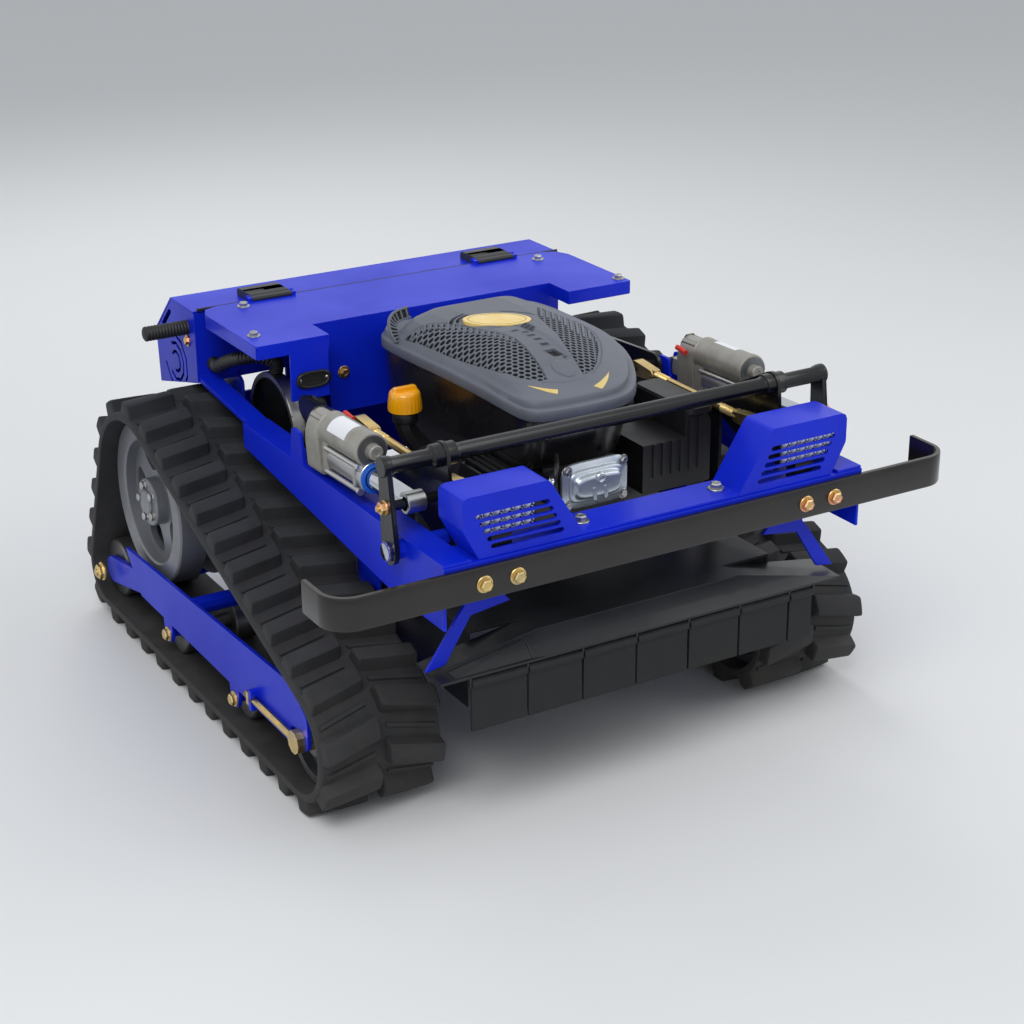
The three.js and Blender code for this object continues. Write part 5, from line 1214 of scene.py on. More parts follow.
    def _spools(self, shop: Workshop) -> None:
        """Smooth idler, rear roller and road rollers in place of the model's facets.

        Args:
            shop: Makes the pieces.
        """
        s, hand = self.side.value, self.side.hand
        mid = (self.tread_inner + self.tread_outer) / 2
        spots = {
            "front_idler": (self.route.idler, 12.5, 16.0),
            "rear_roller": (self.route.roller, 10.5, 0.0),
            "road_roller_1": (self.road_rollers[0], 8.5, 0.0),
            "road_roller_2": (self.road_rollers[1], 8.5, 0.0),
        }
        for name, ((y, z, seat), bore, dish) in spots.items():
            rim = seat * math.cos(math.pi / 16) - 0.4
            floor = seat - 26
            face = self.tread_inner
            dished = [(30, face), (32, face + dish), (rim - 17, face + dish), (rim - 15, face)] if dish else []
            half = [
                (bore, face), *dished, (rim - 3, face), (rim, face + 3),
                (rim, mid - self.groove - 2), (rim - 2, mid - self.groove), (floor, mid - self.groove),
            ]
            loop = half + [(r, 2 * mid - x) for r, x in reversed(half)]
            form = Form().lathe(Axis.X, (y, z), [(r, s * x) for r, x in [*loop, loop[0]]], 64)
            shop.piece(f"{hand}_{name}_turned", form, shop.palette.steel, f"{hand}_{name}", stands_for=f"{hand}_{name}")

    def _tension(self, shop: Workshop) -> None:
        """Threaded tension screw, the road rollers' bolts and the rear arm's nut.

        Args:
            shop: Makes the pieces.
        """
        s, hand = self.side.value, self.side.hand
        shop.dress(shop.palette.yellow_zinc, f"{hand}_idler_axle")
        along = np.linspace(*self.screw_ends, 46)
        path = on_plane(Axis.Y, s * self.screw_x, self.route.idler[1], along)
        thread = Form().tube(path, 5.7 + 0.35 * np.cos(np.arange(len(along)) * np.pi), 20)
        shop.piece(f"{hand}_tension_thread", thread, shop.palette.zinc, f"{hand}_idler_axle")
        gold, outward = shop.palette.yellow_zinc, (s, 0, 0)
        caps = Fasteners(Head.HEX, 17, 7, 13)
        places = [(s * self.beam_face, y, z) for y, z, _ in reversed(self.road_rollers)]
        shop.fasten(f"{hand}_roller_bolts", caps, places, outward, gold, "chassis")
        big = Fasteners(Head.NUT, 24, 9, 17, 3)
        places = [(s * self.outer, *self.route.roller[:2])]
        shop.fasten(f"{hand}_arm_nuts", big, places, outward, gold, "chassis")


# Engine


@dataclass
class ShroudShape:
    """The fan shroud's outer surface: one rim outline, stretched to the four sides of each loop."""

    rim: tuple[Pair, ...] = (
        (-118, -345), (-111, -372), (-92, -385), (-56, -391), (-10, -392), (30, -389), (60, -378), (86, -356),
        (112, -321), (140, -274), (162, -228), (179, -180), (188, -130), (190, -80), (189, -20), (186, 40),
        (174, 86), (146, 104),
        (90, 107), (20, 107), (-60, 106), (-108, 99), (-130, 72), (-133, 20), (-129, -54), (-124, -115), (-121, -175),
        (-119, -240), (-119, -297),
    )
    tub: tuple[tuple[float, float, float, float, float], ...] = (
        (480, -122, 172, -356, 90), (500, -124, 175, -362, 93), (540, -127, 181, -372, 99), (560, -128, 184, -377, 102),
        (566, -128.5, 185, -379, 103), (567.4, -128.8, 185.4, -380, 103.3), (567.6, -132.4, 189.2, -390.5, 106.6),
        (569, -133, 190, -392, 107), (581, -133, 190, -392, 107), (584.5, -132, 189, -390.6, 106.4),
        (585.6, -129.6, 186.6, -387, 105.4),
    )
    smooth: tuple[tuple[float, float, float, float, float], ...] = (
        (587.2, -128.6, 185, -384, 105.2), (588.8, -127.7, 183.8, -381, 104.9), (590.6, -126.6, 182.6, -378, 104.6),
        (592.6, -125.6, 181.6, -375, 104.4), (594.2, -124.6, 180.7, -372.4, 104.2),
    )
    stepped: tuple[tuple[float, float, float, float, float], ...] = (
        (585.9, -128.4, 184.4, -380, 105.2), (585.2, -127.4, 182.8, -376, 104.9), (585.6, -126.8, 182.2, -374.4, 104.6),
        (592.6, -126.2, 181.6, -373.6, 104.4), (594.8, -125, 180.7, -372, 104.2),
    )
    crown: tuple[tuple[float, float, float, float, float, float], ...] = (
        (0.00, 595.2, -124, 180, -371, 104), (0.12, 599, -120, 172, -350, 62), (0.35, 608, -113, 152, -318, 52),
        (0.60, 621, -98, 122, -270, 42), (0.80, 632, -70, 97, -215, 30), (1.00, 638, -40, 62, -160, 12),
    )
    left_mesh: tuple[Pair, ...] = (
        (-123, 1), (-116, 5), (-109, 0), (-101, -10), (-89, -22), (-74, -44), (-63, -75), (-51, -117), (-38, -159),
        (-28, -187), (-30, -222), (-36, -262), (-42, -292), (-48, -317), (-61, -317), (-86, -299), (-98, -262),
        (-103, -206), (-108, -152), (-113, -96), (-118, -41),
    )
    right_mesh: tuple[Pair, ...] = (
        (91, -59), (60, -112), (50, -159), (45, -192), (38, -221), (30, -252), (22, -288), (13, -323), (33, -316),
        (58, -291), (90, -246), (113, -206), (127, -169), (133, -136), (126, -118), (113, -101), (98, -86),
    )
    hood_line: tuple[Pair, ...] = (
        (-62, -322), (-50, -325), (-26, -333), (6, -331), (32, -320), (61, -295), (93, -251), (117, -210), (133, -169),
        (139, -136), (132, -112),
    )
    spine_line: tuple[Pair, ...] = (
        (-34, -136), (-8, -139), (4, -150), (9, -171), (13, -195), (13, -217), (13, -240), (9, -270),
    )
    badge: tuple[float, float, float, float] = (-7, -96, 55, 33)
    badge_turn: float = -0.534
    spine_slots: tuple[tuple[float, float, float, float], ...] = (
        (-13, -161, 11, 3), (-1, -173, 12, 4.4), (1, -188, 13, 5.4), (3, -205, 13, 6.4), (3.5, -224.5, 14, 8),
        (3, -254, 19, 23),
    )
    slot_lean: float = -0.12
    right_slots: Pair = (13.5, -145.0)

    def __post_init__(self) -> None:
        """Scales the rim's closed curve to a box of -1 to 1 and tables its radius by angle."""
        line = closed_curve(np.array(self.rim, float), 480)
        low, high = line.min(0), line.max(0)
        self.unit = (2 * line - low - high) / (high - low)
        angle = np.arctan2(self.unit[:, 1], self.unit[:, 0])
        order = np.argsort(angle)
        self._angle, self._reach = angle[order], np.hypot(self.unit[:, 0], self.unit[:, 1])[order]

    def sizes(self, t: Array) -> tuple[Array, ...]:
        """Height and the four sides of the loop at a share of the crown."""
        table = np.array(self.crown)
        return tuple(np.interp(t, table[:, 0], table[:, column]) for column in range(1, 6))

    def loops(self, rows: Array) -> Array:
        """Stacks the rim's outline, stretched to each row's left, right, front and rear.

        Args:
            rows: Height and four sides of each loop.

        Returns:
            Points as (rows, outline, 3).
        """
        z, left, right, front, rear = (column[:, None] for column in rows.T)
        x = (left + right) / 2 + (right - left) / 2 * self.unit[:, 0]
        y = (front + rear) / 2 + (rear - front) / 2 * self.unit[:, 1]
        return on_plane(Axis.Z, x, y, np.broadcast_to(z, x.shape))

    def height(self, x: Array, y: Array) -> Array:
        """Height of the crown over a place.

        The share t is found by halving: a place lies outside the loop of share t where its distance from
        the loop's middle, in half sides, is over the unit outline's radius, and loops only shrink as t rises.

        Args:
            x: Places across.
            y: Places along.

        Returns:
            One height for each place.
        """
        low, high = np.zeros_like(x, float), np.ones_like(x, float)
        for _ in range(24):
            t = (low + high) / 2
            _, left, right, front, rear = self.sizes(t)
            u, v = (2 * x - left - right) / (right - left), (2 * y - front - rear) / (rear - front)
            outside = np.hypot(u, v) > np.interp(np.arctan2(v, u), self._angle, self._reach, period=2 * np.pi)
            low, high = np.where(outside, low, t), np.where(outside, t, high)
        return self.sizes((low + high) / 2)[0]

    def badge_points(self, scale: float, count: int = 72) -> Array:
        """The oval badge's outline at a scale, turned to follow the shroud."""
        return self._by_badge(circle(1, count) * scale)

    def _by_badge(self, points: Array) -> Array:
        """Places given in half sizes of the badge: stretched, turned and moved to it.

        Args:
            points: Places in half sizes of the badge.

        Returns:
            Places on the machine, two columns.
        """
        x, y, a, b = self.badge
        c, s = math.cos(self.badge_turn), math.sin(self.badge_turn)
        return (points * np.array([a, b])) @ np.array([[c, s], [-s, c]]) + np.array([x, y])

    def slots(self) -> list[Array]:
        """Outlines of the openings beside the spine and round the badge, whose floors are painted shade.

        Returns:
            One outline for each opening.
        """
        found = []
        for x, y, wide, long in self.spine_slots:
            corners = [
                (x + across * wide / 2 + end * self.slot_lean * long, y + end * long / 2, 0.8)
                for across, end in ((-1, -1), (1, -1), (1, 1), (-1, 1))
            ]
            found.append(rounded(corners, 3))
        for step in range(3):
            middle = np.array(self.right_slots) + step * np.array([1.2, -9.5])
            along, across = np.array([9.5, 6.8]), np.array([1.3, -2.0])
            found.append(middle + np.array([-along - across, along - across, along + across, -along + across]))
        found.extend(self._louvre(grow, 2.4, 3.2, 0.065) for grow in (1.17, 1.36))
        found.append(self._louvre(1.34, 0.62, 1.5, 0.03))
        return found

    def _louvre(self, grow: float, start: float, end: float, half: float) -> Array:
        """A slot along part of an oval about the badge, between two angles, of a half width in badge sizes.

        Args:
            grow: The oval's size.
            start: First angle.
            end: Last angle.
            half: Half the slot's width at its middle.

        Returns:
            The outline.
        """
        angle = np.linspace(start, end, 12)
        arc = np.stack([np.cos(angle), np.sin(angle)], -1)
        taper = half * np.sin(np.linspace(0.25, np.pi - 0.25, 12))[:, None]
        return self._by_badge(np.concatenate([arc * (grow + taper), (arc * (grow - taper))[::-1]]))


@dataclass
class EngineDress:
    """The engine's visible pieces, all on the deck."""

    shape: ShroudShape = field(default_factory=ShroudShape)
    mesh_depth: float = 4.5
    cell: float = 6.3
    web_sink: float = 0.9
    shoulder: float = 597.0
    badge_level: float = 638.7
    button: Pair = (-8, -299)
    head_face: float = -400.3
    cover: tuple[float, float, float, float] = (-73, 424, 45, 498)
    filler: Pair = (-168, -78)
    cap_low: float = 508.3
    guard: Pair = (471.0, 477.0)
    filter_lid: tuple[float, float, float, float] = (188, -358, 238, -202)

    def build(self, shop: Workshop) -> None:
        """Makes the shroud and what stands round it.

        Args:
            shop: Makes the pieces.
        """
        paint = shop.palette
        shop.piece("fan_shroud", self._shroud(False), paint.shroud, "deck", sharp=50, stands_for="engine_shroud")
        shop.piece("shroud_tub", self._shroud(True), paint.tub, "deck", sharp=50)
        shape = self.shape
        for name, outline, edge, reach in (
            ("left", shape.left_mesh, shape.left_mesh[3:10], 15),
            ("right", shape.right_mesh, shape.right_mesh[12:] + shape.right_mesh[:1], 42),
        ):
            area = np.array(outline, float)
            shop.piece(f"{name}_honeycomb", self._honeycomb(area, False), paint.shroud, "deck", sharp=40)
            # The hole walls and the floor under each mesh are near-black painted shade, for the shadow inside the
            # honeycomb.
            shop.piece(f"{name}_honeycomb_wells", self._honeycomb(area, True), paint.pit, "deck", sharp=40)
            slats = self._flutes(area, np.array(edge, float), reach)
            shop.piece(f"{name}_flutes", slats, paint.shroud, "deck", sharp=40)
            shop.piece(f"{name}_honeycomb_floor", self._floor(area, 2.6), paint.pit, "deck")
        shop.piece("slot_frames", self._slot_frames(False), paint.shroud, "deck", sharp=40)
        # The slot floors are painted shade, for the shadow inside the openings.
        shop.piece("slot_floors", self._slot_frames(True), paint.pit, "deck")
        self._badge(shop)
        shop.piece("swooshes", self._swooshes(), paint.stripe, "deck")
        shop.piece("recoil_grille", self._recoil_grille(False), paint.shroud, "deck", 0.5)
        # The grille's backing is painted shade, for the shadow behind the ribs.
        shop.piece("recoil_grille_backing", self._recoil_grille(True), paint.pit, "deck")
        cover = self._valve_cover()
        shop.piece("pressed_valve_cover", cover, paint.blue_chrome, "deck", sharp=60, stands_for="valve_cover")
        screws = Fasteners(Head.HEX, 10, 5, 8)
        x0, z0, x1, z1 = self.cover
        places = [(x, self.head_face, z) for z in (z1 - 9, z0 + 9) for x in (x0 + 9, x1 - 9)]
        shop.fasten("valve_cover_screws", screws, places, (0, -1, 0), paint.zinc, "deck")
        self._filler(shop)
        shop.piece("head_fins", self._fins(), paint.engine, "deck", 0.4)
        shop.piece("guard_bars", self._muffler_guard(), paint.black, "deck", 0.8)
        shop.piece("intake_cover", self._intake(), paint.plastic, "deck", 1.6, 3)
        self._ignition(shop)
        shop.dress(paint.engine, "crankcase")
        shop.dress(paint.black, "muffler")
        shop.dress(paint.plastic, "air_filter_box")
        shop.dress(paint.steel, "blade_spindle")

    def _carve(self, x: Array, y: Array) -> Array:
        """How far the surface is sunk at each place: mesh beds, hood groove, the spine's step, slots, badge seat.

        Args:
            x: Places across.
            y: Places along.

        Returns:
            One depth for each place.
        """
        points = np.stack([x, y], -1)
        depth = np.zeros_like(x)
        for outline in (self.shape.left_mesh, self.shape.right_mesh):
            gap = edge_distance(points, np.array(outline))
            depth = np.maximum(depth, (self.mesh_depth + 3) * smoothstep(-gap / 1.4))
        groove = line_distance(points, np.array(self.shape.hood_line))
        depth = np.maximum(depth, 2.4 * np.exp(-((groove / 1.5) ** 2)))
        step = line_distance(points, np.array(self.shape.spine_line))
        depth = np.maximum(depth, 2.6 * smoothstep(step / 0.9) * (1 - smoothstep((step - 4) / 12)))
        for outline in self.shape.slots():
            depth = np.maximum(depth, 6 * smoothstep((1.6 - edge_distance(points, outline)) / 1.2))
        seat = edge_distance(points, self.shape.badge_points(1.04, 40))
        return np.maximum(depth, 1.2 * smoothstep(-seat / 1.2))

    def _shroud(self, tub: bool) -> Form:
        """The shroud's skin: stacked loops up to the shoulder, then a fine grid sunk by the recesses.

        Towards the nose the shoulder is a ledge and a small wall, elsewhere a slope, and the two are mixed by
        how far forward each point lies. The tub below the cover is a piece of its own.

        Args:
            tub: Makes the dark tub in place of the cover.

        Returns:
            The form.
        """
        shape = self.shape
        sides = shape.loops(np.array(shape.tub))
        if tub:
            return Form().tower(sides[:6])
        forward = smoothstep((-0.32 - shape.unit[:, 1]) / 0.3)[None, :, None]
        shoulder = shape.loops(np.array(shape.smooth)) * (1 - forward) + shape.loops(np.array(shape.stepped)) * forward
        crown = shape.loops(np.stack(shape.sizes(np.linspace(0, 1, 150)), -1))
        centre = crown[-1].mean(0)
        cap = centre + (crown[-1] - centre) * np.linspace(1, 0.004, 50)[1:, None, None]
        top = np.concatenate([crown, cap])
        top[..., 2] -= self._carve(top[..., 0], top[..., 1])
        skin = np.concatenate([sides[5:], shoulder, top])
        return Form().sheet(skin, wrap_columns=True).lids(skin[0]).lids(skin[-1])

    def _cells(self, outline: Array) -> Array:
        """Middles of the honeycomb's cells: rows offset by half a cell, kept inside the area and off the shoulder.

        Args:
            outline: The area's edge.

        Returns:
            The middles, two columns.
        """
        pitch = self.cell * math.sqrt(3)
        low, high = outline.min(0) - self.cell, outline.max(0) + self.cell
        rows = np.arange(low[1], high[1], 1.5 * self.cell)
        x, y = np.meshgrid(np.arange(low[0], high[0], pitch), rows)
        x = x + (np.arange(len(rows)) % 2)[:, None] * pitch / 2
        centres = np.stack([x.ravel(), y.ravel()], -1)
        high_up = self.shape.height(centres[:, 0], centres[:, 1]) >= self.shoulder
        return centres[(edge_distance(centres, outline) < self.cell * 0.4) & high_up]

    def _honeycomb(self, outline: Array, wells: bool) -> Form:
        """Cells over an area: the web runs from hexagon to round hole, and the wells go down inside the holes, dark as
        painted shade.

        Args:
            outline: The area's edge.
            wells: Makes the hole walls, in painted shade, in place of the web.

        Returns:
            The form.
        """
        centres = self._cells(outline)
        angle = np.pi / 2 + np.pi / 6 * np.arange(12)
        hexagon = np.where(np.arange(12) % 2, math.cos(math.pi / 6), 1.0)
        webs = [(hexagon, self.mesh_depth), (hexagon, 0.15), (hexagon * 0.93, 0.0), (0.70, 0.1), (0.66, 0.9)]
        holes = [(0.665, 0.8), (0.65, self.mesh_depth + 1), (0.01, self.mesh_depth + 1)]
        levels = []
        for size, drop in holes if wells else webs:
            ring = (np.stack([np.cos(angle), np.sin(angle)], -1).T * size).T * self.cell
            points = centres[:, None] + ring[None]
            z = self.shape.height(points[..., 0], points[..., 1]) - drop - self.web_sink
            levels.append(np.concatenate([points, z[..., None]], -1))
        loops = np.stack(levels, 1)
        gap = edge_distance(loops[:, 0, :, :2], outline)
        loops[..., 2] -= 3.2 * smoothstep((gap + 1.0) / 3.0)[:, None, :]
        return Form().sheet(loops, wrap_columns=True)

    def _flutes(self, outline: Array, line: Array, depth: float) -> Form:
        """Slats over the top of a mesh, each a low arch that runs from its upper edge down the surface.

        Args:
            outline: The mesh's edge.
            line: Its upper edge.
            depth: How far down from that edge the slats reach.

        Returns:
            The form.
        """
        ahead = np.array([0.5, math.sqrt(0.75)])
        pitch = self.cell * math.sqrt(3)
        form = Form()
        run = np.arange(-260.0, 260.0, 1.5)
        for start in np.arange(-260, 260, pitch):
            places = np.array([start, -150.0]) + run[:, None] * ahead
            held = places[(edge_distance(places, outline) < -0.5) & (np.abs(line_distance(places, line)) < depth)]
            if len(held) < 4:
                continue
            ends = held[0] + np.linspace(0, 1, 8)[:, None] * (held[-1] - held[0])
            across = np.array([-ahead[1], ahead[0]]) * pitch * 0.24
            shares, rises = np.array([-1, -0.7, 0.7, 1]), np.array([-3.5, 0.25, 0.25, -3.5])
            points = ends[:, None] + shares[None, :, None] * across
            z = self.shape.height(points[..., 0], points[..., 1]) + rises - 0.2
            form.tower(np.concatenate([points, z[..., None]], -1))
        return form

    def _floor(self, outline: Array, sink: float) -> Form:
        """A floor of painted shade under an area: rings of the outline shrink to its middle and lie under the surface.

        Args:
            outline: The area's edge.
            sink: Depth below the mesh.

        Returns:
            The form.
        """
        middle = outline.mean(0)
        shares = np.linspace(1.0, 0.02, 14)[:, None, None]
        points = middle + (outline[None] - middle) * shares
        z = self.shape.height(points[..., 0], points[..., 1]) - self.mesh_depth - sink
        grid = np.concatenate([points, z[..., None]], -1)
        return Form().sheet(grid, wrap_columns=True).lids(grid[-1])

    def _slot_frames(self, floors: bool) -> Form:
        """Crisp frames round the slots, or the floors of painted shade under them.

        Args:
            floors: Makes the painted shade floors in place of the frames.

        Returns:
            The form.
        """
        form = Form()
        for outline in self.shape.slots():
            middle = outline.mean(0)
            away = outline - middle
            away = away / np.linalg.norm(away, axis=1, keepdims=True)
            rings = [(0.3, 4.2), (-0.6, 4.2)] if floors else [(3.4, 1.6), (3.3, -0.12), (0, -0.12), (0, 4.6)]
            levels = [self._on_crown(outline + away * grow, -drop) for grow, drop in rings]
            form.sheet(np.stack(levels), wrap_columns=True)
            if floors:
                form.lids(levels[-1])
        return form

    def _on_crown(self, points: Array, lift: float) -> Array:
        """Lays plane points on the crown, lifted a little."""
        z = self.shape.height(points[..., 0], points[..., 1]) + lift
        return np.concatenate([points, z[..., None]], -1)

    def _badge(self, shop: Workshop) -> None:
        """A bare oval badge, flat on the crown's top, with a fine line inside its edge, and a round button.

        Args:
            shop: Makes the pieces.
        """
        level = self.badge_level
        plate = [(1.0, 633.0), (1.0, level - 0.5), (0.988, level - 0.1), (0.97, level), (0.02, level)]
        line = [(0.86, level - 0.2), (0.86, level + 0.25), (0.845, level + 0.25), (0.845, level - 0.2)]
        plate, line = (
            np.stack([on_plane(Axis.Z, *self.shape.badge_points(scale).T, z) for scale, z in rows])
            for rows in (plate, line)
        )
        shop.piece("oval_badge", Form().tower(plate), shop.palette.badge, "deck")
        form = Form().sheet(line, wrap_rows=True, wrap_columns=True)
        shop.piece("badge_rim_line", form, shop.palette.badge_line, "deck")
        disc = circle(1, 48)
        rings = [(23, -1.5), (23, 0.7), (22, 1.2), (14, 1.5), (0.2, 1.5)]
        dome = [self._on_crown(disc * np.array([r * 0.72, r]) + np.array(self.button), lift) for r, lift in rings]
        shop.piece("round_button", Form().tower(np.stack(dome)), shop.palette.shroud, "deck", sharp=30)

    def _swooshes(self) -> Form:
        """Two plain tapering stripes on the front of the crown.

        Returns:
            The form.
        """
        form = Form()
        for start, bend, end, width in (
            ((-86, -320), (-68, -341), (-51, -352), 13.0),
            ((60, -322), (42, -345), (14, -362), -14.0),
        ):
            t = np.linspace(0.02, 1, 16)[:, None]
            line = (1 - t) ** 2 * np.array(start) + 2 * t * (1 - t) * np.array(bend) + t**2 * np.array(end)
            run = np.gradient(line, axis=0)
            across = np.stack([-run[:, 1], run[:, 0]], -1) / np.linalg.norm(run, axis=1, keepdims=True)
            spread = np.array([-0.5, 0, 0.5])[None, :, None] * width * t[:, None]
            grid = line[:, None] + across[:, None] * spread
            top, under = self._on_crown(grid, 0.45), self._on_crown(grid, -0.6)
            form.sheet(top).sheet(under)
            rim = [np.concatenate([g[0], g[1:-1, -1], g[-1, ::-1], g[1:-1, 0][::-1]]) for g in (top, under)]
            form.sheet(np.stack(rim), wrap_columns=True)
        return form

    def _recoil_grille(self, backing: bool) -> Form:
        """The starter's ribbed arc behind the crown's right corner: two rails and the ribs between them.

        Args:
            backing: Makes the backing between the rails, in painted shade, in place of the rails and ribs.

        Returns:
            The form.
        """
        count = 34
        line = catmull_rom([(-133, 14, 590), (-136, 26, 604), (-130, 42, 620), (-112, 56, 629), (-84, 62, 632)], count)
        run = np.gradient(line, axis=0)
        run /= np.linalg.norm(run, axis=1, keepdims=True)
        inward = np.cross(run, np.array([0.25, -0.9, 0.3]))
        inward /= np.linalg.norm(inward, axis=1, keepdims=True)
        inward *= np.sign((inward * (np.array([-60, 40, 585.0]) - line)).sum(1))[:, None]
        back = np.cross(run, inward)
        form = Form()

        def rail(first: float, last: float, thick: float, sink: float) -> Array:
            """Four corners at each place: between two distances inward, of a thickness, sunk by a little."""
            corners = [(first, sink), (last, sink), (last, sink + thick), (first, sink + thick)]
            return np.stack([line + inward * u + back * v for u, v in corners], 1)

        # The backing is a dark sheet of painted shade between the rails.
        if backing:
            return form.tower(rail(1, 19, 2, 3))
        form.tower(rail(0, 3.2, 5, 0)).tower(rail(17, 20, 5, 0))
        rib = rail(2, 18, 3.6, 0.4)
        for i in range(1, count - 1, 3):
            form.tower(np.stack([rib[i] - run[i] * 1.5, rib[i] + run[i] * 1.5]))
        return form

    def _valve_cover(self) -> Form:
        """A pressed cover: flange, step, ridge and a raised dome with soft corners.

        Returns:
            The form.
        """
        x0, z0, x1, z1 = self.cover
        rows = [
            (0, -395.3, 5), (0, -397.5, 5), (0.8, -399.6, 5), (1.6, -400.4, 5), (9, -400.4, 5), (10, -401, 5),
            (10.6, -402.6, 5), (11.4, -405.5, 5), (12.6, -406.6, 4.6), (15.4, -406.8, 4.4), (17.0, -407.6, 4.2),
            (18.2, -410.6, 4), (19.4, -413.2, 3.8), (21.4, -414.6, 3.6), (25, -415, 3.6), (30, -415, 3.4),
        ]
        loops = []
        for inset, y, power in rows:
            ring = bulged(x0 + inset, x1 - inset, z0 + inset, z1 - inset, power, 96)
            loops.append(on_plane(Axis.Y, *ring.T, y))
        form = Form().tower(np.stack(loops))
        form.lathe(Axis.Y, (-14, 474), [(0, -413), (9, -413), (8, -417.5), (6.4, -418.4), (5, -417.4), (0, -417.4)], 32)
        for x in (-24, -4):
            form.prism(Axis.Y, soft_box(x - 3, 440, x + 3, 460, 2.6, 4), -414, -416.4)
        return form

    def _filler(self, shop: Workshop) -> None:
        """Oil filler tube with its collar, and the orange cap with a grip bar.

        Args:
            shop: Makes the pieces.
        """
        paint = shop.palette
        shop.dress(paint.plastic, "oil_filler_tube")
        collar = [(0, 490), (20, 490), (21, 492), (21, 503), (19, 506), (0, 506)]
        shop.piece("filler_collar", Form().lathe(Axis.Z, self.filler, collar, 40), paint.plastic, "deck", sharp=40)
        x, y = self.filler
        low = self.cap_low
        angle = np.linspace(0, 2 * np.pi, 144, endpoint=False)
        rows = np.array([
            (0, 0), (24, 0), (27.4, 1.2), (28, 4), (27.2, 16), (25.4, 28), (24, 31.6), (21.5, 33.4), (17, 34),
            (0.01, 34.2),
        ])
        fluted = ((rows[:, 1] > 2) & (rows[:, 1] < 27))[:, None]
        radius = rows[:, :1] * (1 - 0.028 * (0.5 + 0.5 * np.cos(24 * angle)) * fluted)
        u, v = x + radius * np.cos(angle), y + radius * np.sin(angle)
        cap = Form().sheet(on_plane(Axis.Z, u, v, low + rows[:, 1:]), wrap_columns=True)
        bar = soft_box(x - 20, y - 5, x + 20, y + 5, 3, 5)
        middle = np.array(self.filler)
        sizes = np.array([(1.15, 32.8), (1.05, 35), (1.0, 38.4), (0.93, 39.8), (0.8, 40.0)])[:, :, None]
        loops = middle + (bar - middle)[None] * sizes[:, :1]
        cap.tower(np.concatenate([loops, np.broadcast_to(low + sizes[:, 1:2], loops.shape[:2] + (1,))], -1))
        shop.piece("orange_filler_cap", cap, paint.orange, "oil_cap", sharp=50, stands_for="oil_filler_cap")

    @staticmethod
    def _fins() -> Form:
        """Thin cooling fins between the head's thick ones and under the shroud's front.

        Returns:
            The form.
        """
        form = Form()
        for y in np.arange(-372, -222, 24.0):
            form.block((-80, 52), (y + 12, y + 15), (430, 479))
        return form

    def _muffler_guard(self) -> Form:
        """Bars of the heat guard over the muffler, running front to rear, in a rounded frame.

        Returns:
            The form.
        """
        low, high = self.guard
        x0, x1, form = -156, -82, Form()
        for x in np.arange(-150, -86, 12.5):
            form.block((x, x + 6), (-386, -238), (low + 0.5, high - 1))
        for front, rear, first, last in ((-392, -384, 8, 2), (-240, -232, 2, 8)):
            bar = rounded([(x0, front, first), (x1, front, first), (x1, rear, last), (x0, rear, last)], 4)
            form.prism(Axis.Z, bar, low, high)
        return form

    def _intake(self) -> Form:
        """The air filter's lid with its clip ridge."""
        lid = Form().prism(Axis.Z, soft_box(*self.filter_lid, 14, 5), 516, 527)
        return lid.block((228, 238.5), (-330, -230), (440, 500))

    def _ignition(self, shop: Workshop) -> None:
        """Spark plug boot and its lead from the shroud, beside the valve cover.

        Args:
            shop: Makes the pieces.
        """
        lead = catmull_rom([(-86, -398, 470), (-88, -404, 486), (-80, -396, 500), (-66, -372, 506)], 28)
        form = Form().tube(lead, 3.6, 14)
        boot = [(-92, -398, 440), (-90, -399, 452), (-88, -399, 462), (-86, -398, 474)]
        form.tube(np.array(boot, float), [8, 8.5, 7.5, 5.5], 20)
        shop.piece("spark_plug_lead", form, shop.palette.plastic, "deck")
        loop = catmull_rom([(-98, -392, 452), (-104, -404, 462), (-98, -408, 478), (-90, -398, 484)], 24)
        shop.piece("breather_hose", Form().tube(loop, 5.0, 16), shop.palette.chrome, "deck")


# Lift linkage


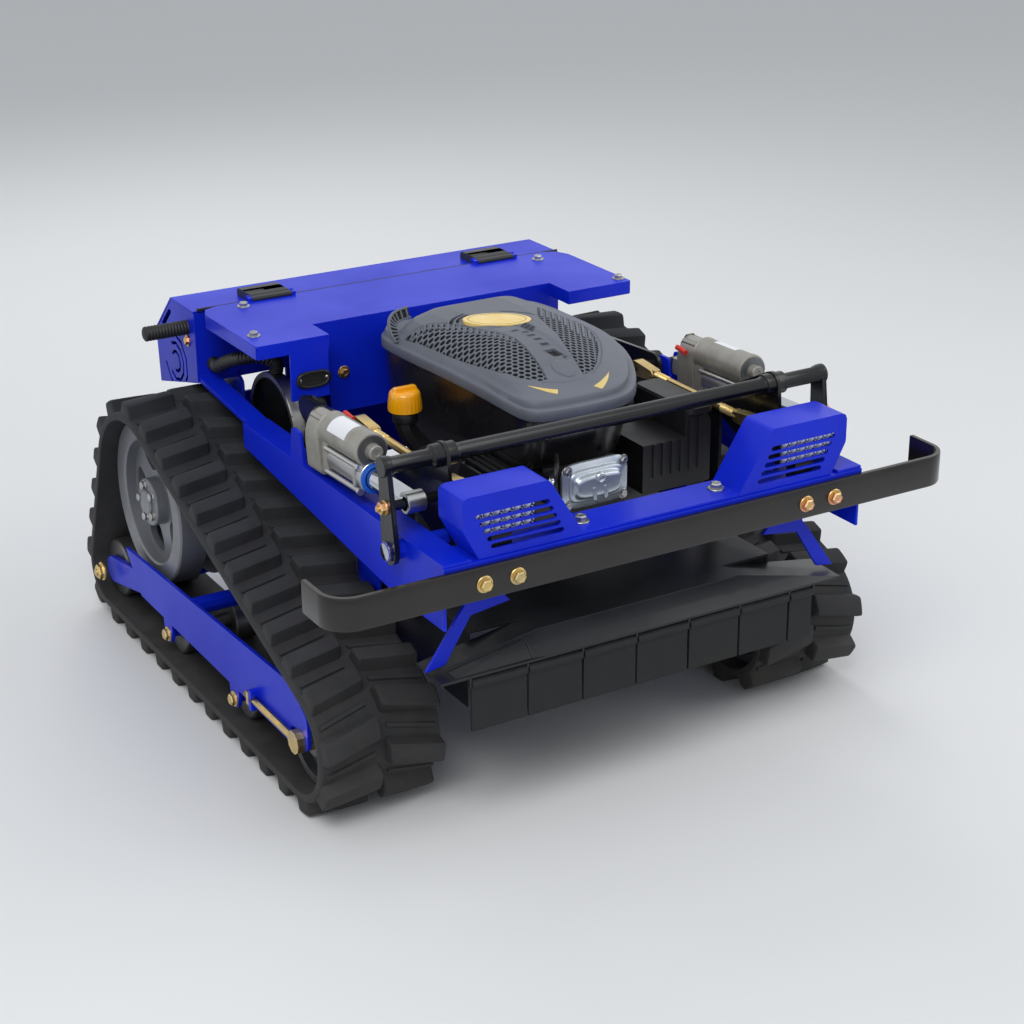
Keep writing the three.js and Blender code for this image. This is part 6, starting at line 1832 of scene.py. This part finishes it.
@dataclass
class LiftDress:
    """Lift tube, levers, tie rods and the two electric actuators."""

    tube_y: float = -429.0
    tube_z: float = 572.0
    pivot: Pair = (-440, 447)
    rear_pivot: Pair = (-110, 447)
    pin: Pair = (4, 66)
    mount: Pair = (-85, 500)
    actuator_x: float = 345.0
    motor_rise: float = 41.0
    rod_hole: float = 17.3
    lever_face: float = 389.5
    link_face: float = 252.0
    tie_x: float = 262.0
    thread_start: float = 46.0

    def build(self, shop: Workshop) -> None:
        """Makes the linkage's pieces for both sides.

        Args:
            shop: Makes the pieces.
        """
        paint = shop.palette
        shop.dress(paint.black, "lift_frame", "left_rear_crank", "right_rear_crank")
        shop.dress(paint.yellow_zinc, "left_tie_rod", "right_tie_rod")
        shop.piece("lift_tube_sleeve", self._tube(), paint.black, "lift", sharp=30)
        pin_y, pin_z = self.pivot[0] + self.pin[0], self.pivot[1] + self.pin[1]
        for side in Side:
            s, hand = side.value, side.hand
            head = [(0, 389), (14, 389), (15, 390.5), (15, 394), (13, 395.4), (0, 395.4)]
            form = Form().lathe(Axis.X, self.pivot, [(r, s * x) for r, x in head], 48)
            shop.piece(f"{hand}_pivot_head", form, paint.chrome, "chassis", sharp=40)
            nuts = Fasteners(Head.NUT, 17, 8, 11, 4)
            for name, face, outward in (("lever_nut", self.lever_face, s), ("link_nuts", self.link_face, -s)):
                places = [(s * face, pin_y, pin_z)]
                shop.fasten(f"{hand}_{name}", nuts, places, (outward, 0, 0), paint.copper, "lift")
            self._tie_rod(shop, side)
            self._actuator(shop, side)

    def _tube(self) -> Form:
        """The cross tube with its collars, end caps and weld beads, as turned rings along X.

        Returns:
            The form.
        """
        thin = 12.4
        half = [
            (0, 0), (thin, 0), (thin, 268), (13.5, 271), (15, 274), (17.4, 275), (17.4, 290), (17.8, 291.5),
            (17.8, 295.5), (17.4, 297), (17.4, 311), (15, 313), (thin, 315), (thin, 374), (14, 377), (14.5, 380.5),
            (14.5, 381), (15.4, 383.5), (15.4, 391.5), (14, 392.4), (0, 392.4),
        ]
        form = Form()
        for s in (1, -1):
            form.lathe(Axis.X, (self.tube_y, self.tube_z), [(r, s * x) for r, x in half], 48)
        return form

    def _tie_rod(self, shop: Workshop, side: Side) -> None:
        """Threaded rod ends and lock nuts on the tie rod.

        Args:
            shop: Makes the pieces.
            side: The machine's side.
        """
        s, hand = side.value, side.hand
        z = self.pivot[1] + self.pin[1]
        form = Form()
        for end, way in ((self.pivot, 1), (self.rear_pivot, -1)):
            y = end[0] + self.pin[0] + way * self.thread_start
            form.prism(Axis.Y, circle(10.4, 6) + np.array([s * self.tie_x, z]), y, y + way * 9)
            along = np.linspace(y + way * 9, y + way * 44, 60)
            path = on_plane(Axis.Y, s * self.tie_x, z, along)
            form.tube(path, 7.3 + 0.4 * np.cos(np.arange(60) * np.pi), 20)
        shop.piece(f"{hand}_tie_rod_nuts", form, shop.palette.yellow_zinc, f"{hand}_tie_rod", sharp=30)

    def _aim(self) -> tuple[Array, float]:
        """Turn about X that points a level actuator at the lever's pin, and the distance between its pins.

        Returns:
            The turning matrix and the distance.
        """
        dy = self.pivot[0] + self.pin[0] - self.mount[0]
        dz = self.pivot[1] + self.pin[1] - self.mount[1]
        lean = -math.atan2(dz, -dy)
        c, s = math.cos(lean), math.sin(lean)
        return np.array([(1, 0, 0), (0, c, -s), (0, s, c)]), math.hypot(dy, dz)

    def _actuator(self, shop: Workshop, side: Side) -> None:
        """Gear housing, motor can, tube with tie bolts, seal and the chrome rod, aimed at the lever's pin.

        Args:
            shop: Makes the pieces.
            side: The machine's side.
        """
        hand, paint = side.hand, shop.palette
        x = side.value * self.actuator_x
        body, rod = f"{hand}_actuator_body", f"{hand}_actuator_rod"
        turn, reach = self._aim()
        origin = np.array([0, *self.mount])

        def set_down(form: Form) -> Form:
            """Turns a level form to aim and sets its rear pin on the mount."""
            return form.moved(turn, origin)

        def turned(rise: float, profile: list[Pair], sides: int) -> Form:
            """A part of the actuator that is round about its rod's or its motor's axis."""
            return set_down(Form().lathe(Axis.Y, (x, rise), profile, sides))

        shop.piece(f"{hand}_gear_housing", set_down(self._gears(x)), paint.cast, body, 1.6, 3, stands_for=body)
        can = [
            (0, -98), (27, -98), (27, -100), (26.2, -101), (26.2, -216), (27, -217), (27, -224), (25.4, -227.4),
            (12, -228.6), (11.4, -231), (11.4, -241), (10.2, -243), (5, -243), (4.4, -241.6), (0, -241.6),
        ]
        shop.piece(f"{hand}_motor_can", turned(self.motor_rise, can, 64), paint.cast, body, sharp=28)
        plate = [(13, -227.6), (23.5, -227.6), (23.5, -229), (13, -229.4), (13, -227.6)]
        shop.piece(f"{hand}_motor_end_plate", turned(self.motor_rise, plate, 64), paint.steel, body, sharp=30)
        shop.piece(f"{hand}_actuator_tube", set_down(self._barrel(x)), paint.tube_alloy, body, sharp=28)
        seal = [(16.9, -231), (23.2, -231), (23.6, -233), (23.2, -235.6), (17.6, -235.6), (16.9, -231)]
        shop.piece(f"{hand}_blue_seal", turned(0, seal, 56), paint.seal, body, sharp=30)
        self._label(shop, side, set_down, x)
        chrome = [
            (12, -216), (16.3, -216), (16.3, -346), (15.8, -347.6), (13.4, -348), (12.4, -347.4), (12, -346),
            (12, -216),
        ]
        shop.piece(f"{hand}_chrome_rod", turned(0, chrome, 64), paint.chrome, rod, sharp=40, stands_for=rod)
        eye = [(11.4, -15), (15.2, -15), (16.2, -14), (16.2, 14), (15.2, 15), (11.4, 15), (11.4, -15)]
        form = Form().lathe(Axis.X, (-reach, 0), [(r, x + along) for r, along in eye], 48)
        shop.piece(f"{hand}_rod_eye", set_down(form), paint.zinc, rod, sharp=40)
        bolt = Fasteners(Head.HEX, 14, 7, 10)
        shop.fasten(f"{hand}_mount_bolt", bolt, [(x + 19.5, *self.mount)], (1, 0, 0), paint.copper, "chassis")
        self._cable(shop, side, x)

    @staticmethod
    def _gears(x: float) -> Form:
        """The level gear housing: the box under the motor, its step towards the tube and the eye at the pin.

        Args:
            x: The actuator's place across.

        Returns:
            The form.
        """
        box = rounded([(x - 24, -31, 9), (x + 24, -31, 9), (x + 27, 41, 24), (x, 72, 26), (x - 27, 41, 24)], 7)
        step = rounded([(x - 21, -28, 7), (x + 21, -28, 7), (x + 21, 28, 6), (x - 21, 28, 6)], 5)
        eye = [(-52, -14, 4), (-14, -14, 6), (0, -14, 13), (12, 0, 13), (0, 14, 13), (-14, 14, 6), (-52, 14, 4)]
        form = Form().prism(Axis.Y, box, -97, -52).prism(Axis.Y, step, -118, -96)
        return form.prism(Axis.X, rounded(eye, 5), x - 9, x + 9)

    def _barrel(self, x: float) -> Form:
        """The level tube round the rod, with four tie bolts, their nuts and a soft square flange with a hole.

        Args:
            x: The actuator's place across.

        Returns:
            The form.
        """
        form = Form().lathe(Axis.Y, (x, 0), [
            (16.8, -116), (22, -116), (22.6, -118), (22.6, -222), (24, -223), (24, -230), (22, -232), (17.2, -232),
            (16.8, -231), (16.8, -116),
        ], 56)
        for dx, dz in ((-20, -20), (20, -20), (-20, 17), (20, 17)):
            form.tube(np.array([(x + dx, y, dz) for y in (-112, -170, -221)], float), 4.2, 16)
            form.prism(Axis.Y, circle(6.2, 6) + np.array([x + dx, dz]), -219, -225)
        ring = circle(1, 48)
        flange = ring / (ring**8).sum(1, keepdims=True) ** 0.125 * np.array([23, 21.5]) + np.array([x, -1.5])
        hole = ring * self.rod_hole + np.array([x, 0])
        loops = ((flange, -205), (flange, -213), (hole, -213), (hole, -205))
        rings = np.stack([on_plane(Axis.Y, *loop.T, y) for loop, y in loops])
        return form.sheet(rings, wrap_rows=True, wrap_columns=True)

    def _label(self, shop: Workshop, side: Side, set_down: Callable[[Form], Form], x: float) -> None:
        """A blank white label that wraps the outside of the motor can.

        Args:
            shop: Makes the pieces.
            side: The machine's side.
            set_down: Aims a level form at the lever's pin.
            x: The actuator's place across.
        """
        angle = np.linspace(math.radians(20), math.radians(100), 18)
        angle = angle if side is Side.LEFT else math.pi - angle
        along = np.array([-128, -186.0])[:, None]
        inside, outside = (
            on_plane(Axis.Y, x + radius * np.cos(angle), self.motor_rise + radius * np.sin(angle), along)
            for radius in (26.1, 26.5)
        )
        rims = np.stack([np.concatenate([grid[0], grid[1, ::-1]]) for grid in (inside, outside)])
        form = Form().sheet(inside).sheet(outside).sheet(rims, wrap_columns=True)
        shop.piece(f"{side.hand}_blank_label", set_down(form), shop.palette.label, f"{side.hand}_actuator_body")

    @staticmethod
    def _cable(shop: Workshop, side: Side, x: float) -> None:
        """The motor lead's gland on the gear housing, and a short red sleeve beside the motor.

        Args:
            shop: Makes the pieces.
            side: The machine's side.
            x: The actuator's place across.
        """
        body, inner = f"{side.hand}_actuator_body", x - side.value * 36
        line = [(x, -141, 545), (x, -130, 548), (x, -120, 549)]
        gland = Form().tube(np.array(line, float), [7, 7, 5.5], 20)
        shop.piece(f"{side.hand}_cable_gland", gland, shop.palette.plastic, body)
        line = [(inner, -150, 552), (inner, -164, 551), (inner - side.value, -176, 549)]
        sleeve = Form().tube(np.array(line, float), 4.5, 16)
        shop.piece(f"{side.hand}_red_sleeve", sleeve, shop.palette.red, body)


# Front, lamps, bumper and deck


@dataclass
class FrontDress:
    """Lamps, bumper, front panel screws and the rubber flaps."""

    lamp_inner: float = 214.0
    lamp_outer: float = 320.0
    lamp_low: float = 492.0
    lamp_high: float = 534.0
    lamp_front: float = -557.7
    lamp_edge: float = 3.0
    bar_front: float = -574.0

    def build(self, shop: Workshop) -> None:
        """Makes the front's pieces.

        Args:
            shop: Makes the pieces.
        """
        paint = shop.palette
        shop.dress(paint.blue, "front_panel", "main_frame")
        self._bumper(shop)
        for side in Side:
            self._lamp(shop, side)
        strip = Fasteners(Head.HEX, 16, 8, 13)
        places = [(-120, -526, 465), (120, -526, 465)]
        shop.fasten("panel_strip_bolts", strip, places, (0, 0, 1), paint.zinc, "chassis")
        front = Fasteners(Head.HEX, 17, 8, 13)
        for side, finish in ((Side.RIGHT, paint.yellow_zinc), (Side.LEFT, paint.copper)):
            places = [(side.value * x, self.bar_front, 429) for x in (255, 309)]
            shop.fasten(f"{side.hand}_bumper_bolts", front, places, (0, -1, 0), finish, "chassis")
        shop.dress(paint.deck, "deck_shell")
        shop.dress(paint.flap, *(f"flap_{number}" for number in range(1, 8)))

    def _bumper(self, shop: Workshop) -> None:
        """The flat bar with curled ends, as a rounded section carried round its line.

        Args:
            shop: Makes the pieces.
        """
        front, thick, reach, tip, radius = self.bar_front, 8.0, 545.0, -481.0, 45.0
        arc = np.linspace(0, np.pi / 2, 20)
        bend, inner = (
            np.stack([reach - radius + r * np.sin(arc), front + radius - r * np.cos(arc)], -1)
            for r in (radius, radius - thick)
        )
        outside = np.concatenate([[(0, front)], bend, [(reach, tip)]])
        inside = np.concatenate([[(0, front + thick)], inner, [(reach - thick, tip)]])
        low, high, soft = 405.0, 455.0, 2.0
        mid = (outside + inside) / 2
        shares = [
            (1, low + soft), (1, high - soft), (0.78, high), (-0.78, high),
            (-1, high - soft), (-1, low + soft), (-0.78, low), (0.78, low),
        ]
        loops = np.stack([on_plane(Axis.Z, *(mid + (outside - mid) * share).T, z) for share, z in shares], 1)
        mirrored = loops[::-1] * np.array([-1, 1, 1])
        form = Form().tower(np.concatenate([mirrored[:-1], loops]))
        shop.piece("bumper_bar", form, shop.palette.bumper, "chassis", sharp=40, stands_for="bumper")

    def _lamp(self, shop: Workshop, side: Side) -> None:
        """A lamp with three rows of six reflector cups, each with its lens, in a dark housing.

        Args:
            shop: Makes the pieces.
            side: The machine's side.
        """
        s, hand, paint = side.value, side.hand, shop.palette
        x0, x1 = sorted((s * self.lamp_inner, s * self.lamp_outer))
        low, high, front, edge = self.lamp_low, self.lamp_high, self.lamp_front, self.lamp_edge
        frame = soft_box(x0, low, x1, high, 5, 5)
        housing = Form().prism(Axis.Y, frame, front + 6, front + 34)
        housing.block((s * 250, s * 284), (front + 7, front + 30), (461, low + 1))
        for i in range(5):
            y = front + 14 + 4.4 * i
            housing.block((x0 - 1.2, x1 + 1.2), (y, y + 1.8), (low + 4, high + 1.2))
        shop.piece(f"{hand}_lamp_housing", housing, paint.plastic, "chassis", 0.6, stands_for=f"{hand}_work_lamp")
        inner = soft_box(x0 + edge, low + edge, x1 - edge, high - edge, 4, 5)
        loops = ((frame, 6.2), (frame, 1.2), (inner, 1.2), (inner, 6.2))
        rings = np.stack([on_plane(Axis.Y, *loop.T, front + deep) for loop, deep in loops])
        rim = Form().sheet(rings, wrap_rows=True, wrap_columns=True)
        shop.piece(f"{hand}_lamp_rim", rim, paint.plastic, "chassis", 0.4)
        cups, lenses = self._reflectors(x0, x1)
        shop.piece(f"{hand}_lamp_cups", cups, paint.chrome, "chassis", sharp=60)
        shop.piece(f"{hand}_lamp_lenses", lenses, paint.lens, "chassis", sharp=60)

    def _reflectors(self, x0: float, x1: float) -> tuple[Form, Form]:
        """Square cups that narrow towards the back, side by side, and a domed lens in each.

        Args:
            x0: One end of the lamp.
            x1: The other end.

        Returns:
            The cups and the lenses.
        """
        low, high, front, edge = self.lamp_low, self.lamp_high, self.lamp_front, self.lamp_edge
        columns, rows, radius, base, bulge = 6, 3, 5.0, 5.4, 4.6
        dx, dz = (x1 - x0 - 2 * edge) / columns, (high - low - 2 * edge) / rows
        steps = ((1.0, 1.6), (0.92, 2.0), (0.72, 4.0), (0.5, 5.6), (0.2, 6.1))
        arc = np.linspace(0, np.pi / 2, 7)[:-1]
        side = [(radius * math.cos(a), front + base - bulge * math.sin(a)) for a in arc]
        dome = [(0, front + base + 1), *side, (0, front + base - bulge)]
        cups, lenses = Form(), Form()
        for row in range(rows):
            for column in range(columns):
                cx, cz = x0 + edge + (column + 0.5) * dx, low + edge + (row + 0.5) * dz
                square = soft_box(cx - dx / 2, cz - dz / 2, cx + dx / 2, cz + dz / 2, 1, 4)
                middle = np.array([cx, cz])
                cup = [on_plane(Axis.Y, *(middle + (square - middle) * share).T, front + deep) for share, deep in steps]
                cups.sheet(np.stack(cup), wrap_columns=True)
                lenses.lathe(Axis.Y, (cx, cz), dome, 16)
        return cups, lenses


# Rear box, covers and hinges


@dataclass
class RearDress:
    """Control box, cover plate, hinges, grip, socket, conduit and drive units."""

    grip_y: float = 345.0
    grip_z: float = 566.0
    grip_start: float = 362.3
    grip_long: float = 78.7
    cover_top: float = 607.0
    socket: tuple[float, float, float, float] = (-292, -230, 523, 551)
    drum: Pair = (185, 424)

    def build(self, shop: Workshop) -> None:
        """Makes the rear's pieces.

        Args:
            shop: Makes the pieces.
        """
        paint = shop.palette
        shop.dress(paint.blue, "rear_box", "rear_box_lid", "cover_plate")
        shop.dress(paint.plastic, "battery", "fuel_tank", "charge_socket")
        shop.dress(paint.cast, "motor_controller")
        shop.dress(paint.black, "left_drive_unit", "right_drive_unit")
        # A black strip along the lid's front gap: painted shadow for the dark line of that gap.
        strip = rounded([(306.6, 601.6, 1), (310.4, 601.6, 1), (310.4, 607.3, 1.6), (306.6, 607.3, 1.6)], 3)
        seal = Form().prism(Axis.X, strip, -357, 357)
        shop.piece("lid_seal", seal, paint.plastic, "chassis", sharp=50)
        self._grip(shop)
        self._conduit(shop)
        for side in Side:
            self._hinge(shop, side)
            self._drive_unit(shop, side)
        top = Fasteners(Head.HEX, 13, 6, 11)
        places = [(x, y, self.cover_top) for x, y in ((-284, 279), (-337, 119), (291, 267), (346, 86))]
        shop.fasten("cover_bolts", top, places, (0, 0, 1), paint.zinc, "chassis")
        small = Fasteners(Head.PAN, 9, 3.4, 6)
        shop.fasten("socket_screws", small, [(-286, 63, 537), (-237, 63, 537)], (0, -1, 0), paint.zinc, "chassis", 32)
        shop.fasten("panel_screw", top, [(-175, 127, 515)], (0, -1, 0), paint.copper, "chassis")
        self._socket(shop)

    def _socket(self, shop: Workshop) -> None:
        """The oval socket's cap: a raised lip round a flat middle.

        Args:
            shop: Makes the pieces.
        """
        x0, x1, z0, z1 = self.socket
        ring = bulged(*self.socket, 2.6, 64)
        middle = np.array([x0 + x1, z0 + z1]) / 2
        rows = [(1.0, 62.6), (1.0, 58.8), (0.95, 57.8), (0.82, 57.8), (0.78, 59.4), (0.4, 59.8), (0.02, 59.8)]
        grid = np.stack([on_plane(Axis.Y, *(middle + (ring - middle) * share).T, y) for share, y in rows])
        shop.piece("socket_cap", Form().tower(grid), shop.palette.plastic, "chassis", sharp=40)

    def _grip(self, shop: Workshop) -> None:
        """The rubber grip: rings along it and a rounded end, turned about X, with a nut at its root.

        Args:
            shop: Makes the pieces.
        """
        start, long = self.grip_start, self.grip_long
        along = np.linspace(start, start + long, 120)
        share = (along - start) / long
        radius = 12.3 + 0.5 * np.clip(np.cos(share * 2 * np.pi * 14) * 2 + 0.8, -1, 1)
        radius = np.where(share > 0.95, 12.8 - 5.2 * np.clip((share - 0.95) / 0.05, 0, 1) ** 2, radius)
        profile = [(0, -start), *((r, -x) for r, x in zip(radius, along)), (0, -start - long)]
        form = Form().lathe(Axis.X, (self.grip_y, self.grip_z), profile, 40)
        shop.piece("ribbed_grip", form, shop.palette.grip, "chassis", sharp=50, stands_for="carry_grip")
        nut = Fasteners(Head.NUT, 12, 4, 10)
        places = [(-362.2, self.grip_y, self.grip_z - 24)]
        shop.fasten("grip_root_nut", nut, places, (-1, 0, 0), shop.palette.copper, "chassis")

    @staticmethod
    def _conduit(shop: Workshop) -> None:
        """The corrugated hose from the box to the right motor: a ring radius that rises and falls along it.

        Args:
            shop: Makes the pieces.
        """
        count, ribs = 320, 34
        points = [
            (-332, 310.7, 506), (-332, 292, 506), (-331, 250, 526), (-322, 214, 540), (-300, 193, 545),
            (-273, 185, 533), (-272, 185, 515.3),
        ]
        wave = 11.0 + 1.0 * np.clip(2.2 * np.sin(np.arange(count) / count * 2 * np.pi * ribs), -1, 1)
        form = Form().tube(catmull_rom(points, count), wave, 24, (0.25, 0.3, 1))
        shop.piece("corrugated_conduit", form, shop.palette.plastic, "chassis", sharp=60, stands_for="motor_conduit")

    def _hinge(self, shop: Workshop, side: Side) -> None:
        """The black hinge block on the lid and the sleeve round the cover plate's knuckle.

        Args:
            shop: Makes the pieces.
            side: The machine's side.
        """
        s, hand = side.value, side.hand
        shop.dress(shop.palette.plastic, f"{hand}_lid_hinge")
        block = rounded([(318, 601.4, 1), (366, 601.4, 1), (366, 611, 6), (352, 615, 6), (322, 615, 4)], 5)
        knuckle = rounded([(296.4, 607.2, 1), (309.6, 607.2, 1), (309.6, 613.9, 3), (296.4, 613.9, 4)], 5)
        for name, shape, body, inner, outer in (
            ("hinge_cover", block, "lid", 185.5, 257.5),
            ("hinge_sleeve", knuckle, "chassis", 184.3, 258.7),
        ):
            x0, x1 = sorted((s * inner, s * outer))
            shop.piece(f"{hand}_{name}", Form().prism(Axis.X, shape, x0, x1), shop.palette.plastic, body, 1.4, 3)

    def _drive_unit(self, shop: Workshop, side: Side) -> None:
        """Bright rim on the drive motor's drum.

        Args:
            shop: Makes the pieces.
            side: The machine's side.
        """
        rim = [(86, 259), (90.4, 264), (90.4, 281), (89.4, 284.2), (81, 284.2), (80.4, 279), (86, 259)]
        form = Form().lathe(Axis.X, self.drum, [(r, side.value * x) for r, x in rim], 96)
        shop.piece(f"{side.hand}_drum_rim", form, shop.palette.zinc, "chassis", sharp=30)


# Studio


@dataclass(frozen=True)
class Studio:
    """Floor, world, lamps and the photograph's camera."""

    azimuth: float = -30.5574
    elevation: float = 22.4822
    roll: float = -0.3902
    target: Point = (0.0428, -0.055, 0.2782)
    distance: float = 3.5354
    sensor: float = 36.0
    focal: float = 2084.2536 / 1024 * sensor
    floor_reach: float = 9.0
    floor_level: float = -0.0005
    aim: Point = (0.0, 0.0, 0.3)

    def build(self) -> None:
        """Sets up everything round the machine."""
        self._camera()
        self._floor()
        self._world()
        for name, place, size, power in (
            ("key", (-2.0, -2.2, 3.4), 2.2, 78),
            ("fill", (2.8, -1.4, 2.4), 2.4, 34),
            ("back", (0.6, 3.0, 2.8), 2.0, 40),
        ):
            lamp = self._lamp(name, place, size, power)
            lamp.visible_glossy = name != "back"
        bpy.context.scene.view_settings.view_transform = "Standard"

    def _camera(self) -> None:
        """The solved camera: its back axis looks from the target along azimuth and elevation, then it rolls."""
        a, e, r = (math.radians(v) for v in (self.azimuth, self.elevation, self.roll))
        back = np.array([math.sin(a) * math.cos(e), -math.cos(a) * math.cos(e), math.sin(e)])
        right = np.array([math.cos(a), math.sin(a), 0])
        up = np.cross(back, right)
        turned_right = right * math.cos(r) + up * math.sin(r)
        turned_up = -right * math.sin(r) + up * math.cos(r)
        data = bpy.data.cameras.new("camera")
        data.lens = self.focal
        data.sensor_width = self.sensor
        data.sensor_fit = "HORIZONTAL"
        data.clip_start = 0.05
        camera = bpy.data.objects.new("camera", data)
        matrix = np.eye(4)
        matrix[:3, :3] = np.stack([turned_right, turned_up, back], 1)
        matrix[:3, 3] = np.array(self.target) + back * self.distance
        camera.matrix_world = Matrix(matrix.tolist())
        bpy.context.scene.collection.objects.link(camera)
        bpy.context.scene.camera = camera

    def _floor(self) -> None:
        """A pale plain floor far larger than the view."""
        mesh = bpy.data.meshes.new("floor")
        reach, level = self.floor_reach, self.floor_level
        corners = [(x * reach, y * reach, level) for x, y in ((-1, -1), (1, -1), (1, 1), (-1, 1))]
        mesh.from_pydata(corners, [], [(0, 1, 2, 3)])
        material = bpy.data.materials.new("floor")
        material.use_nodes = True
        shader = material.node_tree.nodes["Principled BSDF"]
        shader.inputs["Base Color"].default_value = (0.74, 0.74, 0.74, 1)
        shader.inputs["Roughness"].default_value = 0.9
        mesh.materials.append(material)
        floor = bpy.data.objects.new("floor", mesh)
        bpy.context.scene.collection.objects.link(floor)

    @staticmethod
    def _world() -> None:
        """Soft light all round, and a pale background for what the camera and mirrors see."""
        world = bpy.data.worlds.new("studio")
        bpy.context.scene.world = world
        world.use_nodes = True
        nodes = world.node_tree.nodes
        light, seen, mix = nodes["Background"], nodes.new("ShaderNodeBackground"), nodes.new("ShaderNodeMixShader")
        light.inputs["Color"].default_value = (0.9, 0.95, 1, 1)
        light.inputs["Strength"].default_value = 0.55
        seen.inputs["Color"].default_value = (0.86, 0.87, 0.88, 1)
        path, total = nodes.new("ShaderNodeLightPath"), nodes.new("ShaderNodeMath")
        total.operation = "MAXIMUM"
        mirrored = nodes.new("ShaderNodeMath")
        mirrored.operation = "MAXIMUM"
        wire(
            world.node_tree,
            (path, "Is Camera Ray", total, 0),
            (path, "Is Transmission Ray", total, 1),
            (total, 0, mirrored, 0),
            (path, "Is Glossy Ray", mirrored, 1),
            (mirrored, 0, mix, 0),
            (light, 0, mix, 1),
            (seen, 0, mix, 2),
            (mix, 0, nodes["World Output"], "Surface"),
        )

    def _lamp(self, name: str, place: Point, size: float, power: float) -> bpy.types.Object:
        """An area lamp aimed at the machine: its Z axis points from the aim to the lamp.

        Args:
            name: The lamp's name.
            place: Where it stands, in metres.
            size: Its side length.
            power: Its watts.

        Returns:
            The lamp.
        """
        data = bpy.data.lights.new(name, "AREA")
        data.size = size
        data.energy = power
        lamp = bpy.data.objects.new(name, data)
        back = np.array(place) - np.array(self.aim)
        back /= np.linalg.norm(back)
        right = np.cross([0, 0, 1.0], back)
        right /= np.linalg.norm(right)
        matrix = np.eye(4)
        matrix[:3, :3] = np.stack([right, np.cross(back, right), back], 1)
        matrix[:3, 3] = place
        lamp.matrix_world = Matrix(matrix.tolist())
        bpy.context.scene.collection.objects.link(lamp)
        return lamp


def main() -> None:
    """Loads the frame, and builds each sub-assembly and the studio."""
    logging.basicConfig(level=logging.INFO, format="%(name)s: %(message)s")
    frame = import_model()
    shop = Workshop(frame)
    Studio().build()
    for side in Side:
        RunningGear(side).build(shop)
    EngineDress().build(shop)
    LiftDress().build(shop)
    FrontDress().build(shop)
    RearDress().build(shop)


if __name__ == "__main__":
    main()
